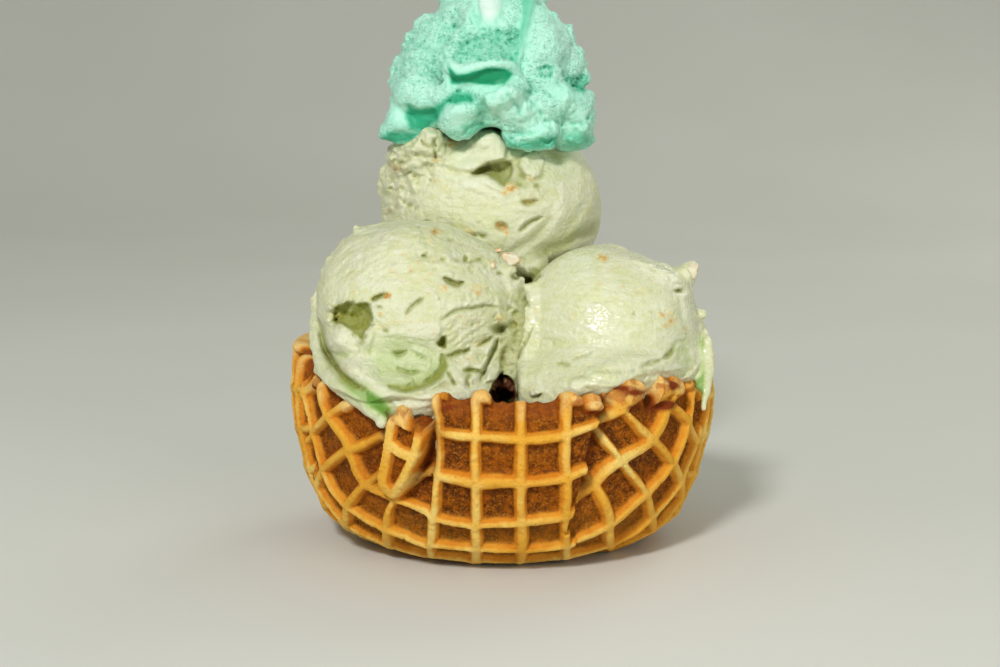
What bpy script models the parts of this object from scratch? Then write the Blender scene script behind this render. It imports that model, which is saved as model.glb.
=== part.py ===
# Waffle bowl sundae: a folded waffle bowl, three scoops of pale green ice
# cream and a whipped topping.
#
# Frame: +Z up, the bowl's front looks along -Y, the origin is the centre of the
# flat spot on which the bowl rests. Dimensions below are in millimetres and
# are turned into metres when each mesh is made.

import math

import bpy
import bmesh
import numpy as np
from mathutils import Vector

for old in list(bpy.data.objects):
    bpy.data.objects.remove(old, do_unlink=True)

MM = 0.001

# ---------------------------------------------------------------- dimensions
SHEET_RADIUS = 100.0        # the flat waffle disc, centre to rim
PITCH = 11.7                # spacing of the waffle's ridges
RIDGE_TOP = 2.4             # flat width on top of a ridge
CELL_DEPTH = 2.6            # how deep a waffle cell is sunk
WALL = 6.0                  # ridge top to the inner face
U_PHASE = 5.4               # where the grid lies on the disc, left to right
V_PHASE = 4.1               # and front to back
GAP = 0.30                  # clearance between neighbouring solids

# Bowl's outer outline (ridge tops): radius, height
OUTLINE = [(0.0, 0.0), (14.0, 0.0), (28.0, 0.0), (38.0, 0.9), (42.5, 2.4),
           (46.0, 4.5), (50.5, 8.0), (53.2, 12.5), (55.7, 18.0), (57.6, 25.0),
           (59.3, 33.0), (60.0, 40.0), (59.6, 48.0), (58.6, 56.0)]

# Rim height round the bowl: azimuth in degrees from the front (+ to the
# right), height
RIM = [(-180, 53.0), (-150, 52.0), (-120, 54.0), (-90, 54.6), (-70, 51.0),
       (-58, 48.5), (-44, 45.5), (-34, 43.5), (-27, 46.0), (-19, 46.5),
       (-14, 50.0), (0, 49.8), (14, 51.0), (22, 51.0), (30, 50.0),
       (38, 52.2), (52, 52.0), (66, 50.5), (90, 53.5), (120, 52.0),
       (150, 54.0), (180, 53.0)]

# Folds where the flat disc is gathered: azimuth, half width in degrees, how
# far it stands out (+) or is tucked in (-), arc length where it starts
FOLDS = [(-24.0, 5.5, 4.2, 48), (-32.5, 3.6, -3.0, 46), (-15.8, 3.4, -2.6, 50),
         (19.0, 6.0, 1.0, 52), (29.5, 4.0, -3.0, 48),
         (-64.0, 5.0, -1.8, 55), (64.0, 5.0, -1.8, 55),
         (-117.0, 4.5, -2.2, 50), (-109.0, 4.5, 1.6, 55),
         (117.0, 4.5, -2.2, 50), (125.0, 4.5, 1.6, 55),
         (-153.0, 5.0, -2.0, 50), (153.0, 5.0, -2.0, 50)]

# Scoops: centre and half sizes
LEFT_C, LEFT_R = (-23.4, -16.5, 64.5), (29.2, 28.0, 27.6)
RIGHT_C, RIGHT_R = (29.2, -13.0, 58.3), (25.8, 26.0, 26.2)
TOP_C, TOP_R = (-3.4, 20.0, 91.0), (32.0, 30.5, 27.6)
FLOOR = 6.3                 # the ice cream's lowest point inside the bowl


# ------------------------------------------------------------------- helpers
def smoothstep(x, lo, hi):
    t = np.clip((x - lo) / (hi - lo), 0.0, 1.0)
    return t * t * (3.0 - 2.0 * t)


def catmull(points, steps):
    """A smooth line through the points, as an array of positions."""
    p = np.array(points, dtype=float)
    p = np.vstack([2 * p[0] - p[1], p, 2 * p[-1] - p[-2]])
    out = []
    for i in range(1, len(p) - 2):
        for k in range(steps):
            t = k / steps
            a, b, c, d = p[i - 1], p[i], p[i + 1], p[i + 2]
            out.append(0.5 * ((2 * b) + (c - a) * t
                              + (2 * a - 5 * b + 4 * c - d) * t * t
                              + (3 * b - a - 3 * c + d) * t ** 3))
    out.append(p[-2])
    return np.array(out)


LINE = catmull(OUTLINE, 12)
LINE[:, 1] = np.maximum(LINE[:, 1], 0.0)
ARC = np.concatenate([[0.0], np.cumsum(np.hypot(*np.diff(LINE, axis=0).T))])


def azimuth(x, y):
    """Degrees from the front, + to the right."""
    return np.degrees(np.arctan2(x, -y))


def around(table, alpha):
    """Value at an azimuth of a table that closes on itself, eased."""
    az = np.array([row[0] for row in table], dtype=float)
    val = np.array([row[1] for row in table], dtype=float)
    i = np.clip(np.searchsorted(az, alpha, side="right") - 1, 0, len(az) - 2)
    t = np.clip((alpha - az[i]) / (az[i + 1] - az[i]), 0.0, 1.0)
    t = t * t * (3.0 - 2.0 * t)
    return val[i] * (1.0 - t) + val[i + 1] * t


def arc_at_height(z):
    wall = ARC > 60.0
    return np.interp(z, LINE[wall, 1], ARC[wall])


def fold_offset(alpha, s):
    """How far the wall stands out of the round bowl, at an azimuth and arc."""
    out = np.zeros_like(s)
    for az, half, out_by, start in FOLDS:
        d = (alpha - az + 180.0) % 360.0 - 180.0
        out += (out_by * np.exp(-(d / half) ** 2)
                * smoothstep(s, start, start + 30.0))
    return out


def gather(phi, s):
    """The folds take up cloth, so the panels between them are less drawn in."""
    pull = 0.030 * smoothstep(s, 25.0, 70.0)
    return phi + pull * np.sin(4.0 * phi)


def bowl_point(u, v, depth, folded=1.0):
    """A point of the disc (u right, v back), at a depth under its ridge tops."""
    s0 = np.hypot(u, v)
    phi = gather(np.arctan2(v, u), s0)
    alpha = azimuth(np.cos(phi), np.sin(phi))
    rim_arc = arc_at_height(around(RIM, alpha))
    s = s0 + (rim_arc - SHEET_RADIUS) * smoothstep(s0, 62.0, SHEET_RADIUS)
    r = np.interp(s, ARC, LINE[:, 0])
    z = np.interp(s, ARC, LINE[:, 1])
    dr = np.interp(s + 1.5, ARC, LINE[:, 0]) - np.interp(s - 1.5, ARC, LINE[:, 0])
    dz = np.interp(s + 1.5, ARC, LINE[:, 1]) - np.interp(s - 1.5, ARC, LINE[:, 1])
    dr = np.where(s < 1.5, 1.0, dr)
    length = np.hypot(dr, dz)
    nr, nz = dz / length, -dr / length          # outward, in the r-z plane
    r = r + folded * fold_offset(alpha, s)
    r, z = r - nr * depth, z - nz * depth
    return np.stack([r * np.cos(phi), r * np.sin(phi), z], axis=-1)


def material(name, colour, roughness, subsurface=0.0):
    mat = bpy.data.materials.new(name)
    mat.use_nodes = True
    shader = mat.node_tree.nodes["Principled BSDF"]
    shader.inputs["Base Color"].default_value = (*colour, 1.0)
    shader.inputs["Roughness"].default_value = roughness
    shader.inputs["Metallic"].default_value = 0.0
    shader.inputs["Subsurface Weight"].default_value = subsurface
    return mat


def make_object(name, bm, mat, smooth_angle=50.0):
    """Mesh in millimetres to an object in metres, faces outward."""
    bmesh.ops.recalc_face_normals(bm, faces=bm.faces)
    if bm.calc_volume(signed=True) < 0.0:
        bmesh.ops.reverse_faces(bm, faces=bm.faces)
    bmesh.ops.scale(bm, vec=Vector((MM, MM, MM)), verts=bm.verts)
    bmesh.ops.triangulate(bm, faces=[f for f in bm.faces if len(f.verts) > 3])
    mesh = bpy.data.meshes.new(name)
    bm.to_mesh(mesh)
    bm.free()
    mesh.materials.append(mat)
    mesh.shade_smooth()
    mesh.set_sharp_from_angle(angle=math.radians(smooth_angle))
    obj = bpy.data.objects.new(name, mesh)
    bpy.context.scene.collection.objects.link(obj)
    return obj


# --------------------------------------------------------------- waffle bowl
def grid_lines(phase):
    """Positions of the grid's lines with the depth share of each."""
    lines = []
    count = int(SHEET_RADIUS / PITCH) + 2
    for k in range(-count, count + 1):
        ridge = phase + k * PITCH
        lines.append((ridge - RIDGE_TOP / 2, 0.0))
        lines.append((ridge + RIDGE_TOP / 2, 0.0))
        lines.append((ridge + PITCH / 2, 1.0))
    return sorted(lines)


def build_bowl():
    """The flat grid of ridges and cells, trimmed round and raised to a bowl,
    then closed over its rim by a smooth inside."""
    us, vs = grid_lines(U_PHASE), grid_lines(V_PHASE)
    bm = bmesh.new()
    sunk = bm.verts.layers.float.new("sunk")
    rows = []
    for v, dv in vs:
        row = []
        for u, du in us:
            vert = bm.verts.new((u, v, 0.0))
            vert[sunk] = CELL_DEPTH * du * dv
            row.append(vert)
        rows.append(row)
    for j in range(len(vs) - 1):
        for i in range(len(us) - 1):
            quad = [rows[j][i], rows[j][i + 1], rows[j + 1][i + 1], rows[j + 1][i]]
            if min(math.hypot(q.co.x, q.co.y) for q in quad) < SHEET_RADIUS + 2:
                # the split runs from the cell's sunk middle to its corner
                deep = max(range(4), key=lambda k: quad[k][sunk])
                a, b, c, d = quad[deep:] + quad[:deep]
                bm.faces.new([a, c, b])
                bm.faces.new([a, d, c])
    bmesh.ops.delete(bm, geom=[v for v in bm.verts if not v.link_faces],
                     context="VERTS")
    sides = 72
    for k in range(sides):
        a = 2 * math.pi * (k + 0.5) / sides
        n = Vector((math.cos(a), math.sin(a), 0.0))
        bmesh.ops.bisect_plane(bm, geom=list(bm.verts) + list(bm.edges)
                               + list(bm.faces), dist=0.001,
                               plane_co=n * SHEET_RADIUS * math.cos(math.pi / sides),
                               plane_no=n, clear_outer=True)
    rim_edges = [e for e in bm.edges if e.is_boundary]
    rim = set(v for e in rim_edges for v in e.verts)
    bmesh.ops.remove_doubles(bm, verts=list(rim), dist=1.2)
    inner_near = [v for v in bm.verts if v.is_valid]
    bmesh.ops.remove_doubles(bm, verts=inner_near, dist=0.9)

    flat = np.array([v.co[:2] for v in bm.verts])
    depth = np.array([v[sunk] for v in bm.verts])
    edge = np.array([v.is_boundary for v in bm.verts])
    depth[edge] *= 0.35
    # nubs: the rim stands up where a ridge runs out
    length = np.hypot(flat[:, 0], flat[:, 1])
    grow = np.where(edge & (depth < 0.15), 1.010, 1.0)
    world = bowl_point(flat[:, 0] * grow, flat[:, 1] * grow, depth)
    for vert, p in zip(bm.verts, world):
        vert.co = Vector(p)

    # inside: rings from the rim's inner edge down to the middle
    spokes = 40
    arcs = [99.5, 92.0, 83.0, 74.0, 66.0, 59.0, 53.5, 48.5, 43.0, 34.0, 18.0]
    rings = []
    for s in arcs:
        ang = 2 * np.pi * np.arange(spokes) / spokes
        depth_in = np.full(spokes, WALL if s < 99 else WALL - 1.0)
        pts = bowl_point(s * np.cos(ang), s * np.sin(ang), depth_in,
                         folded=float(smoothstep(np.array(s), 60.0, 92.0)))
        rings.append([bm.verts.new(Vector(p)) for p in pts])
    middle = bm.verts.new(Vector((0.0, 0.0, WALL)))
    for a, b in zip(rings[:-1], rings[1:]):
        for k in range(spokes):
            j = (k + 1) % spokes
            bm.faces.new([a[k], b[k], b[j], a[j]][::-1])
    for k in range(spokes):
        bm.faces.new([rings[-1][k], middle, rings[-1][(k + 1) % spokes]][::-1])

    # the rim's top: a strip of triangles between the two loops
    outer = [v for v in bm.verts if v.is_boundary and v not in set(rings[0])]
    outer.sort(key=lambda v: math.atan2(v.co.y, v.co.x))
    inner = sorted(rings[0], key=lambda v: math.atan2(v.co.y, v.co.x))
    ao = [math.atan2(v.co.y, v.co.x) for v in outer]
    ai = [math.atan2(v.co.y, v.co.x) for v in inner]
    i = j = 0
    while i < len(outer) or j < len(inner):
        next_o = ao[(i + 1) % len(outer)] + 2 * math.pi * ((i + 1) // len(outer))
        next_i = ai[(j + 1) % len(inner)] + 2 * math.pi * ((j + 1) // len(inner))
        a, b = outer[i % len(outer)], inner[j % len(inner)]
        if j >= len(inner) or (i < len(outer) and next_o <= next_i):
            bm.faces.new([a, outer[(i + 1) % len(outer)], b])
            i += 1
        else:
            bm.faces.new([a, inner[(j + 1) % len(inner)], b])
            j += 1
    return make_object("waffle_bowl", bm,
                       material("waffle", (0.55, 0.27, 0.07), 0.62), 18.0)


# -------------------------------------------------------------------- scoops
def cube_sphere(bm, cuts):
    """A ball of even quads: a cube divided and blown up to a unit radius."""
    bmesh.ops.create_cube(bm, size=2.0)
    bmesh.ops.subdivide_edges(bm, edges=bm.edges[:], cuts=cuts - 1,
                              use_grid_fill=True)
    dirs = []
    for v in bm.verts:
        p = v.co
        q = Vector((math.tan(p.x * math.pi / 4), math.tan(p.y * math.pi / 4),
                    math.tan(p.z * math.pi / 4))).normalized()
        dirs.append(q[:])
    return np.array(dirs)


def reach(start, dirs, centre, half):
    """How far each ray runs until it leaves an ellipsoid; 0 if it misses."""
    o = (np.array(start) - np.array(centre)) / np.array(half)
    d = dirs / np.array(half)
    a = (d * d).sum(1)
    b = (d * o).sum(1)
    c = float((o * o).sum()) - 1.0
    disc = b * b - a * c
    far = (-b + np.sqrt(np.maximum(disc, 0.0))) / a
    return np.where((disc > 0.0) & (far > 0.0), far, 0.0)


def ball_union(start, dirs, balls, power=14.0):
    """Distance to the blended outside of several ellipsoids."""
    total = np.zeros(len(dirs))
    for centre, half in balls:
        total += (reach(start, dirs, centre, half) / 30.0) ** power
    return 30.0 * total ** (1.0 / power)


def lumps(points, size, seed):
    """Uneven relief between -1 and 1 from crossed waves."""
    rng = np.random.default_rng(seed)
    out = np.zeros(len(points))
    for _ in range(6):
        k = rng.normal(size=3)
        k *= (2 * np.pi / size) / np.linalg.norm(k) * rng.uniform(0.7, 1.4)
        out += np.sin(points @ k + rng.uniform(0, 2 * np.pi))
    return out / 4.0


def divide(centre_a, half_a, centre_b, half_b):
    """The flat contact between two scoops: its normal (a to b) and offset."""
    a, b = np.array(centre_a), np.array(centre_b)
    n = (b - a) / np.linalg.norm(b - a)
    ra = 1.0 / np.linalg.norm(n / np.array(half_a))
    rb = 1.0 / np.linalg.norm(n / np.array(half_b))
    dist = np.linalg.norm(b - a)
    d = (dist * dist + ra * ra - rb * rb) / (2.0 * dist)
    return n, float(n @ a + d)


def room_in_bowl(alpha, z):
    """Largest radius that the ice cream may have at a height in the bowl."""
    wall = ARC > 30.0
    depth = WALL + 1.0
    inner_z = LINE[wall, 1] + depth * smoothstep(-LINE[wall, 1], -16.0, 0.0)
    inner_r = LINE[wall, 0] - depth * smoothstep(LINE[wall, 1], -3.0, 9.0)
    r = np.interp(z, inner_z, inner_r)
    r = r - 2.2 * smoothstep(z, 22.0, 36.0)
    rim = around(RIM, alpha)
    return r + 16.0 * smoothstep(z, rim + 1.2, rim + 8.5)


def plane_limit(start, dirs, n, offset):
    """How far each ray runs until it meets a plane; far away if it doesn't."""
    along = dirs @ n
    return np.where(along > 1e-6,
                    (offset - start @ n) / np.where(along > 1e-6, along, 1.0),
                    1e6)


def build_scoop(name, start, balls, mat, seed, planes=(), wedges=(), cuts=9,
                rough=0.5):
    """A scoop that keeps its round top and spreads where it meets the bowl
    and its neighbours: behind every plane, and round every wedge."""
    bm = bmesh.new()
    dirs = cube_sphere(bm, cuts)
    start = np.array(start, dtype=float)
    dist = ball_union(start, dirs, balls)
    p = start + dirs * dist[:, None]
    relief = rough * lumps(p, 17.0, seed) * smoothstep(p[:, 2], 40.0, 60.0)
    if name == "scoop_top":
        relief *= 1.0 - smoothstep(p[:, 2], 97.0, 104.0)
    dist = dist + relief
    for n, offset in planes:
        dist = np.minimum(dist, plane_limit(start, dirs, n, offset - GAP * 0.55))
    for pair in wedges:
        entry = [plane_limit(start, dirs, n, offset - GAP * 0.55)
                 for n, offset in pair]
        dist = np.minimum(dist, np.maximum(*entry))
    p = start + dirs * dist[:, None]
    p[:, 2] = np.maximum(p[:, 2], FLOOR + 0.02 * np.hypot(p[:, 0], p[:, 1]))
    r = np.hypot(p[:, 0], p[:, 1])
    allowed = room_in_bowl(azimuth(p[:, 0], p[:, 1]), p[:, 2])
    squeeze = np.minimum(1.0, allowed / np.maximum(r, 1e-6))
    p[:, 0] *= squeeze
    p[:, 1] *= squeeze
    for vert, q in zip(bm.verts, p):
        vert.co = Vector(q)
    return make_object(name, bm, mat)


# ----------------------------------------------------------- whipped topping
TOPPING_C = (-4.0, 16.0, 132.0)
TOPPING_LOBES = [
    ((-4.0, 17.0, 129.0), (24.0, 23.0, 18.5)),      # body
    ((-18.0, 9.0, 133.5), (12.0, 12.0, 12.0)),      # upper left lobe
    ((11.5, 10.0, 135.5), (12.5, 12.0, 12.0)),      # upper right lobe
    ((-22.5, 12.0, 118.5), (12.0, 11.0, 8.5)),      # left lip
    ((-12.0, -3.0, 118.0), (10.0, 9.0, 8.5)),       # front lip, left
    ((5.0, -4.0, 117.0), (12.5, 9.0, 8.0)),         # front lip, right
    ((15.5, 8.0, 118.0), (11.0, 12.0, 10.0)),       # right lip
    ((-18.0, 30.0, 119.5), (12.0, 12.0, 9.0)),      # back lips
    ((9.0, 32.5, 119.0), (13.0, 11.5, 9.5)),
    ((-5.0, 29.0, 136.0), (16.0, 12.0, 12.5)),      # back lobe
    ((-3.5, 14.0, 147.5), (14.5, 13.5, 12.5)),      # crown
    ((-2.0, 15.0, 157.0), (8.5, 8.0, 8.0)),         # tip
]


def build_topping():
    """Lobes of whipped topping, hollowed below to sit on the top scoop."""
    bm = bmesh.new()
    dirs = cube_sphere(bm, 11)
    start = np.array(TOPPING_C)
    dist = ball_union(start, dirs, TOPPING_LOBES, power=15.0)
    p = start + dirs * dist[:, None]
    dist = dist + 0.9 * lumps(p, 11.0, 5)
    p = start + dirs * dist[:, None]
    # rays that run down beside the scoop stop at the lips' underside
    p[:, 2] = np.maximum(p[:, 2], 108.5)
    for vert, q in zip(bm.verts, p):
        vert.co = Vector(q)
    topping = make_object("whipped_topping", bm,
                          material("whipped", (0.33, 0.78, 0.62), 0.45, 0.1))

    seat = bmesh.new()
    dirs = cube_sphere(seat, 9)
    grown = np.array(TOP_R) + 0.75
    for vert, d in zip(seat.verts, dirs):
        vert.co = Vector(np.array(TOP_C) + d * grown)
    cutter = make_object("topping_seat_cutter", seat,
                         material("cutter", (0.5, 0.5, 0.5), 0.5))
    cutter.hide_render = True
    cutter.display_type = "WIRE"
    cut = topping.modifiers.new("seat", "BOOLEAN")
    cut.operation = "DIFFERENCE"
    cut.solver = "EXACT"
    cut.object = cutter
    return topping


# -------------------------------------------------------------------- build
build_bowl()

ice = material("pistachio_ice", (0.70, 0.74, 0.49), 0.42, 0.15)
ice_b = material("pistachio_ice_smooth", (0.70, 0.76, 0.51), 0.30, 0.15)
ice_c = material("pistachio_ice_top", (0.71, 0.76, 0.50), 0.38, 0.15)

n_lr, o_lr = divide(LEFT_C, LEFT_R, RIGHT_C, RIGHT_R)
n_lt, o_lt = divide(LEFT_C, LEFT_R, TOP_C, TOP_R)
n_rt, o_rt = divide(RIGHT_C, RIGHT_R, TOP_C, TOP_R)
# behind, the front scoops end at an upright plane
N_BACK, O_BACK = np.array([0.0, 1.0, 0.0]), 8.0

build_scoop("scoop_left", (-23.0, -16.0, 52.0),
            [(LEFT_C, LEFT_R), ((-22.5, -15.0, 40.0), (29.5, 36.0, 32.0))],
            ice, 1, rough=1.1,
            planes=[(n_lr, o_lr), (n_lt, o_lt), (N_BACK, O_BACK)])
build_scoop("scoop_right", (27.0, -13.0, 48.0),
            [(RIGHT_C, RIGHT_R), ((25.0, -17.0, 36.0), (23.0, 35.0, 29.0))],
            ice_b, 2, rough=0.6,
            planes=[(-n_lr, -o_lr), (n_rt, o_rt), (N_BACK, O_BACK)])
build_scoop("scoop_top", (-2.0, 24.0, 74.0),
            [(TOP_C, TOP_R), ((0.0, 25.0, 44.0), (39.0, 26.0, 38.0))],
            ice_c, 3, cuts=10, rough=0.9,
            wedges=[[(-n_lt, -o_lt), (-N_BACK, -O_BACK)],
                    [(-n_rt, -o_rt), (-N_BACK, -O_BACK)]])
build_topping()
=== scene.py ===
import math

import bmesh
import bpy
import numpy as np
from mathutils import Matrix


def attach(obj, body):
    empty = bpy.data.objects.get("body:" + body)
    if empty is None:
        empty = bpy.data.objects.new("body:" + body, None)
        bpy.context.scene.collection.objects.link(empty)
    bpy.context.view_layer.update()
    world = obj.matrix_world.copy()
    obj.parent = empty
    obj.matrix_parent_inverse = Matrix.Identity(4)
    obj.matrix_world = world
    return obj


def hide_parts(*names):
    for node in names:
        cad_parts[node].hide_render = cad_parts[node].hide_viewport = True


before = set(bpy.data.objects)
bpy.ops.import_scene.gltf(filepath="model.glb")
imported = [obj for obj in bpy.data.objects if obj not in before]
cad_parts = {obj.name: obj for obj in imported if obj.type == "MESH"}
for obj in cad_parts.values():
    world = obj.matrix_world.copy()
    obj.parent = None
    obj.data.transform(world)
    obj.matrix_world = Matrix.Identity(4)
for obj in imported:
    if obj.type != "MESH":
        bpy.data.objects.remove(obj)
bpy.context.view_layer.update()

MM = 0.001
f32 = np.float32


# ===================================================================== helpers
def sstep(x, lo, hi):
    t = np.clip((x - lo) / (hi - lo), 0.0, 1.0)
    return t * t * (3.0 - 2.0 * t)


def lerp(a, b, t):
    return a + (b - a) * t


# The view from which the features are laid out: the camera's, in millimetres.
LENS_PX = 1930.0
TILT = math.radians(8.3)
EYE = (-0.72, -541.7, 136.6)
_S, _C = math.sin(TILT), math.cos(TILT)


def project(x, y, z):
    dx, dy, dz = x - EYE[0], y - EYE[1], z - EYE[2]
    yc = dy * _S + dz * _C
    zc = dy * _C - dz * _S
    return 500.0 + LENS_PX * dx / zc, 333.5 - LENS_PX * yc / zc


def unproject(px, py, y):
    """The point on the sight line through a place in the view, at a depth y."""
    a, b = (px - 500.0) / LENS_PX, -(py - 333.5) / LENS_PX
    d = (a, b * _S + _C, b * _C - _S)
    t = (y - EYE[1]) / d[1]
    return np.array([EYE[0] + t * d[0], y, EYE[2] + t * d[2]])


def on_ball(px, py, centre, half, out=0.0):
    """Where a sight line meets an ellipsoid, moved outward by some distance."""
    a, b = (px - 500.0) / LENS_PX, -(py - 333.5) / LENS_PX
    d = np.array([a, b * _S + _C, b * _C - _S])
    c, h = np.array(centre, float), np.array(half, float)
    o = (np.array(EYE) - c) / h
    e = d / h
    A, B, Cc = e @ e, e @ o, o @ o - 1.0
    disc = B * B - A * Cc
    t = (-B - math.sqrt(disc)) / A if disc > 0 else -B / A
    p = np.array(EYE) + t * d
    n = (p - c) / h ** 2
    n /= np.linalg.norm(n)
    return p + n * out


# --------------------------------------------------------------------- noise
class Perlin:
    """Smooth gradient noise, about -1 to 1."""

    def __init__(self, seed):
        rng = np.random.default_rng(seed)
        self.perm = np.tile(rng.permutation(256), 3).astype(np.int32)
        g = rng.normal(size=(256, 3))
        self.grad = (g / np.linalg.norm(g, axis=1)[:, None]).astype(f32)

    def __call__(self, x, y, z):
        x, y, z = (np.asarray(v, f32) for v in (x, y, z))
        x, y, z = np.broadcast_arrays(x, y, z)
        xi, yi, zi = (np.floor(v).astype(np.int32) for v in (x, y, z))
        xf, yf, zf = x - xi, y - yi, z - zi
        u, v, w = (t * t * t * (t * (t * 6 - 15) + 10) for t in (xf, yf, zf))
        perm, grad = self.perm, self.grad
        total = np.zeros(x.shape, f32)
        for dx in (0, 1):
            hx = perm[(xi + dx) & 255]
            wx = u if dx else 1 - u
            for dy in (0, 1):
                hy = perm[hx + ((yi + dy) & 255)]
                wy = wx * (v if dy else 1 - v)
                for dz in (0, 1):
                    g = grad[perm[hy + ((zi + dz) & 255)]]
                    dot = (g[..., 0] * (xf - dx) + g[..., 1] * (yf - dy)
                           + g[..., 2] * (zf - dz))
                    total += wy * (w if dz else 1 - w) * dot
        return total * 1.6


def fbm(noise, x, y, z, size, octaves=3, gain=0.5, ridged=False):
    out, amp, total = 0.0, 1.0, 0.0
    for k in range(octaves):
        n = noise(x / size + 17.3 * k, y / size - 9.1 * k, z / size + 5.7 * k)
        out = out + amp * ((1.0 - 2.2 * np.abs(n)) if ridged else n)
        total += amp
        amp *= gain
        size *= 0.5
    return out / total


# ------------------------------------------------------------ making objects
def new_mesh(name, verts_mm, faces, attributes=None, smooth=True):
    """A mesh object in metres from points in millimetres. faces: an array of
    quads or triangles, or a list of such arrays."""
    mesh = bpy.data.meshes.new(name)
    verts = np.asarray(verts_mm, np.float64) * MM
    groups = faces if isinstance(faces, (list, tuple)) else [faces]
    groups = [np.asarray(g, np.int32) for g in groups if len(g)]
    mesh.vertices.add(len(verts))
    mesh.vertices.foreach_set("co", verts.astype(f32).ravel())
    loops = np.concatenate([g.ravel() for g in groups])
    sizes = np.concatenate([np.full(len(g), g.shape[1], np.int32) for g in groups])
    starts = np.concatenate([[0], np.cumsum(sizes)[:-1]]).astype(np.int32)
    mesh.loops.add(len(loops))
    mesh.loops.foreach_set("vertex_index", loops)
    mesh.polygons.add(len(sizes))
    mesh.polygons.foreach_set("loop_start", starts)
    mesh.update(calc_edges=True)
    mesh.validate()
    if smooth:
        mesh.shade_smooth()
    for key, values in (attributes or {}).items():
        att = mesh.attributes.new(key, "FLOAT", "POINT")
        att.data.foreach_set("value", np.asarray(values, f32).ravel())
    obj = bpy.data.objects.new(name, mesh)
    bpy.context.scene.collection.objects.link(obj)
    return obj


def vertex_normals(v, quads):
    a, b, c, d = (v[quads[:, k]] for k in range(4))
    n = np.cross(c - a, d - b)
    out = np.zeros_like(v)
    for k in range(4):
        for axis in range(3):
            out[:, axis] += np.bincount(quads[:, k], n[:, axis], len(v))
    length = np.linalg.norm(out, axis=1)
    return out / np.maximum(length, 1e-9)[:, None]


def neighbour_mean(v, quads, rounds, amount=1.0):
    """Points after some rounds of averaging with their neighbours."""
    e = np.concatenate([quads[:, [0, 1]], quads[:, [1, 2]], quads[:, [2, 3]],
                        quads[:, [3, 0]]])
    i = np.concatenate([e[:, 0], e[:, 1]])
    j = np.concatenate([e[:, 1], e[:, 0]])
    count = np.maximum(np.bincount(i, minlength=len(v)), 1)
    flat = v.ndim == 1
    w = v[:, None] if flat else v
    for _ in range(rounds):
        mean = np.stack([np.bincount(i, w[j, k], len(w)) / count
                         for k in range(w.shape[1])], axis=1)
        w = w + amount * (mean - w)
    return w[:, 0] if flat else w


def hollow_amount(v, quads, rounds):
    """How far each point lies below its smoothed surroundings, in mm."""
    n = vertex_normals(v, quads)
    return ((neighbour_mean(v, quads, rounds) - v) * n).sum(1)


# ---------------------------------------------------------------- materials
class Nodes:
    """Short way to wire a node tree."""

    def __init__(self, name):
        self.mat = bpy.data.materials.new(name)
        self.mat.use_nodes = True
        self.tree = self.mat.node_tree
        self.shader = self.tree.nodes["Principled BSDF"]
        self.out = self.tree.nodes["Material Output"]

    def add(self, kind, **inputs):
        node = self.tree.nodes.new(kind)
        for key, value in inputs.items():
            if hasattr(node, key) and key not in node.inputs:
                setattr(node, key, value)
        return node

    def link(self, a, b):
        self.tree.links.new(a, b)

    def _put(self, socket, value):
        if isinstance(value, bpy.types.NodeSocket):
            self.link(value, socket)
        elif value is not None:
            if socket.type == "RGBA" and len(value) == 3:
                value = (*value, 1.0)
            socket.default_value = value

    def attr(self, name):
        n = self.tree.nodes.new("ShaderNodeAttribute")
        n.attribute_type = "GEOMETRY"
        n.attribute_name = name
        return n.outputs["Fac"]

    def position(self):
        return self.tree.nodes.new("ShaderNodeTexCoord").outputs["Object"]

    def noise(self, scale, detail=3.0, rough=0.5, distortion=0.0, vector=None,
              colour=False):
        n = self.tree.nodes.new("ShaderNodeTexNoise")
        n.inputs["Scale"].default_value = scale
        n.inputs["Detail"].default_value = detail
        n.inputs["Roughness"].default_value = rough
        n.inputs["Distortion"].default_value = distortion
        self.link(vector or self.position(), n.inputs["Vector"])
        return n.outputs["Color" if colour else "Fac"]

    def voronoi(self, scale, feature="F1", randomness=1.0, vector=None):
        n = self.tree.nodes.new("ShaderNodeTexVoronoi")
        n.feature = feature
        n.inputs["Scale"].default_value = scale
        n.inputs["Randomness"].default_value = randomness
        self.link(vector or self.position(), n.inputs["Vector"])
        return n.outputs["Distance"]

    def math(self, op, a, b=None, clamp=False):
        n = self.tree.nodes.new("ShaderNodeMath")
        n.operation = op
        n.use_clamp = clamp
        self._put(n.inputs[0], a)
        if b is not None:
            self._put(n.inputs[1], b)
        return n.outputs[0]

    def map(self, value, lo, hi, out_lo=0.0, out_hi=1.0, smooth=True):
        n = self.tree.nodes.new("ShaderNodeMapRange")
        n.interpolation_type = "SMOOTHSTEP" if smooth else "LINEAR"
        self._put(n.inputs["Value"], value)
        n.inputs["From Min"].default_value = lo
        n.inputs["From Max"].default_value = hi
        n.inputs["To Min"].default_value = out_lo
        n.inputs["To Max"].default_value = out_hi
        return n.outputs["Result"]

    def mix(self, fac, a, b, blend="MIX"):
        n = self.tree.nodes.new("ShaderNodeMix")
        n.data_type = "RGBA"
        n.blend_type = blend
        self._put(n.inputs["Factor"], fac)
        self._put(n.inputs[6], a)
        self._put(n.inputs[7], b)
        return n.outputs[2]

    def scaled(self, vector, by):
        n = self.tree.nodes.new("ShaderNodeVectorMath")
        n.operation = "MULTIPLY"
        self.link(vector, n.inputs[0])
        n.inputs[1].default_value = by
        return n.outputs[0]

    def bump(self, height, distance, strength=1.0, normal=None):
        n = self.tree.nodes.new("ShaderNodeBump")
        n.inputs["Strength"].default_value = strength
        n.inputs["Distance"].default_value = distance
        self._put(n.inputs["Height"], height)
        if normal is not None:
            self.link(normal, n.inputs["Normal"])
        return n.outputs["Normal"]

    def set(self, **values):
        for key, value in values.items():
            name = key.replace("_", " ")
            self._put(self.shader.inputs[name], value)


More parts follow.
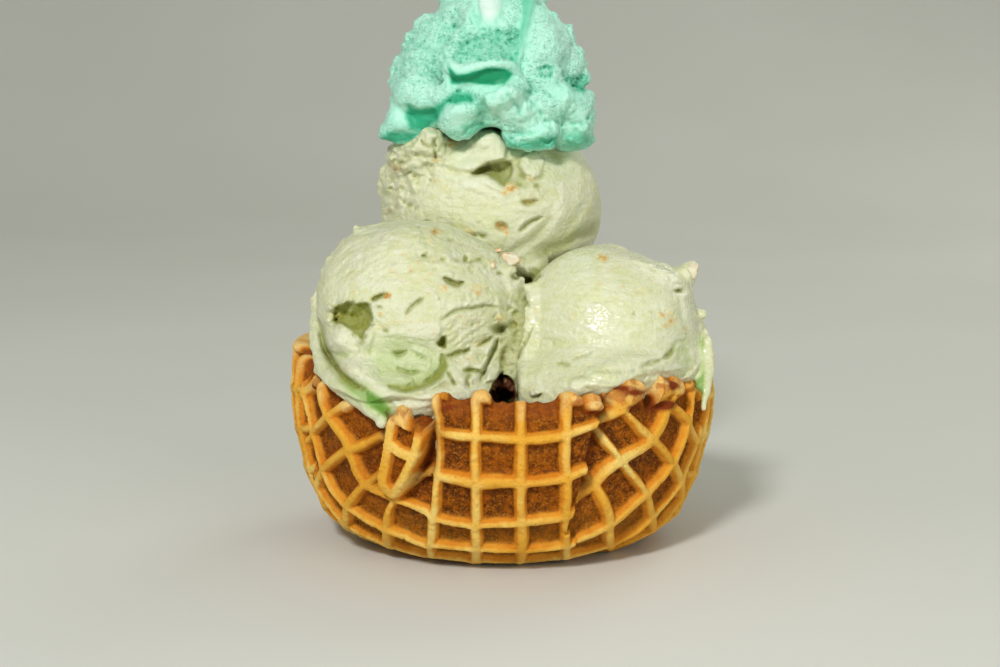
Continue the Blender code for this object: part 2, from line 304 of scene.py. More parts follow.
def rgb(r, g, b):
    """Linear colour from 0-255 display values."""
    def lin(c):
        c /= 255.0
        return c / 12.92 if c <= 0.04045 else ((c + 0.055) / 1.055) ** 2.4
    return (lin(r), lin(g), lin(b))


# ================================================================ waffle bowl
OUTLINE = [(0.0, 0.0), (14.0, 0.0), (28.0, 0.0), (38.0, 0.9), (42.5, 2.4),
           (46.0, 4.5), (50.5, 8.0), (53.2, 12.5), (55.7, 18.0), (57.6, 25.0),
           (59.3, 33.0), (60.0, 40.0), (59.6, 48.0), (58.6, 56.0)]
RIM = [(-180, 53.0), (-150, 52.0), (-120, 54.0), (-90, 54.6), (-70, 51.0),
       (-58, 48.5), (-44, 45.5), (-34, 43.5), (-27, 46.0), (-19, 46.5),
       (-14, 50.0), (0, 49.8), (14, 51.0), (22, 51.0), (30, 50.0),
       (38, 52.2), (52, 52.0), (66, 50.5), (90, 53.5), (120, 52.0),
       (150, 54.0), (180, 53.0)]
FOLDS = [(-24.0, 5.5, 4.2, 48), (-32.5, 3.6, -3.0, 46), (-15.8, 3.4, -2.6, 50),
         (19.0, 6.0, 1.0, 52), (29.5, 4.0, -3.0, 48),
         (-64.0, 5.0, -1.8, 55), (64.0, 5.0, -1.8, 55),
         (-117.0, 4.5, -2.2, 50), (-109.0, 4.5, 1.6, 55),
         (117.0, 4.5, -2.2, 50), (125.0, 4.5, 1.6, 55),
         (-153.0, 5.0, -2.0, 50), (153.0, 5.0, -2.0, 50)]
WALL = 6.0
PITCH = 11.8


def catmull(points, steps):
    p = np.array(points, dtype=float)
    p = np.vstack([2 * p[0] - p[1], p, 2 * p[-1] - p[-2]])
    out = []
    for i in range(1, len(p) - 2):
        for k in range(steps):
            t = k / steps
            a, b, c, d = p[i - 1], p[i], p[i + 1], p[i + 2]
            out.append(0.5 * ((2 * b) + (c - a) * t
                              + (2 * a - 5 * b + 4 * c - d) * t * t
                              + (3 * b - a - 3 * c + d) * t ** 3))
    out.append(p[-2])
    return np.array(out)


LINE = catmull(OUTLINE, 12)
LINE[:, 1] = np.maximum(LINE[:, 1], 0.0)
ARC = np.concatenate([[0.0], np.cumsum(np.hypot(*np.diff(LINE, axis=0).T))])


def around(table, alpha):
    az = np.array([row[0] for row in table], dtype=float)
    val = np.array([row[1] for row in table], dtype=float)
    i = np.clip(np.searchsorted(az, alpha, side="right") - 1, 0, len(az) - 2)
    t = np.clip((alpha - az[i]) / (az[i + 1] - az[i]), 0.0, 1.0)
    t = t * t * (3.0 - 2.0 * t)
    return val[i] * (1.0 - t) + val[i + 1] * t


def hit_bowl(px, py):
    """Azimuth and arc length where a sight line meets the bowl's outside."""
    wall = ARC > 30.0
    for y in np.arange(-66.0, 20.0, 0.05):
        x, _, z = unproject(px, py, y)
        if 0.0 <= z <= 58.0:
            r = math.hypot(x, y)
            if r < np.interp(z, LINE[wall, 1], LINE[wall, 0]):
                return (math.degrees(math.atan2(x, -y)),
                        float(np.interp(z, LINE[wall, 1], ARC[wall])))
    return None


def seg_distance(X, Y, pts, closed=False):
    """Distance to a line through points, and how far along it, 0 to 1."""
    pts = np.asarray(pts, float)
    if closed:
        pts = np.vstack([pts, pts[:1]])
    seg = np.linalg.norm(np.diff(pts, axis=0), axis=1)
    cum = np.concatenate([[0.0], np.cumsum(seg)])
    best = np.full(X.shape, 1e9, f32)
    along = np.zeros(X.shape, f32)
    side = np.zeros(X.shape, f32)
    for k in range(len(pts) - 1):
        ax, ay = pts[k]
        bx, by = pts[k + 1]
        dx, dy = bx - ax, by - ay
        t = np.clip(((X - ax) * dx + (Y - ay) * dy) / (dx * dx + dy * dy + 1e-9),
                    0.0, 1.0)
        ex, ey = X - (ax + t * dx), Y - (ay + t * dy)
        d = np.hypot(ex, ey)
        near = d < best
        best = np.where(near, d, best)
        along = np.where(near, (cum[k] + t * seg[k]) / cum[-1], along)
        side = np.where(near, np.sign(dx * ey - dy * ex), side)
    return best, along, side


def inside_polygon(X, Y, pts):
    pts = np.asarray(pts, float)
    inside = np.zeros(X.shape, bool)
    j = len(pts) - 1
    for i in range(len(pts)):
        xi, yi = pts[i]
        xj, yj = pts[j]
        cross = ((yi > Y) != (yj > Y)) & (
            X < (xj - xi) * (Y - yi) / (yj - yi + 1e-12) + xi)
        inside ^= cross
        j = i
    return inside


def signed_polygon(X, Y, pts):
    """Distance to a polygon's edge, negative inside."""
    d, _, _ = seg_distance(X, Y, pts, closed=True)
    return np.where(inside_polygon(X, Y, pts), -d, d)


# where ridges cross in the view: (view x, view y, ridge i, ridge j)
CROSSINGS = {
    0: [(437, 432, 0, 0), (475, 437, 1, 0), (522, 440, 2, 0), (566, 434, 3, 0),
        (437, 475, 0, -1), (475, 483, 1, -1), (521, 484, 2, -1), (566, 478, 3, -1),
        (433, 519, 0, -2), (475, 528, 1, -2), (522, 525, 2, -2), (566, 518, 3, -2),
        (429, 546, 0, -3), (475, 551, 1, -3), (522, 553, 2, -3), (567, 548, 3, -3)],
    1: [(597.6, 484.6, 4, -2), (621, 461, 5, -2), (654.8, 441.3, 6, -2),
        (597.6, 425.9, 5, -1), (647.5, 494.8, 5, -3), (674.6, 464, 6, -3),
        (691.5, 421.5, 7, -3), (610.8, 527, 4, -3)],
    -1: [(393.5, 500, -1, -2), (384.7, 531.5, -1, -3), (364.2, 484.6, -2, -2),
         (345.9, 509.5, -2, -3), (348, 451, -3, -2), (320.2, 471.4, -3, -3),
         (324.6, 416.4, -4, -2), (383.5, 429, -3, -1), (386.5, 469, -2, -1),
         (434.5, 517.5, 0, -2), (431.5, 549, 0, -3)],
}

# the rim's upper edge in the view, from the left round the front to the right
RIM_VIEW = [(300.5, 377), (303, 375.5), (308, 376.0), (312.5, 379.5),
            (315, 382.5), (318, 380.5), (322, 381), (326, 384.5), (335, 388),
            (345, 396), (356, 404), (366, 412), (376, 420), (385, 421),
            (391, 414), (395, 407), (401, 404.2), (407, 406.5), (411, 414),
            (414, 420), (418, 416), (423, 421), (427, 412), (431.5, 398),
            (434, 393.5), (440, 391.5), (446, 393), (450, 397.5), (455, 399.5),
            (460, 400.5), (466, 399), (471, 396), (473.5, 391.5), (480, 389.3),
            (486, 390.5), (490, 395.5), (492.5, 403), (499, 404.5),
            (503, 402.5), (508, 405), (514, 403.8), (519, 401.8), (525, 401.5),
            (529, 403.5), (534, 404.5), (540, 402), (547, 404.5), (554, 403),
            (559.5, 400), (562.5, 393), (569, 390.5), (576, 391.5), (580, 396),
            (583, 397), (588, 393.5), (594, 392.0), (600, 394.5), (603, 399),
            (606, 392), (610, 389), (614, 387), (617, 380.5), (624, 377.0),
            (636, 377.2), (643, 380.5), (647.5, 384.5), (650.5, 393), (653, 403),
            (655.5, 410), (658, 405), (659.5, 392), (660.5, 381), (663.5, 374.0),
            (669, 371.5), (676, 373.5), (681, 378.5), (684, 385), (688, 388),
            (693, 387), (697, 384.5), (701, 388)]

TONGUE = [(394.5, 408.5), (397.5, 405), (401.5, 404), (405.5, 405), (409, 408.5),
          (412, 413), (418, 416), (424, 421), (427, 429), (426.8, 441),
          (424, 455), (418, 469), (411, 483), (402, 496), (395, 500),
          (388, 495), (383.5, 486), (382.6, 477), (384.5, 466), (386.2, 455),
          (388.2, 441), (389.5, 427), (390.8, 416)]
FOLD_EDGE = [(604, 388), (602, 400), (599.5, 412), (596, 430), (591.5, 450),
             (588, 465), (585, 480), (580, 498), (574, 516), (566, 534)]


def build_bowl():
    wall = ARC > 60.0

    def arc_at(z):
        return np.interp(z, LINE[wall, 1], ARC[wall])

    # crossings on the bowl, and how far they lie off the regular grid
    def regular(alpha, s, panel):
        r = np.interp(s, ARC, LINE[:, 0])
        k = r / np.maximum(s, 1e-3)
        mid = panel * 45.0
        phi = np.radians(mid + k * (alpha - mid))
        return 1.58 + s * np.sin(phi) / PITCH, (s * np.cos(phi) - 86.3) / PITCH

    fixes = {}
    for panel, rows in CROSSINGS.items():
        place = np.array([[a, b] for a, b, _, _ in rows], float)
        miss = []
        for a, b, i, j in rows:
            al, s = hit_bowl(a, b)
            gi, gj = regular(np.array(al), np.array(s), panel)
            miss.append((i - gi, j - gj))
        miss = np.array(miss)
        d2 = ((place[:, None] - place[None]) ** 2).sum(-1)
        kern = np.exp(-d2 / (2 * 34.0 ** 2)) + 0.04 * np.eye(len(place))
        fixes[panel] = (place, np.linalg.solve(kern, miss))

    # the rim all round: what the view shows, and nubs elsewhere
    seen = [hit_bowl(a, b) for a, b in RIM_VIEW]
    seen = sorted(s for s in seen if s is not None)
    seen_a = np.array([s[0] for s in seen])
    seen_s = np.array([s[1] for s in seen])

    noise = Perlin(11)
    fine = 0.62
    cols = [-180.0]
    while cols[-1] < 180.0:
        a = abs(cols[-1])
        step = lerp(0.50, 0.98, float(sstep(np.array(a), 60.0, 125.0))) * fine / 0.62
        cols.append(cols[-1] + step)
    cols = np.array(cols[:-1]) if 180.0 - cols[-2] > 0.3 else np.array(cols[:-2])
    n_col = len(cols)

    r_arc_c = arc_at(around(RIM, cols))
    back = 1.4 * fbm(noise, 60 * np.sin(np.radians(cols)), 60 * np.cos(np.radians(cols)),
                     3.0, 7.0, 2)
    # a ridge running out at the rim leaves a nub
    panel_c = np.clip(np.round(cols / 45.0), -4, 4)
    gi, gj = regular(cols, r_arc_c, panel_c)
    di = np.abs(gi - np.round(gi)) * PITCH
    dj = np.abs(gj - np.round(gj)) * PITCH
    nub = np.maximum(1 - sstep(di, 1.0, 2.7), 1 - sstep(dj, 1.0, 2.7))
    r_arc_back = r_arc_c + 1.9 * nub - 0.9 + 0.7 * back
    in_view = sstep(cols, -64.0, -56.0) * (1 - sstep(cols, 57.0, 65.0))
    r_arc = lerp(r_arc_back, np.interp(cols, seen_a, seen_s), in_view)
    r_arc = r_arc + 0.35 * noise(cols * 0.9, 0.0, 2.0) * (1 - 0.6 * nub)
    r_arc = np.minimum(r_arc, 101.8)

    top = 97.0
    low = np.linspace(0.0, 34.0, 18)[1:]
    high = np.arange(34.0, top + 0.01, 0.585 * fine / 0.62)
    high = high[1:] * (top - 34.0) / (high[-1] - 34.0) + 34.0 * (
        1 - (top - 34.0) / (high[-1] - 34.0))
    rows = np.concatenate([low, high])
    s0 = np.repeat(rows[:, None], n_col, 1)
    smooth_rim = arc_at(around(RIM, cols))
    s = (s0 + (smooth_rim - top)[None] * sstep(s0, 62.0, top)
         + (r_arc - smooth_rim)[None] * sstep(s0, 84.0, top))
    al = np.repeat(cols[None], len(rows), 0)

    def shape(al, s, depth, folded=1.0, lift=0.0):
        r = np.interp(s, ARC, LINE[:, 0])
        z = np.interp(s, ARC, LINE[:, 1])
        dr = np.interp(s + 1.5, ARC, LINE[:, 0]) - np.interp(s - 1.5, ARC, LINE[:, 0])
        dz = np.interp(s + 1.5, ARC, LINE[:, 1]) - np.interp(s - 1.5, ARC, LINE[:, 1])
        dr = np.where(s < 1.5, 1.0, dr)
        length = np.hypot(dr, dz)
        nr, nz = dz / length, -dr / length
        r = r + folded * lift - nr * depth
        z = z - nz * depth
        phi = np.radians(al)
        return np.stack([r * np.sin(phi), -r * np.cos(phi), z], -1)

    base = shape(al, s, 0.0)
    px, py = project(base[..., 0], base[..., 1], base[..., 2])
    wx = 1.1 * fbm(noise, base[..., 0], base[..., 1], base[..., 2], 9.0, 2)
    wy = 1.1 * fbm(noise, base[..., 0] + 40, base[..., 1], base[..., 2], 9.0, 2)
    front = 1 - sstep(np.abs(al), 62.0, 82.0)

    # which panel of the sheet: the folds lie between the panels
    panel = np.clip(np.round(al / 45.0), -4, 4)
    edge_d, _, edge_side = seg_distance(px, py, FOLD_EDGE)
    right_of = (edge_side < 0) & (py < 536) & (np.abs(al) < 80)
    left_of = (edge_side > 0) & (py < 536) & (np.abs(al) < 80)
    near_r = (al > 5) & (al < 45)
    panel = np.where(near_r & right_of, 1, np.where(near_r & left_of, 0, panel))
    panel = np.where((al < -5) & (al > -45),
                     np.where(px < 429 - 0.02 * (py - 430), -1, 0), panel)
    gi, gj = regular(al, s, panel)
    for p, (place, coef) in fixes.items():
        m = (panel == p) & (front > 0)
        d2 = ((px[m][:, None] - place[None, :, 0]) ** 2
              + (py[m][:, None] - place[None, :, 1]) ** 2)
        k = np.exp(-d2 / (2 * 34.0 ** 2)) * front[m][:, None]
        add = k @ coef
        gi[m] += add[:, 0]
        gj[m] += add[:, 1]
    gi = gi + 0.045 * wx
    gj = gj + 0.045 * wy

    di = np.abs(gi - np.round(gi)) * PITCH
    dj = np.abs(gj - np.round(gj)) * PITCH
    wide = 1.0 + 0.16 * noise(base[..., 0] / 13, base[..., 1] / 13, base[..., 2] / 13)

    def rope(d):
        d = d / wide
        return (1 - sstep(d, 0.75, 2.35)) * (1 - 0.10 * np.minimum(d, 2.0) ** 2)
    ri, rj = rope(di), rope(dj)
    ridge = np.maximum(ri, rj)
    cross = np.minimum(ri, rj)
    uneven = fbm(noise, base[..., 0] + 9, base[..., 1], base[..., 2], 7.0, 3)

    # the tongue: a narrow flap with its own two cells
    TX, TY = px + 0.9 * wx, py + 0.9 * wy
    t_sd = signed_polygon(TX, TY, TONGUE)
    on_front = np.abs(al) < 60
    t_in = (1 - sstep(t_sd, -1.2, 0.6)) * on_front
    bar, _, _ = seg_distance(TX, TY, [(388, 436), (394, 441), (403, 449.5),
                                      (412, 454), (424, 455)])
    nubt, _, _ = seg_distance(TX, TY, [(401.5, 405), (403.5, 412)])
    edge_rope = 1 - sstep(np.abs(-t_sd - 5.2), 3.0, 8.0)
    bar_rope = 1 - sstep(bar, 3.6, 7.6)
    nub_rope = 1 - sstep(nubt, 4.5, 9.0)
    torn = sstep(TX, 408, 414) * (1 - sstep(TY, 424, 436))
    t_ridge = np.maximum(np.maximum(edge_rope * (1 - 0.75 * torn), bar_rope), nub_rope)
    ridge = lerp(ridge, t_ridge, t_in)
    cross = cross * (1 - t_in)

    # small rounded end beside the right fold
    lobe = np.exp(-(((px - 594) / 8.5) ** 2 + ((py - 398.5) / 6.5) ** 2)) * on_front
    ridge = np.maximum(ridge, np.clip(1.5 * lobe, 0, 1))
    # broad toasted nubs on the right of the rim, a pale one farther left
    knobs = np.zeros_like(lobe)
    for kx, ky, rx, ry in ((630.5, 388, 15.0, 12.5), (665, 383, 10.0, 11.0),
                           (677, 383, 7.5, 10.0), (576, 392, 9.5, 6.0), (302, 379, 5.0, 6.0)):
        knobs = np.maximum(knobs, np.exp(-(((TX - kx) / rx) ** 2 + ((TY - ky) / ry) ** 2) ** 1.5)
                           * on_front)
    ridge = np.maximum(ridge, np.clip(1.5 * knobs, 0, 1))
    browned = np.zeros_like(lobe)
    for kx, ky, rx, ry in ((670.5, 379, 6.0, 5.5), (634, 385.5, 11.0, 4.0), (622, 381, 6.0, 3.0),
                           (638, 405.0, 11.0, 4.5), (665, 403.0, 11.0, 7.0), (594, 406.0, 8.0, 3.0),
                           (425.5, 404, 4.0, 4.0), (606, 397, 4.0, 7.0),
                           (446, 403, 5.5, 3.0), (310, 384, 4.0, 5.0)):
        browned = np.maximum(browned, np.exp(-(((TX - kx) / rx) ** 2 + ((TY - ky) / ry) ** 2)
                                             ** 1.5) * on_front)

    depth = 2.75 * (1 - ridge) - 0.22 * cross - 0.28 * uneven * ridge
    # cell floors: a little pillowed, rough with small bubbles
    bub = fbm(noise, base[..., 0], base[..., 1], base[..., 2], 2.6, 3, 0.6)
    depth = depth + (1 - ridge) * (0.22 * bub + 0.20 * uneven)
    depth = depth + 0.10 * noise(base[..., 0] / 1.3, base[..., 1] / 1.3,
                                 base[..., 2] / 1.3)
    # ridge tops with pinholes
    pin = noise(base[..., 0] / 1.7 + 5, base[..., 1] / 1.7, base[..., 2] / 1.7)
    depth = depth + 0.55 * sstep(pin, 0.52, 0.75) * ridge
    depth = np.maximum(depth, -0.5)

    # folds: how far the sheet stands out or is tucked in
    lift = np.zeros_like(s)
    for az, half, by, start in FOLDS:
        if -34 < az < -14 or 18 < az < 30:
            continue                       # laid out below from the view
        d = (al - az + 180.0) % 360.0 - 180.0
        lift += by * np.exp(-(d / half) ** 2) * sstep(s, start, start + 30.0)
    # other folds lie one layer on the other: a sharp step where they end
    for az, by in ((-67.5, 1.5), (67.5, -1.5), (112.5, 1.8), (-112.5, -1.8),
                   (157.5, 1.6), (-157.5, -1.6)):
        d = (al - az + 180.0) % 360.0 - 180.0 + 1.2 * wx
        sgn = np.sign(by)
        lift += (abs(by) * sgn * (sstep(d, -0.5, 0.5) - 0.5) * 2
                 * np.exp(-(d / 9.0) ** 2) * sstep(s, 50.0, 80.0)) * 0.8

    up = sstep(s, 46.0, 74.0) * on_front
    # right fold: the front panel lies over the right one
    e_signed = np.where(edge_side < 0, edge_d, -edge_d) + 0.8 * wx
    fade = 1 - sstep(py, 488.0, 528.0)
    proud = 1.7 * (1 - sstep(e_signed, -1.4, 1.4)) * np.exp(-(np.minimum(e_signed, 0) / 60.0) ** 2)
    valley = -2.6 * sstep(e_signed, -1.4, 1.4) * (1 - sstep(e_signed, 6.0, 26.0))
    near = (al > 0) & (al < 50)
    lift += (proud + valley) * fade * near * sstep(s, 44.0, 66.0)
    # left: the tongue stands out between two tucks
    t_fade = 1 - sstep(py, 478.0, 506.0)
    around_t = np.exp(-(np.maximum(t_sd, 0) / 15.0) ** 2)
    lift += on_front * (al < 0) * (al > -50) * (
        3.4 * t_in * (0.35 + 0.65 * t_fade)
        - 2.6 * around_t * (1 - t_in) * t_fade)
    tuck, _, _ = seg_distance(TX, TY, [(428, 408), (429, 440), (428, 470), (424, 500)])
    lift += on_front * (al < 0) * -1.9 * np.exp(-(tuck / 6.0) ** 2) * (1 - t_in) * (
        1 - sstep(py, 488.0, 512.0))
    # the front panel's left border stands proud of the tuck
    lift += on_front * 1.2 * sstep(px, 429, 434) * (1 - sstep(px, 440, 520)) * (
        al < 0) * (1 - sstep(py, 490, 520)) * up
    lift += on_front * (1.2 * lobe + 1.0 * knobs)
    lift += 0.5 * fbm(noise, base[..., 0], base[..., 1] + 30, base[..., 2], 24.0, 2) * sstep(s, 40, 60)

    # at the rim the cells run out thin and a little ragged
    near_rim = sstep(s0, 93.0, 97.0)
    depth = depth + 0.5 * near_rim * (1 - ridge)
    rim_ridge = ridge[-1]
    thick = 2.3 + 3.3 * rim_ridge + 0.3 * noise(cols * 0.3, 5.0, 1.0)
    rounding = 0.97 * np.minimum(thick * 0.5, 1.9) * in_view
    outer = shape(al, s - rounding[None] * sstep(s0, 86.0, top), depth, 1.0, lift)
    outer[..., 2] = np.maximum(outer[..., 2], 0.0)

    # over the rim and down the inside
    d0 = depth[-1]
    rim_rows, rim_s, rim_att = [], [], []
    n_rim = 6
    for k in range(1, n_rim + 1):
        t = k / (n_rim + 1)
        ang = math.pi * t
        across = (1 - math.cos(ang)) / 2
        up_by = math.sin(ang) * np.minimum(thick * 0.5, 1.9)
        dd = d0 + thick * across
        rim_rows.append(shape(cols, r_arc + up_by - rounding, dd, 1.0, lift[-1]))
        rim_s.append(across)
    in_s0 = np.concatenate([np.arange(top, 82.0, -0.8 * fine / 0.62),
                            np.linspace(82.0, 60.0, 12),
                            np.linspace(58.0, 3.0, 20)])
    S0 = np.repeat(in_s0[:, None], n_col, 1)
    Sin = (S0 + (smooth_rim - top)[None] * sstep(S0, 62.0, top)
           + (r_arc - smooth_rim)[None] * sstep(S0, 84.0, top)
           - rounding[None] * sstep(S0, 86.0, top))
    AL = np.repeat(cols[None], len(in_s0), 0)
    # ridge height of the inner face follows the outer's
    row_of = np.interp(S0, rows, np.arange(len(rows)))
    lo_i = np.clip(np.floor(row_of).astype(int), 0, len(rows) - 2)
    fr = row_of - lo_i
    ci = np.repeat(np.arange(n_col)[None], len(in_s0), 0)

    def at(field):
        return field[lo_i, ci] * (1 - fr) + field[lo_i + 1, ci] * fr
    r_in = at(ridge)
    lift_in = at(lift)
    tk = (d0 + thick)[None]
    full = WALL - 0.1 - 1.2 * (1 - r_in) * sstep(S0, 70.0, 84.0)
    dep_in = lerp(full, tk, sstep(S0, 86.0, top))
    dep_in = dep_in + 0.12 * noise(AL / 3.0, S0 / 2.5, 9.0)
    inner = shape(AL, Sin, dep_in, 1.0, lift_in * sstep(S0, 40, 75))

    verts = np.concatenate([outer.reshape(-1, 3),
                            np.concatenate(rim_rows).reshape(-1, 3),
                            inner.reshape(-1, 3)])
    n_rows = len(rows) + n_rim + len(in_s0)
    foot = len(verts)
    verts = np.vstack([verts, [[0.0, 0.0, 0.0]], [[0.0, 0.0, WALL]]])
    idx = np.arange(n_rows * n_col).reshape(n_rows, n_col)
    a = idx[:-1]
    b = np.roll(idx, -1, 1)[:-1]
    c = np.roll(idx, -1, 1)[1:]
    d = idx[1:]
    quads = np.stack([a, b, c, d], -1).reshape(-1, 4)
    first, last = idx[0], idx[-1]
    tri_a = np.stack([np.full(n_col, foot), np.roll(first, -1), first], 1)
    tri_b = np.stack([np.full(n_col, foot + 1), last, np.roll(last, -1)], 1)

    def pack(o, r, i):
        return np.concatenate([o.ravel(), np.concatenate(r).ravel(), i.ravel(), [0, 0]])
    ridge_at = pack(ridge, [lerp(rim_ridge, r_in[0], t) for t in rim_s], r_in)
    rimness = pack(sstep(s0, 91.0, 97.0), [np.ones(n_col)] * n_rim,
                   sstep(S0, 91.0, 97.0))
    # painted shade: the tucks beside the right fold and round the tongue, darkened in the colour
    painted_fold_shade = np.clip(np.exp(-((e_signed - 5.0) / 6.5) ** 2) * fade * near * 0.9
                      * (e_signed > -1)
                      + around_t * (1 - t_in) * t_fade * (al < 0) * (al > -50) * 0.8,
                      0, 1) * on_front
    fold_shade_attr = pack(painted_fold_shade, [np.zeros(n_col)] * n_rim, np.zeros_like(S0))
    inside = pack(np.zeros_like(s), [np.full(n_col, t) for t in rim_s],
                  np.ones_like(S0))
    toasted = np.maximum(np.maximum(t_in * nub_rope * 0.6, lobe), knobs)
    nubby = pack(toasted, [toasted[-1]] * n_rim, np.zeros_like(S0))
    dark = pack(browned, [browned[-1]] * n_rim, np.zeros_like(S0))
    obj = new_mesh("bowl_waffle", verts, [quads, tri_a, tri_b],
                   {"ridge": ridge_at, "rimness": rimness, "painted_fold_shade": fold_shade_attr,
                    "inside": inside, "nubby": nubby, "browned": dark})
    return obj


def waffle_material():
    m = Nodes("waffle_baked")
    pos = m.position()
    ridge = m.attr("ridge")
    rim = m.attr("rimness")
    fold_shade_attr = m.attr("painted_fold_shade")
    # broad drift of the bake, blotches, grain
    broad = m.noise(38.0, 3.0, 0.55, vector=pos)
    blotch = m.noise(150.0, 4.0, 0.6, vector=pos)
    grain = m.noise(620.0, 4.0, 0.65, vector=pos)
    speck = m.noise(1500.0, 2.0, 0.6, vector=pos)
    cell = m.mix(m.map(grain, 0.36, 0.64), rgb(80, 36, 0), rgb(160, 86, 4))
    cell = m.mix(m.math("MULTIPLY", m.map(broad, 0.40, 0.66), 0.4), cell, rgb(158, 84, 2))
    cell = m.mix(m.math("MULTIPLY", m.map(blotch, 0.46, 0.64), 0.65), cell, rgb(78, 36, 0))
    cell = m.mix(m.math("MULTIPLY", m.map(speck, 0.52, 0.68), 0.45), cell, rgb(208, 138, 44))
    # painted reflection: the lowest part of the bowl tinted yellow, as by light thrown up from below
    low = m.add("ShaderNodeSeparateXYZ")
    m.link(pos, low.inputs[0])
    low = m.map(low.outputs["Z"], 0.024, 0.006)
    side = m.mix(m.map(blotch, 0.3, 0.7), rgb(212, 126, 26), rgb(228, 154, 46))
    topc = m.mix(m.map(blotch, 0.35, 0.7), rgb(240, 188, 78), rgb(247, 216, 126))
    topc = m.mix(m.map(broad, 0.45, 0.62), topc, rgb(234, 172, 56))
    shift = m.math("ADD", ridge, m.map(blotch, 0.2, 0.8, -0.16, 0.16, smooth=False))
    col = m.mix(m.map(shift, 0.10, 0.52), cell, side)
    col = m.mix(m.map(shift, 0.62, 1.02), col, topc)
    col = m.mix(m.math("MULTIPLY", low, 0.16), col, rgb(206, 158, 48))
    # the rim's nubs are paler; thin cell edges at the rim toasted
    col = m.mix(m.math("MULTIPLY", rim, m.map(ridge, 0.35, 0.9), clamp=True), col,
                m.mix(m.map(blotch, 0.4, 0.65), rgb(242, 204, 128), rgb(230, 166, 76)))
    edge = m.math("MULTIPLY", rim, m.map(ridge, 0.5, 0.1), clamp=True)
    col = m.mix(m.math("MULTIPLY", edge, 0.55), col, rgb(146, 72, 20))
    toast = m.math("MULTIPLY", m.attr("nubby"), m.map(m.noise(330.0, 3.0, vector=pos), 0.44, 0.58),
                   clamp=True)
    col = m.mix(m.math("MULTIPLY", toast, 0.85), col, rgb(178, 88, 24))
    col = m.mix(m.math("MULTIPLY", m.math("MULTIPLY", m.attr("browned"),
                                          m.map(blotch, 0.25, 0.55, 0.7, 1.6)), 0.9,
                       clamp=True), col, rgb(126, 52, 10))
    # painted shade in the tucks beside the folds
    col = m.mix(m.math("MULTIPLY", fold_shade_attr, 0.75), col, rgb(112, 48, 16))
    col = m.mix(m.math("MULTIPLY", m.map(speck, 0.62, 0.78), 0.35), col, rgb(96, 46, 16))
    rough = m.map(grain, 0.3, 0.7, 0.58, 0.78)
    h = m.math("ADD", m.math("MULTIPLY", grain, 0.8), m.math("MULTIPLY", speck, 0.35))
    bump = m.bump(h, 0.0009, 0.9)
    m.set(Base_Color=col, Roughness=rough, Normal=bump)
    m.shader.inputs["Specular IOR Level"].default_value = 0.16
    m.shader.inputs["Subsurface Weight"].default_value = 0.05
    m.shader.inputs["Subsurface Radius"].default_value = (1.0, 0.5, 0.2)
    m.shader.inputs["Subsurface Scale"].default_value = 0.0012
    return m.mat


# ================================================================ soft volumes
def smin(a, b, k):
    h = np.clip(0.5 + 0.5 * (b - a) / k, 0.0, 1.0)
    return b + (a - b) * h - k * h * (1.0 - h)


def smax(a, b, k):
    return -smin(-a, -b, k)


def spaced(parts):
    """Grid positions from (from, to, step) stretches."""
    out = []
    for lo, hi, step in parts:
        n = max(1, int(round((hi - lo) / step)))
        out.append(lo + (hi - lo) * np.arange(n) / n)
    out.append([parts[-1][1]])
    return np.concatenate(out).astype(f32)


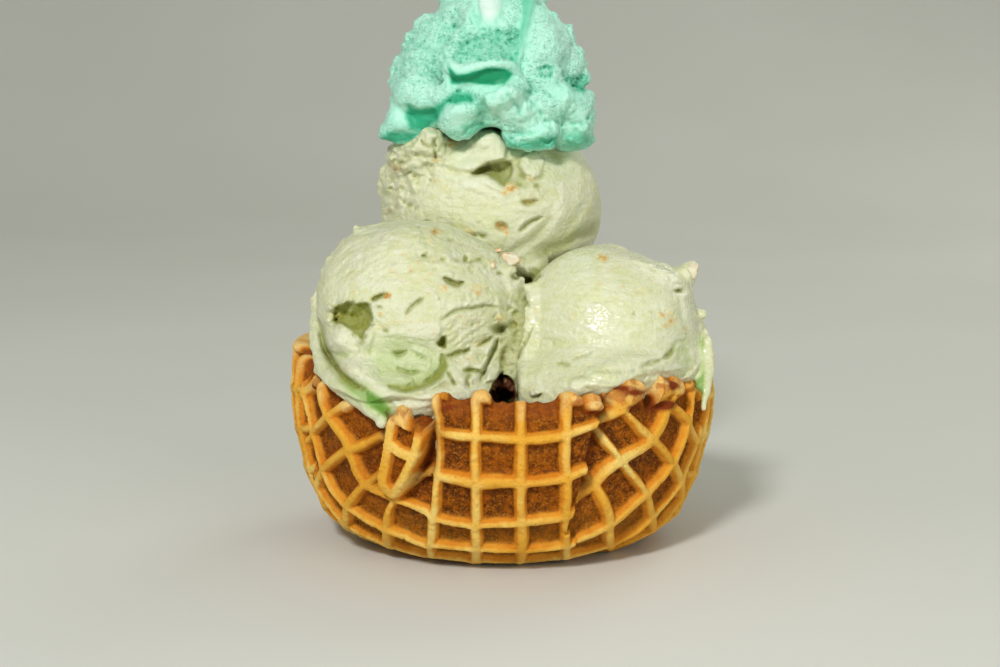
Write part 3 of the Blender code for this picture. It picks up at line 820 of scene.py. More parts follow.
class Volume:
    """A block of space with the distance to a surface at each grid point,
    negative inside. Millimetres."""

    def __init__(self, xs, ys, zs):
        self.xs, self.ys, self.zs = xs, ys, zs
        self.X = xs[:, None, None]
        self.Y = ys[None, :, None]
        self.Z = zs[None, None, :]
        self.F = np.full((len(xs), len(ys), len(zs)), 1e3, f32)

    def ball(self, c, h, turn=None):
        x, y, z = self.X - c[0], self.Y - c[1], self.Z - c[2]
        if turn is not None:
            r = turn
            x, y, z = (r[0][0] * x + r[0][1] * y + r[0][2] * z,
                       r[1][0] * x + r[1][1] * y + r[1][2] * z,
                       r[2][0] * x + r[2][1] * y + r[2][2] * z)
        k0 = np.sqrt((x / h[0]) ** 2 + (y / h[1]) ** 2 + (z / h[2]) ** 2)
        k1 = np.sqrt((x / h[0] ** 2) ** 2 + (y / h[1] ** 2) ** 2 + (z / h[2] ** 2) ** 2)
        return (k0 * (k0 - 1.0) / np.maximum(k1, 1e-4)).astype(f32)

    def window(self, centre, reach):
        s = []
        for ax, c in zip((self.xs, self.ys, self.zs), centre):
            lo = int(np.searchsorted(ax, c - reach))
            hi = int(np.searchsorted(ax, c + reach))
            s.append(slice(max(lo, 0), max(hi, 0)))
        return tuple(s)

    def local(self, s):
        return self.X[s[0]], self.Y[:, s[1]], self.Z[:, :, s[2]]

    def join(self, kind, centre, reach, field, k=0.6):
        """Add (kind 1) or take away (kind -1) a shape within a window."""
        s = self.window(centre, reach)
        x, y, z = self.local(s)
        if min(len(v.ravel()) for v in (x, y, z)) == 0:
            return
        f = field(x, y, z)
        F = self.F[s]
        self.F[s] = smin(F, f, k) if kind > 0 else smax(F, -f, k)

    def blob(self, centre, half, kind=1, k=0.8, turn=(0, 0, 0), rough=0.0):
        """An ellipsoid, turned by degrees round x, y, z."""
        R = turned(turn)
        h = np.array(half, float)
        lump = NOISE

        def field(x, y, z):
            dx, dy, dz = x - centre[0], y - centre[1], z - centre[2]
            a = R[0, 0] * dx + R[1, 0] * dy + R[2, 0] * dz
            b = R[0, 1] * dx + R[1, 1] * dy + R[2, 1] * dz
            c = R[0, 2] * dx + R[1, 2] * dy + R[2, 2] * dz
            k0 = np.sqrt((a / h[0]) ** 2 + (b / h[1]) ** 2 + (c / h[2]) ** 2)
            k1 = np.sqrt((a / h[0] ** 2) ** 2 + (b / h[1] ** 2) ** 2
                         + (c / h[2] ** 2) ** 2)
            f = k0 * (k0 - 1.0) / np.maximum(k1, 1e-4)
            if rough:
                f = f + rough * lump(x / 2.2 + 3, y / 2.2, z / 2.2)
            return f
        self.join(kind, centre, float(h.max()) + 3.0 + k, field, k)

    def rope(self, pts, radii, kind=1, k=0.8, flat=None, rough=0.0):
        """A bent round bar through points, with a radius at each. flat: a
        direction in which it is squashed, with the share that is left."""
        pts = np.asarray(pts, float)
        radii = np.broadcast_to(np.asarray(radii, float), (len(pts),))
        lo, hi = pts.min(0), pts.max(0)
        mid = (lo + hi) / 2
        reach = (hi - lo).max() / 2 + radii.max() + 3.0 + k
        lump = NOISE

        def field(x, y, z):
            best = None
            for i in range(len(pts) - 1):
                a, b = pts[i], pts[i + 1]
                d = b - a
                t = np.clip(((x - a[0]) * d[0] + (y - a[1]) * d[1]
                             + (z - a[2]) * d[2]) / (d @ d + 1e-9), 0, 1)
                ex, ey, ez = (x - a[0] - t * d[0], y - a[1] - t * d[1],
                              z - a[2] - t * d[2])
                r = radii[i] + t * (radii[i + 1] - radii[i])
                if flat is not None:
                    n, share = flat
                    along = ex * n[0] + ey * n[1] + ez * n[2]
                    grow = (1.0 / share - 1.0)
                    ex, ey, ez = (ex + grow * along * n[0], ey + grow * along * n[1],
                                  ez + grow * along * n[2])
                f = np.sqrt(ex * ex + ey * ey + ez * ez) - r
                best = f if best is None else np.minimum(best, f)
            if rough:
                best = best + rough * lump(x / 2.0 + 7, y / 2.0, z / 2.0)
            return best
        self.join(kind, mid, reach, field, k)

    def near(self, width):
        self.at = np.nonzero(np.abs(self.F) < width)
        return (self.xs[self.at[0]], self.ys[self.at[1]], self.zs[self.at[2]])

    def weave(self, size, seed, stretch=(1, 1, 1)):
        """Smooth noise over the whole block, about -1 to 1."""
        rng = np.random.default_rng(seed)
        mats, counts = [], []
        for ax, st in zip((self.xs, self.ys, self.zs), stretch):
            t = (ax - ax[0]) / (size * st) + rng.uniform(0, 1)
            i0 = np.floor(t).astype(int)
            f = t - i0
            n = i0.max() + 4
            M = np.zeros((len(ax), n), f32)
            w = [(1 - f) ** 3 / 6, (3 * f ** 3 - 6 * f ** 2 + 4) / 6,
                 (-3 * f ** 3 + 3 * f ** 2 + 3 * f + 1) / 6, f ** 3 / 6]
            for k in range(4):
                M[np.arange(len(ax)), i0 + k] += w[k]
            mats.append(M)
            counts.append(n)
        V = rng.uniform(-1, 1, counts).astype(f32)
        A = np.tensordot(mats[0], V, (1, 0))
        A = np.tensordot(A, mats[1], (1, 1))
        A = np.tensordot(A, mats[2], (1, 1))
        return A * 2.9


def turned(deg):
    ax, ay, az = np.radians(deg)
    cx, sx, cy, sy, cz, sz = (math.cos(ax), math.sin(ax), math.cos(ay),
                              math.sin(ay), math.cos(az), math.sin(az))
    rx = np.array([[1, 0, 0], [0, cx, -sx], [0, sx, cx]])
    ry = np.array([[cy, 0, sy], [0, 1, 0], [-sy, 0, cy]])
    rz = np.array([[cz, -sz, 0], [sz, cz, 0], [0, 0, 1]])
    return rz @ ry @ rx


NOISE = Perlin(3)
NOISE2 = Perlin(4)


def surface(vol):
    """The surface of a volume as points and quads, faces outward. Loose bits
    and closed bubbles are dropped."""
    F = vol.F
    S = F < 0.0
    S[0] = S[-1] = False
    S[:, 0] = S[:, -1] = False
    S[:, :, 0] = S[:, :, -1] = False
    F = np.where(S, np.minimum(F, -1e-4), np.maximum(F, 1e-4)).astype(f32)
    n = [d - 1 for d in F.shape]
    cnt = np.zeros(n, np.uint8)
    for dx in (0, 1):
        for dy in (0, 1):
            for dz in (0, 1):
                cnt += S[dx:dx + n[0], dy:dy + n[1], dz:dz + n[2]]
    act = np.nonzero((cnt > 0) & (cnt < 8))
    label = np.full(n, -1, np.int32)
    label[act] = np.arange(len(act[0]))
    i, j, k = act
    acc = np.zeros((len(i), 3))
    num = np.zeros(len(i))
    axes = (vol.xs.astype(float), vol.ys.astype(float), vol.zs.astype(float))
    for axis in range(3):
        others = [a for a in range(3) if a != axis]
        for u in (0, 1):
            for v in (0, 1):
                o = [0, 0, 0]
                o[others[0]], o[others[1]] = u, v
                p = (i + o[0], j + o[1], k + o[2])
                e = [0, 0, 0]
                e[axis] = 1
                q = (p[0] + e[0], p[1] + e[1], p[2] + e[2])
                fa, fb = F[p].astype(float), F[q].astype(float)
                m = (fa < 0) != (fb < 0)
                t = np.where(m, fa / np.where(m, fa - fb, 1.0), 0.0)
                for a in range(3):
                    ca = axes[a][p[a]]
                    cb = axes[a][q[a]]
                    acc[:, a] += np.where(m, ca + t * (cb - ca), 0.0)
                num += m
    verts = acc / num[:, None]
    quads = []
    for axis in range(3):
        A = [slice(None)] * 3
        B = [slice(None)] * 3
        A[axis] = slice(0, -1)
        B[axis] = slice(1, None)
        flip = S[tuple(A)] != S[tuple(B)]
        pos = np.nonzero(flip)
        lo = S[tuple(A)][pos]
        o1, o2 = [a for a in range(3) if a != axis]
        ok = (pos[o1] > 0) & (pos[o2] > 0)
        pos = [p[ok] for p in pos]
        lo = lo[ok]
        corner = []
        for u, v in ((0, 0), (1, 0), (1, 1), (0, 1)):
            p = list(pos)
            p[o1] = p[o1] - u
            p[o2] = p[o2] - v
            corner.append(label[tuple(p)])
        q = np.stack(corner, 1)
        turn = lo if axis != 1 else ~lo
        q = np.where(turn[:, None], q, q[:, ::-1])
        quads.append(q)
    quads = np.concatenate(quads)
    # the one large piece
    comp = np.arange(len(verts))
    e = np.concatenate([quads[:, [0, 1]], quads[:, [1, 2]], quads[:, [2, 3]]])
    for _ in range(200):
        m = np.minimum(comp[e[:, 0]], comp[e[:, 1]])
        new = comp.copy()
        np.minimum.at(new, e[:, 0], m)
        np.minimum.at(new, e[:, 1], m)
        new = new[new]
        if (new == comp).all():
            break
        comp = new
    ids, size = np.unique(comp, return_counts=True)
    keep = comp == ids[size.argmax()]
    renum = np.cumsum(keep) - 1
    quads = renum[quads[keep[quads[:, 0]]]]
    return verts[keep], quads


class Relief:
    """Relief laid out flat as it is seen from the camera: heights in
    millimetres on a grid of places in the view. Places are given in units of
    a local grid with its corner at (x0, y0) and `per` units to a view pixel."""

    def __init__(self, x0, y0, per, width, height, seed, step=3.2, warp=7.0):
        self.x0, self.y0, self.per, self.step = x0, y0, per, step
        self.nx, self.ny = int(width / step) + 1, int(height / step) + 1
        gx, gy = np.meshgrid(np.arange(self.nx) * step, np.arange(self.ny) * step)
        self.gx, self.gy = gx.astype(f32), gy.astype(f32)
        self.noise = Perlin(seed)
        n = self.noise
        self.X = self.gx + warp * (n(gx / 70, gy / 70, 1.5) + 0.6 * n(gx / 26, gy / 26, 4.5)
                                   + 0.35 * n(gx / 11, gy / 11, 2.5))
        self.Y = self.gy + warp * (n(gx / 70, gy / 70, 7.5) + 0.6 * n(gx / 26, gy / 26, 9.5)
                                   + 0.35 * n(gx / 11, gy / 11, 6.5))
        self.h = np.zeros(gx.shape, f32)
        # colour layers: olive paints shade into grooves, pits and creases; pale paints a paler tone
        # and light onto raised or shaded parts; green a greener tint, dark green as painted shade in
        # creases (the topping keeps its smooth mask in it); caramel marks stains
        self.painted_shade = np.zeros(gx.shape, f32)
        self.caramel = np.zeros(gx.shape, f32)
        self.pale_and_painted_light = np.zeros(gx.shape, f32)
        self.green = np.zeros(gx.shape, f32)

    def _box(self, pts, reach):
        p = np.asarray(pts, float).reshape(-1, 2)
        x0 = max(int((p[:, 0].min() - reach) / self.step), 0)
        x1 = min(int((p[:, 0].max() + reach) / self.step) + 2, self.nx)
        y0 = max(int((p[:, 1].min() - reach) / self.step), 0)
        y1 = min(int((p[:, 1].max() + reach) / self.step) + 2, self.ny)
        return slice(y0, y1), slice(x0, x1)

    def stroke(self, pts, w, h, taper=0.25, painted_shade=0.0, green=0.0, pale_and_painted_light=0.0,
               caramel=0.0, hard=1.0):
        """A groove (h below 0) or ridge along a line, w its half width."""
        b = self._box(pts, 3.0 * w + 10)
        d, t, _ = seg_distance(self.X[b], self.Y[b], pts)
        end = np.clip(np.minimum(t, 1 - t) / max(taper, 1e-3), 0, 1) ** 0.5 if taper else 1.0
        ww = w * (0.35 + 0.65 * end)
        g = np.exp(-((d / ww) ** 2) ** hard) * (0.25 + 0.75 * end)
        self.h[b] += h * g
        for name, v in (("painted_shade", painted_shade), ("green", green), ("pale_and_painted_light", pale_and_painted_light),
                        ("caramel", caramel)):
            if v:
                a = getattr(self, name)
                a[b] = np.maximum(a[b], v * np.exp(-(d / (ww * 1.25)) ** 2))

    def step_line(self, pts, h, back, edge=5.0, taper=0.2, painted_shade=0.0):
        """A broken edge: raised on the left of the line as it runs (in the
        view, with y down), fading over `back` units, dropping sharply."""
        b = self._box(pts, 2.2 * back + 12)
        d, t, side = seg_distance(self.X[b], self.Y[b], pts)
        s = np.where(side < 0, d, -d)
        end = np.clip(np.minimum(t, 1 - t) / max(taper, 1e-3), 0, 1) ** 0.7
        up = sstep(s, -edge, edge) * np.exp(-(np.maximum(s, 0) / back) ** 2)
        self.h[b] += h * up * end
        # painted shade along the foot of the step
        if painted_shade:
            low = np.exp(-((s + edge * 1.2) / (edge * 1.8)) ** 2) * end
            self.painted_shade[b] = np.maximum(self.painted_shade[b], painted_shade * low)

    def dab(self, x, y, rx, ry=None, h=0.0, turn=0.0, painted_shade=0.0, green=0.0,
            pale_and_painted_light=0.0, caramel=0.0, flat=1.0):
        """A round dent or bump; flat above 1 gives it steep sides."""
        ry = rx if ry is None else ry
        b = self._box([(x, y)], 2.4 * max(rx, ry) + 10)
        c, s = math.cos(math.radians(turn)), math.sin(math.radians(turn))
        dx, dy = self.X[b] - x, self.Y[b] - y
        u, v = (c * dx + s * dy) / rx, (-s * dx + c * dy) / ry
        g = np.exp(-(u * u + v * v) ** flat)
        self.h[b] += h * g
        for name, val in (("painted_shade", painted_shade), ("green", green), ("pale_and_painted_light", pale_and_painted_light),
                          ("caramel", caramel)):
            if val:
                a = getattr(self, name)
                a[b] = np.maximum(a[b], val * g)

    def patch(self, pts, h=0.0, edge=10.0, painted_shade=0.0, green=0.0, pale_and_painted_light=0.0,
              caramel=0.0, bowl=0.0, soft=None):
        """A region with its own level; bowl deepens it towards its middle."""
        b = self._box(pts, edge * 2 + 14)
        sd = signed_polygon(self.X[b], self.Y[b], pts)
        g = 1 - sstep(sd, -edge, edge * 0.3)
        deep = np.clip(-sd, 0, None)
        span = max(deep.max(), 1e-3)
        self.h[b] += h * g + bowl * g * sstep(deep / span, 0.0, 0.9)
        gs = g if soft is None else 1 - sstep(sd, -soft, soft)
        for name, val in (("painted_shade", painted_shade), ("green", green), ("pale_and_painted_light", pale_and_painted_light),
                          ("caramel", caramel)):
            if val:
                a = getattr(self, name)
                a[b] = np.maximum(a[b], val * gs)
        return b, g

    def mask(self, pts, soft=30.0):
        """A soft-edged region as an array over the whole grid."""
        out = np.zeros(self.h.shape, f32)
        b = self._box(pts, soft * 1.5 + 10)
        sd = signed_polygon(self.X[b], self.Y[b], pts)
        out[b] = 1 - sstep(sd, -soft, soft)
        return out

    def streaks(self, angle, size, ratio, seed=0.0):
        """Drawn-out noise along a direction (degrees, y down)."""
        c, s = math.cos(math.radians(angle)), math.sin(math.radians(angle))
        u = (c * self.gx + s * self.gy) / (size * ratio)
        v = (-s * self.gx + c * self.gy) / size
        return (self.noise(u, v, 3.3 + seed) + 0.5 * self.noise(2 * u + 5, 2 * v, 8.3 + seed))

    def grain(self, size, seed=0.0, octaves=3):
        out, a, t = 0.0, 1.0, 0.0
        for k in range(octaves):
            out = out + a * self.noise(self.gx / size, self.gy / size, 1.1 + 3.7 * k + seed)
            t += a
            a *= 0.55
            size *= 0.5
        return out / t

    def sample(self, name, px, py):
        a = getattr(self, name)
        u = (px - self.x0) * self.per / self.step
        v = (py - self.y0) * self.per / self.step
        ok = (u >= 0) & (v >= 0) & (u < self.nx - 1.001) & (v < self.ny - 1.001)
        u = np.clip(u, 0, self.nx - 1.002)
        v = np.clip(v, 0, self.ny - 1.002)
        i, j = u.astype(int), v.astype(int)
        fu, fv = u - i, v - j
        val = ((a[j, i] * (1 - fu) + a[j, i + 1] * fu) * (1 - fv)
               + (a[j + 1, i] * (1 - fu) + a[j + 1, i + 1] * fu) * fv)
        return np.where(ok, val, 0.0)


def scatter(rel, pts, count, size, height, seed, painted_shade=0.0, pale_and_painted_light=0.0, caramel=0.0,
            flat=1.3):
    """Crumbs (or dints, where the height is negative) strewn over an area."""
    rnd = np.random.RandomState(seed)
    a = np.array(pts, float)
    x = rnd.uniform(a[:, 0].min(), a[:, 0].max(), 40 * count)
    y = rnd.uniform(a[:, 1].min(), a[:, 1].max(), 40 * count)
    ok = np.nonzero(inside_polygon(x, y, pts))[0][:count]
    for k in ok:
        t = rnd.rand() ** 2
        r = size[0] + (size[1] - size[0]) * t
        h = height[0] + (height[1] - height[0]) * (0.5 * t + 0.5 * rnd.rand())
        # olive gives painted shade in dints, pale painted light on crumbs
        rel.dab(float(x[k]), float(y[k]), r * rnd.uniform(0.9, 1.6), r, h=h,
                turn=rnd.uniform(-90, 90), painted_shade=painted_shade, pale_and_painted_light=pale_and_painted_light, caramel=caramel, flat=flat)


def pricked(rel, pts, count, long, wide, depth, angle, spread, seed, painted_shade=0.0):
    """Fine pores over an area, drawn out along one direction."""
    rnd = np.random.RandomState(seed)
    a = np.array(pts, float)
    x = rnd.uniform(a[:, 0].min(), a[:, 0].max(), 40 * count)
    y = rnd.uniform(a[:, 1].min(), a[:, 1].max(), 40 * count)
    ok = np.nonzero(inside_polygon(x, y, pts))[0][:count]
    low = np.zeros_like(rel.h)
    for k in ok:
        t = rnd.rand() ** 2
        lu = long[0] + (long[1] - long[0]) * t
        lv = wide[0] + (wide[1] - wide[0]) * rnd.rand()
        d = depth[0] + (depth[1] - depth[0]) * t
        b = rel._box([(x[k], y[k])], 2.2 * lu + 8)
        turn = math.radians(angle + rnd.uniform(-spread, spread))
        c, sn = math.cos(turn), math.sin(turn)
        dx, dy = rel.gx[b] - x[k], rel.gy[b] - y[k]
        g = np.exp(-(((c * dx + sn * dy) / lu) ** 2 + ((-sn * dx + c * dy) / lv) ** 2) ** 1.5)
        low[b] = np.maximum(low[b], d * g)
    rel.h -= low
    # painted shade in the pores
    if painted_shade:
        rel.painted_shade = np.maximum(rel.painted_shade, painted_shade * np.clip(low / depth[1] * 1.4, 0, 1))


def frayed(rel, pts, size, height, seed, every=18.0, painted_shade=0.0, pale_and_painted_light=0.0):
    """Small lumps and nicks along a line, so that it isn't clean."""
    rnd = np.random.RandomState(seed)
    a = np.array(pts, float)
    for i in range(len(a) - 1):
        n = max(1, int(np.hypot(*(a[i + 1] - a[i])) / every))
        for t in np.linspace(0, 1, n, endpoint=False):
            q = a[i] + t * (a[i + 1] - a[i]) + rnd.uniform(-1, 1, 2) * size * 0.7
            r = size * rnd.uniform(0.6, 1.1)
            h = height * rnd.uniform(-1.0, 1.2)
            # painted shade in the nicks, painted light on the lumps
            rel.dab(q[0], q[1], r * 1.2, r, h=h, turn=rnd.uniform(-90, 90),
                    painted_shade=painted_shade if h < 0 else 0.0, pale_and_painted_light=pale_and_painted_light if h > 0 else 0.0)


def drop_specks(mesh, least=400):
    """Takes away bits that only touch the piece at an edge or a point."""
    bm = bmesh.new()
    bm.from_mesh(mesh)
    bm.faces.index_update()
    seen = bytearray(len(bm.faces))
    drop = []
    for start in bm.faces:
        if seen[start.index]:
            continue
        seen[start.index] = 1
        part, stack = [start], [start]
        while stack:
            for e in stack.pop().edges:
                near = e.link_faces
                if len(near) != 2:
                    continue
                for g in near:
                    if not seen[g.index]:
                        seen[g.index] = 1
                        part.append(g)
                        stack.append(g)
        if len(part) < least:
            drop += part
    if drop:
        bmesh.ops.delete(bm, geom=drop, context="FACES")
        bm.to_mesh(mesh)
    bm.free()


def thin_out(obj, hidden, share):
    """Fewer faces where nothing is seen: down in the bowl and between pieces."""
    group = obj.vertex_groups.new(name="hidden")
    group.add([int(k) for k in np.nonzero(hidden)[0]], 1.0, "REPLACE")
    mod = obj.modifiers.new("thin", "DECIMATE")
    mod.ratio = 1.0 - share * float(np.mean(hidden))
    mod.vertex_group = "hidden"
    mesh = bpy.data.meshes.new_from_object(
        obj.evaluated_get(bpy.context.evaluated_depsgraph_get()))
    old = obj.data
    obj.modifiers.clear()
    obj.vertex_groups.clear()
    obj.data = mesh
    bpy.data.meshes.remove(old)
    mesh.name = obj.name
    drop_specks(mesh)
    mesh.calc_loop_triangles()
    print(obj.name, len(mesh.loop_triangles), "triangles kept")
    return obj


def facing(x, y, z, centre, half):
    """How far a ball's surface is turned to the view, 1 straight on."""
    nx, ny, nz = ((x - centre[0]) / half[0] ** 2, (y - centre[1]) / half[1] ** 2,
                  (z - centre[2]) / half[2] ** 2)
    vx, vy, vz = EYE[0] - x, EYE[1] - y, EYE[2] - z
    d = nx * vx + ny * vy + nz * vz
    return d / (np.sqrt(nx * nx + ny * ny + nz * nz)
                * np.sqrt(vx * vx + vy * vy + vz * vz) + 1e-9)


# ==================================================================== scoops
LEFT_C, LEFT_R = (-23.4, -16.5, 64.5), (29.2, 28.0, 27.6)
RIGHT_C, RIGHT_R = (29.2, -13.0, 58.3), (25.8, 26.0, 26.2)
TOP_C, TOP_R = (-3.4, 20.0, 91.0), (32.0, 30.5, 27.6)
H = 0.43


def divide(centre_a, half_a, centre_b, half_b):
    a, b = np.array(centre_a), np.array(centre_b)
    n = (b - a) / np.linalg.norm(b - a)
    ra = 1.0 / np.linalg.norm(n / np.array(half_a))
    rb = 1.0 / np.linalg.norm(n / np.array(half_b))
    dist = np.linalg.norm(b - a)
    d = (dist * dist + ra * ra - rb * rb) / (2.0 * dist)
    return n, float(n @ a + d)


N_LR, O_LR = divide(LEFT_C, LEFT_R, RIGHT_C, RIGHT_R)
N_LT, O_LT = divide(LEFT_C, LEFT_R, TOP_C, TOP_R)
N_RT, O_RT = divide(RIGHT_C, RIGHT_R, TOP_C, TOP_R)


def room(vol, rise=7.0):
    """Outside of what the bowl leaves free, as a distance over the block."""
    wall = ARC > 30.0
    depth = WALL + 1.0
    inner_z = LINE[wall, 1] + depth * sstep(-LINE[wall, 1], -16.0, 0.0)
    inner_r = LINE[wall, 0] - depth * sstep(LINE[wall, 1], -3.0, 9.0)
    r = np.interp(vol.zs, inner_z, inner_r)
    r = (r + 0.6 * sstep(vol.zs, 30.0, 42.0)).astype(f32)
    alpha = np.degrees(np.arctan2(vol.X, -vol.Y))[:, :, 0]
    rim = around(RIM, alpha)[:, :, None].astype(f32)
    reach = r[None, None, :] + 16.0 * sstep(vol.Z, rim - 0.6, rim + rise)
    d = np.hypot(vol.X, vol.Y) - reach
    return np.maximum(d, 6.5 - vol.Z)


def on_wall(px, py, radius):
    """The near point of a sight line at a distance from the bowl's axis."""
    y = -radius
    for _ in range(40):
        x = unproject(px, py, y)[0]
        y = -math.sqrt(max(radius ** 2 - x ** 2, 0.0))
    return unproject(px, py, y)


def plane(vol, n, o):
    return vol.X * n[0] + vol.Y * n[1] + vol.Z * n[2] - o


def apply_relief(vol, rel, centre, half, width=7.0, lo=0.02, hi=0.32, extra=None):
    x, y, z = vol.near(width)
    px, py = project(x, y, z)
    w = sstep(facing(x, y, z, centre, half), lo, hi)
    h = rel.sample("h", px, py) * w
    if extra is not None:
        h = h + extra(x, y, z, w, px, py)
    vol.F[vol.at] -= h.astype(f32)


def skin(name, vol, rel, centre, half, fine, lo=0.02, hi=0.32, hidden=None):
    """The finished mesh, with its colour guides, painted shade and light among them."""
    v, q = surface(vol)
    v = neighbour_mean(v, q, 1, 0.35)
    n = vertex_normals(v, q)
    v = v + n * fine(v, n)[:, None]
    small = hollow_amount(v, q, 3)
    large = hollow_amount(v, q, 22)
    px, py = project(v[:, 0], v[:, 1], v[:, 2])
    n = vertex_normals(v, q)
    view = np.array(EYE) - v
    view /= np.linalg.norm(view, axis=1)[:, None]
    w = sstep(facing(v[:, 0], v[:, 1], v[:, 2], centre, half), lo, hi)
    att = {"hollow": np.clip(small / 0.35, -1, 1), "deep": np.clip(large / 1.6, -1, 1)}
    for key in ("painted_shade", "caramel", "pale_and_painted_light", "green"):
        att[key] = neighbour_mean(rel.sample(key, px, py) * w, q, 1)
    # painted shade: dark brown round the gap between the front scoops, above the bowl
    gap = (((v - np.array(GAP_C)) / np.array(GAP_R)) ** 2).sum(1)
    att["painted_shade"] = np.maximum(att["painted_shade"], 2.2 * (1 - sstep(gap, 1.05, 1.3)))
    print(name, len(v), "points", 2 * len(q), "triangles")
    obj = new_mesh(name, v, q, att)
    if hidden is not None:
        thin_out(obj, hidden(v), 0.86)
    return obj


GAP_C, GAP_R = unproject(503.0, 400.0, -42.0), (3.7, 22.0, 5.4)


def unseen_front(v):
    """Points of a front scoop that the bowl or another scoop covers."""
    low = v[:, 2] < 36.0
    lr = np.abs(np.abs(v @ N_LR - O_LR) - 0.7) < 0.35
    lt = np.abs(v @ N_LT - O_LT - 0.6) < 0.35
    rt = np.abs(v @ N_RT - O_RT - 0.6) < 0.35
    behind = v[:, 1] > 7.6
    return (low | (lr & (v[:, 1] > -16)) | (lt & (v[:, 2] < 78) & (v[:, 1] > -4))
            | (rt & (v[:, 2] < 70) & (v[:, 1] > -2)) | behind)


def build_left():
    vol = Volume(spaced([(-57, 8, H)]), spaced([(-56, -6, H), (-6, 11, 0.62)]),
                 spaced([(5, 38, 1.3), (38, 97, H)]))
    ball = vol.ball(LEFT_C, LEFT_R)
    mound = vol.ball((-22.5, -15.0, 40.0), (29.5, 36.0, 32.0))
    # the ball is fuller to its upper left, drawn in at its lower left
    cx, cy, cz = (vol.X - LEFT_C[0]) / 29, (vol.Y - LEFT_C[1]) / 28, (vol.Z - LEFT_C[2]) / 27.6
    for (dx, dy, dz), amount, tight in (((-0.80, -0.05, 0.58), 1.3, 3.0),
                                        ((-1.0, 0.0, -0.10), -2.7, 5.0),
                                        ((-0.35, 0.0, 0.95), -0.9, 4.0),
                                        ((0.1, 0.2, 1.0), -1.0, 4.0)):
        ball = ball - amount * np.exp(-tight * ((cx - dx) ** 2 + (cy - dy) ** 2 + (cz - dz) ** 2))
    fill = vol.ball((-25.0, -19.0, 45.5), (29.0, 37.0, 14.0))
    vol.F = smin(smin(ball, mound, 1.5), fill, 3.5).astype(f32)
    vol.rope([(1.0, -24.0, 77.0), (2.0, -25.5, 70.0), (2.6, -26.0, 62.0), (2.0, -27.0, 54.0)],
             (2.5, 3.8, 4.0, 4.0), 1, 2.5, rough=0.5)
    vol.F += (-0.9 * vol.weave(13.0, 1) - 0.35 * vol.weave(6.0, 2)).astype(f32)
    vol.F = smax(vol.F, room(vol).astype(f32), 1.2)
    # it leans on the other scoops
    vol.F = smax(vol.F, (plane(vol, N_LR, O_LR) - 0.7).astype(f32), 0.9)
    vol.F = smax(vol.F, (plane(vol, N_LT, O_LT) - 0.6).astype(f32), 1.0)
    vol.F = smax(vol.F, (vol.Y - 8.0) + 0 * vol.F, 1.0)
    # it lies on the low stretch of the rim
    vol.rope([on_wall(386, 402, 53.5), on_wall(398, 405, 54.3), on_wall(412, 405.5, 54.3),
              on_wall(425, 402, 53.8), on_wall(436, 395, 52.5)], (3.6, 3.9, 3.9, 3.7, 3.0),
             1, 2.2, rough=0.3)

    # the skirt that has slid over the rim, its flange at the side
    for pts, rad in ((((316.0, 300.0, 51.5), (316.6, 318.0, 54.0), (318.6, 345.0, 55.4),
                       (325.0, 365.0, 56.6), (338.0, 381.5, 57.6),
                       (357.5, 396.5, 59.0), (372.5, 409.0, 60.8), (380.5, 418.0, 62.2)),
                      (1.6, 2.2, 2.5, 2.7, 2.7, 2.6, 2.3, 1.5)),):
        p = [on_wall(*t) for t in pts]
        p[0] = unproject(316.5, 300.0, -14.0)
        p[1] = unproject(316.8, 318.0, -18.5)
        vol.rope(p, rad, 1, 2.0, rough=0.25)
    vol.blob(on_wall(381.5, 421.5, 62.6), (1.75, 1.6, 1.9), 1, 0.7)
    vol.blob(on_wall(384.5, 406.5, 57.4), (3.2, 2.8, 3.2), 1, 2.5)
    vol.rope([unproject(317, 288, -14), unproject(314.5, 299, -14), unproject(315, 314, -15)],
             (1.0, 1.9, 1.4), 1, 1.0)
    # torn ice cream closes the seam between the front scoops
    vol.rope([unproject(519, 282, -19.5), unproject(518, 298, -22.5), unproject(517, 314, -24.5),
              unproject(516, 332, -26.0), unproject(514.5, 350, -28.5),
              unproject(512.5, 366, -30.0), unproject(508.5, 379, -31.0)],
             (1.7, 2.4, 2.6, 2.7, 2.6, 2.4, 1.6), 1, 1.6, rough=0.8)
    # the gap between the front scoops, above the bowl
    vol.blob(GAP_C, GAP_R, -1, 1.0, rough=0.5)
    for px, py, y, r in ((496, 381, -31, 1.1), (500, 384.5, -31, 0.9), (504.5, 382, -31, 1.2),
                         (508.5, 385, -31, 1.0), (512, 389, -31, 0.8), (493.5, 387, -32, 0.9)):
        vol.blob(unproject(px, py, y), (r, r * 1.2, r), 1, 0.6, rough=0.4)

    R = Relief(305, 205, 6.817, 1568, 1540, 21)
    # drag marks of the scoop, round its middle
    cxx, cyy = 640.0, 760.0
    rad = np.hypot(R.gx - cxx, (R.gy - cyy) * 1.05)
    ang = np.arctan2(R.gy - cyy, R.gx - cxx)
    drag = R.noise(rad / 26.0, ang * 2.2, 1.0) + 0.6 * R.noise(rad / 12.0, ang * 4.0, 5.0)
    upper_left = R.mask([(60, 820), (90, 400), (300, 150), (700, 80), (900, 300),
                         (700, 600), (300, 640)], 90)
    R.h += 0.20 * drag * (0.25 + 0.75 * upper_left)
    scatter(R, [(90, 500), (150, 330), (380, 170), (700, 110), (900, 300), (900, 760),
                (560, 860), (500, 620), (300, 600)], 130, (12, 20), (-0.35, 0.35), 12)
    scatter(R, [(760, 130), (1100, 130), (1460, 330), (1480, 700), (1300, 900),
                (950, 760), (850, 480), (700, 300)], 150, (12, 22), (-0.7, 0.6), 13,
            painted_shade=0.06)
    scatter(R, [(500, 850), (960, 880), (1280, 900), (1180, 1240), (600, 1380), (200, 1100)],
            90, (12, 22), (-0.35, 0.4), 14, pale_and_painted_light=0.1)
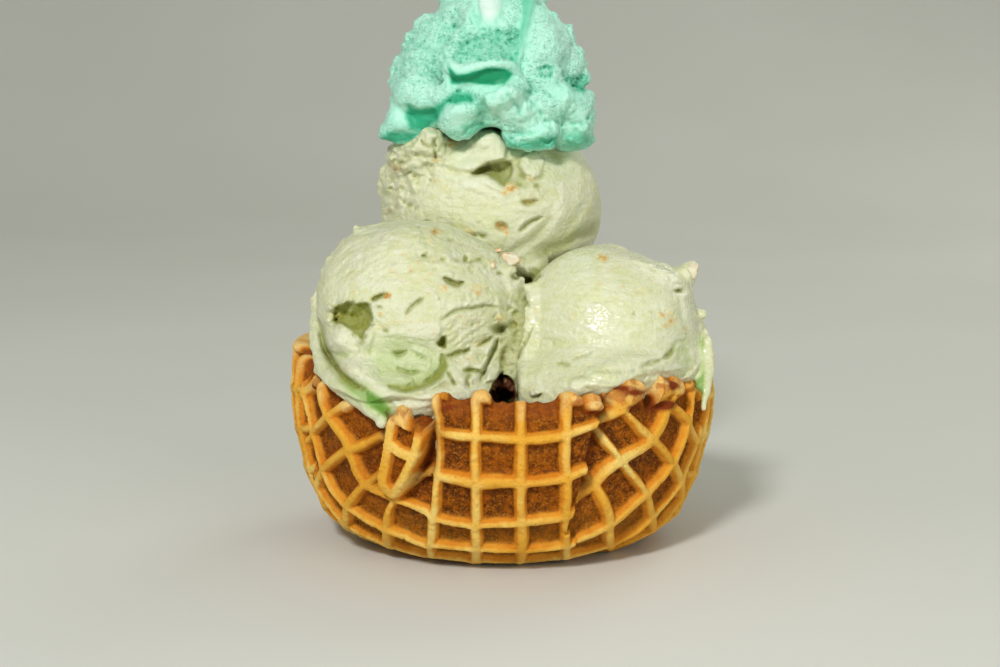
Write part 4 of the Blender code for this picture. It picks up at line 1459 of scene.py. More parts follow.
    # torn, crumbly stretches
    rough = R.mask([(760, 120), (1100, 120), (1480, 300), (1480, 1100), (1250, 1180),
                    (960, 1250), (930, 760), (860, 520), (720, 300)], 90)
    g1, g2 = R.grain(60.0, 1.0), R.grain(24.0, 7.0)
    R.h += rough * (0.42 * g1 + 0.26 * g2)
    slant = R.mask([(950, 800), (1130, 710), (1290, 690), (1330, 800), (1250, 900),
                    (1180, 980), (1000, 1000), (950, 900)], 40)
    st = R.streaks(-28, 22.0, 4.5)
    R.h += slant * (0.55 * st - 0.35)
    pits = R.grain(34.0, 21.0, 2)
    hole = sstep(pits, 0.42, 0.62) * rough
    R.h -= 0.75 * hole
    # painted shade in the pits
    R.painted_shade = np.maximum(R.painted_shade, 0.35 * hole)
    # the deep pit, with painted shade inside and painted light on the lumps round it
    R.patch([(205, 690), (250, 672), (300, 655), (330, 682), (380, 664), (430, 672),
             (452, 720), (466, 780), (440, 832), (404, 868), (392, 930), (368, 912),
             (340, 880), (300, 840), (250, 812), (215, 815), (188, 780), (198, 730)],
            h=-1.9, edge=15, bowl=-2.4, painted_shade=1.0, soft=12)
    frayed(R, [(188, 780), (198, 730), (205, 690), (250, 672), (300, 655), (330, 682),
               (380, 664), (430, 672), (452, 720), (466, 780), (440, 832), (404, 868),
               (392, 930), (368, 912), (340, 880), (300, 840), (250, 812), (215, 815),
               (188, 780)], 19, 1.1, 3, painted_shade=0.8, pale_and_painted_light=0.3)
    scatter(R, [(230, 700), (330, 690), (430, 700), (440, 780), (400, 860), (330, 860),
                (240, 790)], 34, (12, 22), (-0.9, 1.0), 61, painted_shade=0.4)
    R.dab(292, 682, 26, 22, h=-0.7, painted_shade=1.0)
    for x, y, r, h in ((178, 702, 32, 1.3), (156, 786, 30, 1.1), (216, 760, 20, 0.9),
                       (232, 806, 18, 0.9), (205, 826, 16, 0.7)):
        R.dab(x, y, r, r * 0.85, h=h, pale_and_painted_light=0.7, flat=1.4)
    R.dab(262, 730, 26, 50, h=-0.3, turn=10, painted_shade=1.0)
    # painted shade down the seam between the front scoops
    R.patch([(1325, 1010), (1395, 700), (1470, 560), (1500, 600), (1496, 900), (1455, 1190),
             (1340, 1190)], painted_shade=0.5, soft=28)
    R.dab(350, 850, 26, 30, h=0.7, turn=30)
    R.dab(210, 792, 17, h=-2.2, painted_shade=1.0)
    R.dab(330, 850, 34, 26, h=1.4, turn=30)
    R.stroke([(196, 700), (250, 668), (318, 650)], 15, 0.8, pale_and_painted_light=0.3)
    R.dab(175, 700, 26, 22, h=0.9, pale_and_painted_light=0.6)
    R.dab(150, 790, 24, 30, h=0.7, pale_and_painted_light=0.5)
    R.stroke([(448, 652), (500, 628), (572, 604)], 13, -2.2, painted_shade=1.0)
    R.dab(562, 618, 30, 24, h=0.7, caramel=1.0, flat=2)
    for x, y, r, h in ((500, 668, 26, .8), (478, 720, 24, .7), (520, 735, 26, .9),
                       (548, 690, 18, .6), (505, 775, 20, .5), (462, 690, 18, .5)):
        R.dab(x, y, r, h=h, pale_and_painted_light=0.4)
    R.stroke([(470, 700), (505, 700), (530, 712)], 7, -0.7, painted_shade=0.6)
    R.dab(512, 745, 20, caramel=0.6, h=0.0)
    R.dab(552, 852, 20, 15, h=-1.2, painted_shade=0.7)
    # grooves and dents with painted shade
    R.stroke([(678, 752), (735, 692), (806, 636)], 13, -1.6, painted_shade=0.75)
    R.stroke([(650, 770), (700, 730), (770, 640)], 16, 0.35, pale_and_painted_light=0.3)
    R.stroke([(940, 498), (985, 525), (1030, 540), (1082, 522)], 18, -2.4, painted_shade=1.0)
    for x, y, rx, ry, d in ((815, 352, 20, 12, 1.6), (884, 186, 13, 11, 1.2),
                            (1112, 205, 16, 12, 1.3), (1205, 210, 20, 15, 1.7),
                            (1040, 374, 22, 12, 1.0), (1096, 370, 17, 20, 1.7),
                            (1140, 386, 20, 14, 1.2), (1190, 380, 20, 12, 1.0),
                            (930, 372, 30, 14, 0.8), (720, 446, 14, 10, 0.8),
                            (604, 395, 30, 9, 0.5), (995, 240, 26, 12, 0.9),
                            (1180, 120, 14, 9, 0.6), (840, 116, 14, 9, 0.5),
                            (1325, 465, 26, 12, 1.2), (515, 225, 14, 14, 0.4),
                            (1070, 268, 16, 10, 0.6), (905, 300, 10, 8, 0.5)):
        R.dab(x, y, rx, ry, h=-d, painted_shade=min(1.0, 0.55 * d))
    for x, y, r, c in ((900, 182, 62, .55), (1150, 190, 52, .6), (1165, 560, 44, .7),
                       (940, 566, 34, .7), (592, 450, 40, .35), (640, 258, 36, .3),
                       (620, 560, 30, .25), (1335, 775, 32, .9), (1120, 1040, 26, .7),
                       (1330, 120, 34, .5), (720, 850, 30, .3), (780, 520, 30, .25),
                       (470, 400, 50, .2), (1270, 395, 30, .7), (620, 480, 30, .3),
                       (1180, 600, 26, .6), (330, 600, 26, .45), (650, 900, 26, .3)):
        R.dab(x, y, r, r * 0.75, caramel=c)
    # smooth drawn patch and its arc, the arc with painted light
    R.stroke([(812, 560), (872, 592), (905, 640), (926, 690)], 13, 0.5, pale_and_painted_light=0.8)
    R.stroke([(720, 560), (790, 600), (840, 680)], 10, -0.3)
    # the shelf above the slanting rough area, painted shade below its edge, painted light along it
    R.stroke([(930, 785), (1000, 735), (1060, 712), (1140, 706), (1210, 690), (1290, 688)],
             13, -1.3, painted_shade=0.6)
    R.stroke([(940, 748), (1010, 700), (1130, 680), (1280, 668)], 16, 0.4, pale_and_painted_light=0.3)
    # lobe with painted light, and the notch beside it with painted shade
    R.patch([(560, 890), (640, 838), (760, 800), (900, 790), (950, 815), (935, 880),
             (890, 925), (800, 925), (690, 905)], h=0.7, edge=20, pale_and_painted_light=0.8, soft=30)
    R.patch([(892, 948), (930, 902), (962, 888), (968, 930), (962, 978), (920, 972)],
            h=-2.2, edge=13, bowl=-1.5, painted_shade=1.0, soft=12)
    R.stroke([(560, 800), (700, 800), (860, 790)], 12, 0.25, caramel=0.3)
    # round recess, greener, with painted shade in its crescent and cracks and painted light on its
    # bumps
    ring = [(440, 1050), (470, 960), (560, 905), (680, 900), (820, 930), (900, 970),
            (955, 1010), (972, 1080), (955, 1150), (900, 1215), (800, 1255),
            (690, 1278), (590, 1270), (520, 1215), (465, 1140)]
    R.patch(ring, h=-0.45, edge=60, bowl=-1.1, green=0.62, soft=60)
    R.patch([(205, 700), (262, 680), (270, 760), (250, 820), (196, 830), (170, 790),
             (190, 740)], painted_shade=0.7, soft=20)
    R.h += R.mask(ring, 40) * (0.26 * g1 + 0.26 * g2)
    scatter(R, [(560, 1000), (700, 960), (860, 1010), (890, 1100), (800, 1200), (640, 1220),
                (560, 1120)], 46, (13, 24), (-0.5, 0.5), 62, pale_and_painted_light=0.2)
    for k, amp in ((0.05, 0.16), (0.22, -0.14), (0.40, 0.16), (0.58, -0.12)):
        ang = np.radians(np.linspace(250 + 60 * k, 420 - 90 * k, 7))
        R.stroke([(710 + (245 - 245 * k) * math.cos(t), 1085 + (172 - 172 * k) * math.sin(t))
                  for t in ang], 13, amp, pale_and_painted_light=0.35 if amp > 0 else 0.0,
                 green=0.35 if amp < 0 else 0.0)
    frayed(R, [(600, 1000), (660, 1015), (760, 1000), (850, 1045), (860, 1110), (780, 1190),
               (660, 1200), (600, 1120)], 17, 0.5, 5, every=30, pale_and_painted_light=0.3)
    R.stroke([(930, 1020), (946, 1100), (900, 1172), (805, 1228), (690, 1256), (570, 1236)],
             27, -1.9, painted_shade=1.0, green=0.8)
    R.stroke([(890, 1080), (850, 1150), (760, 1200), (660, 1222)], 22, -0.5, green=0.9)
    R.stroke([(975, 1010), (988, 1100), (950, 1185), (850, 1255), (700, 1292), (570, 1275)],
             18, 0.7, pale_and_painted_light=0.4)
    R.stroke([(900, 1010), (905, 1090), (850, 1165), (790, 1196)], 12, 0.45)
    R.stroke([(590, 998), (640, 1022), (700, 990)], 14, -1.1, painted_shade=0.5, green=1.0)
    R.stroke([(745, 985), (800, 1010), (850, 1030)], 9, 0.5, pale_and_painted_light=0.5)
    R.stroke([(760, 1030), (820, 1050), (870, 1080)], 9, -0.6, green=1.0)
    R.stroke([(632, 1112), (680, 1130), (720, 1145), (780, 1128)], 15, -1.2, painted_shade=0.5,
             green=1.0)
    for x, y, r, h in ((700, 1090, 16, .6), (740, 1105, 14, .6), (770, 1150, 18, .6),
                       (650, 1170, 16, .6), (690, 1215, 18, .7), (720, 1195, 16, .5),
                       (660, 1060, 16, .4), (800, 1100, 15, .4), (835, 1070, 14, .4),
                       (610, 1060, 18, .35), (740, 1240, 14, .4)):
        R.dab(x, y, r, h=h, pale_and_painted_light=0.3)
    R.stroke([(440, 1010), (470, 960), (540, 920), (640, 905)], 30, -0.2, green=0.4)
    R.stroke([(470, 1090), (520, 1170), (580, 1230)], 30, -0.25, green=0.4)
    # smooth lumps at the lower left with painted light, and the creases between them with painted
    # shade
    for x, y, rx, ry, h, t in ((240, 925, 95, 78, 1.6, 40), (310, 1108, 92, 70, 1.5, 30),
                               (420, 880, 62, 72, 1.2, 0), (425, 1110, 78, 90, 0.9, 0),
                               (330, 1010, 60, 46, 0.8, 20), (480, 1250, 70, 60, 0.7, 30),
                               (410, 960, 50, 50, 0.6, 0)):
        R.dab(x, y, rx, ry, h=h, turn=t, pale_and_painted_light=0.7, flat=1.3)
    R.stroke([(160, 990), (230, 1030), (300, 1040), (380, 1000)], 15, -0.6)
    R.stroke([(240, 1060), (220, 1110), (260, 1180)], 12, -0.5)
    R.stroke([(350, 930), (370, 1000), (390, 1060)], 10, -0.5)
    R.stroke([(395, 1010), (380, 1090), (400, 1180)], 9, -0.35)
    R.stroke([(455, 840), (480, 900), (450, 980), (440, 1060)], 12, -0.5, green=0.3)
    # crease between the ball and its skirt: painted shade, olive along the crease and dark green over
    # the skirt's shaded band; painted light on the lumps above
    R.stroke([(90, 780), (108, 880), (136, 970), (180, 1060), (232, 1130)], 20, -2.1,
             taper=0.2, painted_shade=1.05)
    R.stroke([(205, 1090), (270, 1165), (340, 1225), (410, 1262)], 16, -1.7, taper=0.2,
             painted_shade=1.1)
    R.stroke([(215, 1150), (290, 1230), (370, 1295), (450, 1350), (520, 1400)], 34, -0.55,
             taper=0.3)
    R.patch([(112, 950), (170, 1050), (240, 1130), (330, 1200), (330, 1262), (235, 1195),
             (150, 1110), (96, 1000)], painted_shade=0.6, soft=24)
    R.patch([(262, 1170), (330, 1205), (430, 1228), (470, 1320), (400, 1362), (300, 1280),
             (240, 1210)], green=1.22, edge=30, soft=34)
    R.patch([(400, 1222), (510, 1290), (590, 1380), (592, 1440), (545, 1452), (470, 1412),
             (400, 1350)], green=1.75, edge=30, soft=40)
    for x, y, rx, ry, h in ((220, 935, 62, 52, 1.3), (318, 1105, 84, 52, 1.3),
                            (420, 1180, 60, 36, 0.8), (400, 980, 30, 60, 0.5)):
        R.dab(x, y, rx, ry, h=h, pale_and_painted_light=0.8, turn=20)
    R.stroke([(200, 1030), (270, 1020), (330, 990)], 15, -0.6, green=0.4)
    R.stroke([(420, 930), (408, 1000), (420, 1080)], 13, -0.5, green=0.3)
    R.dab(115, 885, 22, h=-1.4, painted_shade=1.0)
    # slab at the front over the rim, with painted light on it and painted shade along its upper edge
    R.stroke([(590, 1290), (700, 1300), (800, 1282), (880, 1250), (960, 1225), (1060, 1215)],
             13, -0.55, painted_shade=0.35)
    R.patch([(590, 1320), (760, 1310), (900, 1262), (1060, 1250), (1170, 1240), (1130, 1330),
             (980, 1360), (780, 1400), (620, 1420)], h=0.8, edge=26, pale_and_painted_light=0.9, soft=30)
    # bumps at the lower right with painted light, and painted shade in the creases between them
    for x, y, rx, ry, h in ((1030, 1165, 50, 40, 1.5), (1105, 1085, 46, 34, 1.3),
                            (1190, 1095, 48, 40, 1.1), (1090, 1190, 44, 30, 1.1),
                            (1160, 1175, 40, 34, 1.0), (1235, 1000, 40, 46, 0.9),
                            (1010, 1100, 30, 26, 0.9), (1140, 1010, 36, 22, 0.6),
                            (1060, 1235, 50, 26, .7)):
        R.dab(x, y, rx, ry, h=h, pale_and_painted_light=0.8, turn=-25)
    for pts, w, d in (([(958, 1042), (1040, 1008), (1125, 985)], 14, 1.3),
                      ([(1130, 1148), (1100, 1205), (1120, 1240)], 11, 1.0),
                      ([(1075, 1130), (1150, 1128), (1230, 1150)], 11, 0.9),
                      ([(970, 1130), (1010, 1210), (1030, 1230)], 11, 0.8),
                      ([(1180, 960), (1230, 930), (1280, 900)], 12, 1.0)):
        R.stroke(pts, w, -1.35 * d, painted_shade=0.95)
    # torn right side, with painted shade in its hollows and a dark patch of painted shade at the gap
    # below
    R.dab(1325, 850, 44, 36, h=-3.6, painted_shade=1.0, flat=1.5)
    R.dab(1402, 822, 30, 26, h=-1.3, painted_shade=1.0, flat=1.5)
    scatter(R, [(1290, 560), (1480, 540), (1490, 760), (1440, 1180), (1250, 1190),
                (1280, 900)], 70, (13, 24), (-0.9, 0.8), 11, painted_shade=0.25)
    R.dab(1372, 800, 20, 16, h=1.2, pale_and_painted_light=0.5)
    R.dab(1335, 770, 30, 26, h=0.9, flat=1.5)
    R.dab(1430, 492, 30, 24, h=-1.8, painted_shade=1.0, flat=1.5)
    R.dab(1420, 745, 20, h=-0.9, painted_shade=1.0)
    R.dab(1395, 700, 20, h=-1.2, painted_shade=0.8)
    R.stroke([(1470, 590), (1455, 690), (1420, 760), (1440, 860), (1430, 960)], 15, -0.6,
             painted_shade=0.9)
    R.patch([(1440, 560), (1560, 560), (1530, 900), (1460, 1180), (1330, 1190), (1350, 980),
             (1400, 860)], painted_shade=0.55, soft=30)
    scatter(R, [(1440, 560), (1550, 560), (1530, 900), (1470, 1100), (1400, 1100)], 50,
            (13, 24), (-0.9, 0.8), 63, painted_shade=0.4)
    R.patch([(1275, 1230), (1300, 1195), (1345, 1180), (1395, 1190), (1425, 1240),
             (1440, 1370), (1268, 1370)], painted_shade=2.2, soft=9)
    R.stroke([(1320, 905), (1290, 980), (1255, 1050), (1225, 1130), (1195, 1205)], 13, -1.8,
             painted_shade=0.8)
    R.stroke([(1290, 905), (1262, 990), (1225, 1060), (1185, 1130)], 15, 1.0, pale_and_painted_light=0.9)
    R.patch([(1275, 1100), (1320, 1075), (1338, 1110), (1325, 1170), (1280, 1200),
             (1225, 1215), (1240, 1150)], h=1.2, edge=12, pale_and_painted_light=1.0)
    R.stroke([(1370, 960), (1350, 1040), (1345, 1130)], 22, -1.0, painted_shade=0.9)
    R.stroke([(1300, 620), (1330, 690), (1310, 760)], 14, 0.5, pale_and_painted_light=0.2)
    R.dab(1440, 560, 26, 30, h=0.7, pale_and_painted_light=0.6)
    R.dab(1330, 560, 60, 80, h=0.4)
    # crumbs along the upper right edge
    for x, y, r, h in ((1275, 390, 20, .9), (1300, 350, 18, .6), (1320, 308, 18, .7),
                       (1262, 420, 14, .5), (1230, 330, 20, .4)):
        R.dab(x, y, r, h=h)
    R.dab(1276, 392, 24, 20, caramel=0.9)
    R.dab(1318, 308, 24, 18, caramel=0.7)

    # the far side: dragged bands, torn in places
    back = vol.weave(9.0, 7, (1.6, 1.6, 0.5))
    patchy = vol.weave(15.0, 8)
    crumb = vol.weave(2.6, 9) + 0.6 * vol.weave(1.3, 10)
    small = vol.weave(3.4, 12) + 0.5 * vol.weave(1.6, 13)

    def extra(x, y, z, w, px, py):
        tear = sstep(patchy[vol.at], 0.0, 0.35)
        far = (0.50 * back[vol.at] + tear * (0.55 * crumb[vol.at] - 0.2)) * (1 - w)
        return far + w * 0.10 * small[vol.at]
    apply_relief(vol, R, LEFT_C, LEFT_R, extra=extra)
    vol.blob(on_ball(510, 260.5, LEFT_C, LEFT_R, -1.0), (3.2, 2.6, 2.2), -1, 0.8)

    # small teat on the outline
    vol.blob(on_ball(355.8, 229.5, LEFT_C, (30.2, 28, 28.6), 0.0), (0.9, 1.0, 1.3), 1, 0.6)

    def fine(v, n):
        return (0.075 * NOISE(v[:, 0] / 1.5, v[:, 1] / 1.5, v[:, 2] / 1.5)
                + 0.05 * NOISE2(v[:, 0] / 0.9, v[:, 1] / 0.9, v[:, 2] / 0.9))
    return skin("ice_left", vol, R, LEFT_C, LEFT_R, fine, hidden=unseen_front)


def build_right():
    vol = Volume(spaced([(-2, 64, H)]), spaced([(-56, -6, H), (-6, 11, 0.62)]),
                 spaced([(5, 38, 1.3), (38, 90, H)]))
    ball = vol.ball(RIGHT_C, RIGHT_R)
    mound = vol.ball((25.0, -17.0, 36.0), (23.0, 35.0, 29.0))
    cx, cy, cz = ((vol.X - RIGHT_C[0]) / 26, (vol.Y - RIGHT_C[1]) / 26,
                  (vol.Z - RIGHT_C[2]) / 26)
    for (dx, dy, dz), amount, tight in (((0.80, -0.1, 0.62), 0.3, 5.0),
                                        ((0.35, 0.0, 0.95), -1.4, 6.0),
                                        ((-0.2, 0.0, 1.0), 0.3, 5.0),
                                        ((1.0, 0.0, 0.1), -1.9, 5.0)):
        ball = ball - amount * np.exp(-tight * ((cx - dx) ** 2 + (cy - dy) ** 2 + (cz - dz) ** 2))
    fill = vol.ball((28.0, -18.0, 46.5), (31.0, 36.0, 15.0))
    vol.F = smin(smin(ball, mound, 1.5), fill, 3.5).astype(f32)
    vol.rope([(5.5, -19.0, 74.0), (5.0, -21.5, 66.0), (5.0, -23.0, 58.0), (5.5, -24.5, 50.0)],
             (2.5, 3.8, 4.0, 4.0), 1, 2.5, rough=0.5)
    # full on the right, down to the rim
    vol.rope([unproject(689, 320, -14), unproject(691, 338, -15), unproject(692, 355, -17),
              unproject(691, 370, -19), unproject(688, 382, -22)], (3.0, 4.2, 4.8, 4.8, 4.4),
             1, 3.0, rough=0.2)
    # shoulder and horn at the upper right
    vol.blob(unproject(664, 293, -13.0), (7.4, 10.0, 6.0), 1, 4.0)
    vol.rope([unproject(640, 270, -12), unproject(658, 278, -13), unproject(674, 277, -13.5),
              unproject(685, 274, -14), unproject(690.5, 270.5, -14)],
             (3.0, 3.2, 3.7, 3.6, 2.7), 1, 2.0)
    vol.rope([unproject(683, 275, -12), unproject(682.5, 288, -11), unproject(684.5, 302, -11),
              unproject(687.5, 318, -11.5), unproject(690, 340, -12)],
             (3.0, 2.3, 2.3, 2.4, 2.6), 1, 3.0)
    vol.rope([unproject(610, 252.5, -10), unproject(618, 254, -11)], (2.1, 2.1), 1, 2.5)
    vol.F += (-0.6 * vol.weave(12.0, 31) - 0.18 * vol.weave(6.0, 32)).astype(f32)
    inner = room(vol, 3.6)
    vol.F = smax(vol.F, inner.astype(f32), 1.2)
    vol.F = smax(vol.F, (-plane(vol, N_LR, O_LR) - 0.7).astype(f32), 0.9)
    vol.F = smax(vol.F, (plane(vol, N_RT, O_RT) - 0.6).astype(f32), 1.0)
    vol.F = smax(vol.F, (vol.Y - 8.0) + 0 * vol.F, 1.0)
    # its left border closes up to the seam
    vol.rope([unproject(534, 286, -19.5), unproject(532.5, 300, -22.5),
              unproject(531.5, 316, -24.5), unproject(530, 334, -26.5),
              unproject(527, 350, -28.5), unproject(524.5, 364, -30.0)],
             (1.8, 2.6, 2.9, 3.0, 3.0, 2.4), 1, 2.2, rough=0.35)
    # it lies on the rim all along
    vol.rope([on_wall(572, 391, 50.0), on_wall(590, 386, 50.0), on_wall(612, 383, 50.5),
              on_wall(633, 384, 51.0), on_wall(650, 386, 51.3), on_wall(668, 383, 51.5),
              on_wall(679, 378, 51.6), on_wall(686, 370, 52.4)],
             (3.2, 3.9, 4.2, 4.2, 4.2, 4.0, 3.3, 2.4), 1, 3.0, rough=0.2)
    vol.rope([on_wall(578, 389, 53.6), on_wall(590, 385, 54.0), on_wall(600, 386, 54.2),
              on_wall(612, 379, 54.4), on_wall(624, 371, 54.4), on_wall(637, 371, 54.4),
              on_wall(650, 377, 54.2), on_wall(660, 368, 54.4), on_wall(670, 366, 54.4),
              on_wall(679, 370, 54.4), on_wall(686, 374, 54.4)],
             (2.0, 2.3, 2.3, 2.3, 2.3, 2.3, 2.3, 2.3, 2.3, 2.2, 1.9), 1, 2.6, rough=0.3)
    vol.rope([on_wall(600, 379, 54.6), on_wall(614, 375, 55.1), on_wall(630, 370, 55.2),
              on_wall(647, 370, 55.2), on_wall(662, 367, 55.2), on_wall(675, 368, 55.3),
              on_wall(686, 371, 55.5), on_wall(694, 373, 56.0)],
             (2.6, 3.0, 3.0, 3.0, 3.0, 3.0, 2.9, 2.3), 1, 3.0, rough=0.2)
    near_rim = sstep(vol.Z, 66.0, 57.0)
    vol.F = smax(vol.F, (np.hypot(vol.X, vol.Y) - 58.6 - 5.0 * (1 - near_rim)).astype(f32),
                 1.6)
    # the gap between the front scoops, above the bowl
    vol.blob(GAP_C, GAP_R, -1, 1.2, rough=0.5)

    R = Relief(500, 235, 6.969, 1568, 1300, 22)
    # painted shade: dark over the gap between the front scoops
    R.patch([(-60, 1040), (-20, 1000), (50, 990), (95, 1030), (112, 1190), (-60, 1190)],
            painted_shade=2.2, soft=9)
    s1, s2 = R.streaks(4, 26.0, 6.0), R.streaks(-8, 14.0, 7.0, 9.0)
    R.h += 0.10 * s1 + 0.05 * s2
    lower = R.mask([(330, 880), (640, 830), (980, 900), (1180, 840), (1300, 900),
                    (1300, 1060), (900, 1060), (480, 1010)], 60)
    g1, g2 = R.grain(52.0, 1.0), R.grain(22.0, 7.0)
    R.h += lower * (0.34 * g1 + 0.22 * g2)
    left_edge = R.mask([(0, 230), (200, 230), (260, 480), (230, 700), (120, 900), (0, 900)], 40)
    R.h += left_edge * (0.5 * g1 + 0.32 * g2)
    upper = R.mask([(350, 240), (700, 120), (1100, 240), (1300, 380), (1320, 640),
                    (1050, 680), (860, 460), (640, 330)], 60)
    R.h += upper * (0.14 * g1 + 0.10 * g2)
    # wet shine: tiny wavelets that catch the light
    wet = R.mask([(470, 540), (640, 470), (860, 540), (900, 660), (820, 760), (600, 760),
                  (480, 680)], 30)
    R.h += wet * 0.34 * R.grain(26.0, 31.0, 2)
    scatter(R, [(240, 420), (700, 130), (1180, 330), (1340, 700), (1250, 1000), (500, 1020),
                (150, 1000), (200, 700)], 120, (12, 22), (-0.22, 0.22), 15)
    scatter(R, [(0, 250), (120, 290), (240, 470), (200, 700), (60, 1060), (0, 1060)], 60,
            (12, 24), (-0.8, 0.8), 16, painted_shade=0.2)
    scatter(R, [(300, 880), (900, 860), (1250, 850), (1330, 1000), (800, 1060), (200, 1130)],
            90, (12, 22), (-0.45, 0.45), 17, pale_and_painted_light=0.15)
    # painted highlight: pale strokes over the wet shine
    for pts, w, h in (([(640, 500), (690, 480), (740, 520), (780, 560)], 10, .35),
                      ([(540, 600), (600, 640), (700, 690), (790, 720)], 14, .28),
                      ([(830, 560), (850, 590)], 10, .3),
                      ([(430, 800), (560, 790), (700, 806)], 9, .42),
                      ([(260, 706), (400, 700), (560, 712), (760, 700)], 9, .2),
                      ([(500, 770), (620, 772), (760, 760)], 8, .2)):
        R.stroke(pts, w, h, pale_and_painted_light=0.6)
    # left border: pits and runs with painted shade, lumps and a flap with painted light
    R.dab(100, 292, 30, 24, h=-1.6, painted_shade=1.0, flat=1.4)
    R.patch([(120, 315), (200, 300), (310, 272), (250, 330), (180, 350)], h=-1.1, edge=12,
            painted_shade=1.0)
    R.dab(176, 472, 30, 14, h=-1.5, painted_shade=1.0)
    R.dab(150, 400, 20, 28, h=-1.0, painted_shade=0.9)
    R.stroke([(96, 500), (74, 560), (66, 640), (60, 720)], 16, -0.5, painted_shade=0.9)
    R.patch([(60, 480), (130, 480), (150, 620), (140, 760), (90, 960), (0, 1060), (0, 600)],
            painted_shade=0.5, soft=30)
    R.stroke([(226, 655), (185, 735), (150, 790), (112, 880)], 10, -0.9, painted_shade=0.7)
    R.stroke([(250, 640), (205, 730), (160, 800)], 13, 0.5, pale_and_painted_light=0.5)
    for x, y, r, h in ((215, 430, 26, .5), (250, 490, 34, .6), (200, 560, 30, .5),
                       (160, 620, 24, .4), (230, 380, 20, .4), (270, 560, 30, .3)):
        R.dab(x, y, r, h=h, pale_and_painted_light=0.5)
    R.stroke([(200, 760), (170, 880), (150, 1000), (140, 1100)], 24, 0.4, pale_and_painted_light=0.3)
    R.stroke([(260, 800), (250, 900), (230, 1010)], 20, -0.3)
    R.patch([(205, 1085), (250, 1075), (290, 1095), (262, 1120), (230, 1142), (210, 1120)],
            h=1.1, edge=8, pale_and_painted_light=1.0)
    R.stroke([(215, 1140), (255, 1125), (292, 1098)], 9, -1.0, painted_shade=0.8)
    # strokes and dints with painted shade; painted light on the ridges, dark green painted shade in
    # the groove behind the right skirt
    R.stroke([(395, 890), (440, 896), (485, 908)], 15, -0.9, painted_shade=0.55)
    R.stroke([(500, 862), (560, 845), (630, 818)], 12, -0.6, painted_shade=0.35)
    R.stroke([(480, 1000), (560, 985), (640, 1012), (700, 1030), (770, 1040)], 11, -0.5,
             painted_shade=0.3)
    R.stroke([(640, 950), (760, 948), (860, 962), (950, 944)], 13, -0.45, painted_shade=0.3)
    R.dab(1245, 386, 36, 13, h=-1.5, painted_shade=0.9)
    R.stroke([(1205, 372), (1245, 366), (1285, 372)], 12, 0.5, pale_and_painted_light=0.5)
    R.dab(935, 546, 13, h=-0.7, painted_shade=0.6)
    R.dab(370, 750, 12, h=-0.6, painted_shade=0.5)
    R.dab(1045, 320, 24, 12, h=-0.4, caramel=0.3)
    R.stroke([(1145, 862), (1180, 838), (1212, 795)], 15, -1.1, painted_shade=0.9)
    R.stroke([(985, 918), (1060, 890), (1140, 868)], 14, -0.9, painted_shade=0.4)
    R.stroke([(1195, 800), (1240, 745), (1290, 735)], 14, -0.6, green=0.5)
    R.patch([(1215, 790), (1280, 745), (1330, 800), (1345, 900), (1300, 960), (1240, 900)],
            h=-0.5, edge=26, green=0.45)
    R.stroke([(1010, 905), (1090, 935), (1200, 940), (1330, 900)], 20, 0.4, pale_and_painted_light=0.3)
    R.stroke([(1260, 1010), (1320, 985), (1370, 930), (1400, 870)], 16, 0.9, pale_and_painted_light=0.8)
    R.dab(1320, 1000, 30, 26, h=0.8, pale_and_painted_light=0.7)
    R.patch([(1385, 640), (1425, 740), (1432, 900), (1425, 1100), (1400, 1180), (1340, 1050),
             (1400, 960), (1410, 860), (1392, 740)], green=1.5, soft=16)
    # flowing ridge down the right side, with a painted highlight
    R.stroke([(1190, 320), (1260, 400), (1310, 500), (1345, 620), (1370, 760), (1392, 880)],
             34, 0.35, pale_and_painted_light=0.7)
    R.dab(1205, 322, 42, 34, h=0.6, pale_and_painted_light=0.7)
    R.dab(1300, 430, 40, 30, h=0.5, pale_and_painted_light=0.7)
    R.stroke([(1240, 440), (1270, 560), (1300, 680)], 26, -0.22)
    R.stroke([(1120, 430), (1160, 500), (1240, 560)], 24, 0.3)
    R.stroke([(860, 250), (960, 330), (1060, 420), (1110, 520)], 26, 0.25)
    R.stroke([(1000, 240), (1100, 290), (1180, 300)], 26, -0.35)
    for x, y, r, c in ((715, 156, 36, 1.0), (832, 212, 26, .5), (700, 345, 50, .3),
                       (1125, 560, 26, .9), (1185, 545, 22, 1.0), (1200, 605, 34, .8),
                       (1160, 630, 30, .6), (1300, 650, 26, .5), (860, 360, 30, .35),
                       (1040, 330, 26, .35), (1330, 930, 26, .4), (560, 330, 36, .2),
                       (1000, 620, 30, .2), (760, 250, 30, .3)):
        R.dab(x, y, r, r * 0.75, h=0.12 * c, caramel=c)
    R.dab(1190, 590, 60, 50, h=-0.3)
    # horn, with a painted highlight along it
    R.stroke([(1230, 250), (1290, 270), (1330, 260)], 20, 0.2, pale_and_painted_light=1.0)

    back = vol.weave(9.0, 37, (1.6, 1.6, 0.5))
    patchy = vol.weave(15.0, 38)
    crumb = vol.weave(2.6, 39) + 0.6 * vol.weave(1.3, 40)

    def extra(x, y, z, w, px, py):
        tear = sstep(patchy[vol.at], 0.05, 0.4)
        return (0.40 * back[vol.at] + tear * (0.40 * crumb[vol.at] - 0.2)) * (1 - w)
    apply_relief(vol, R, RIGHT_C, RIGHT_R, extra=extra)

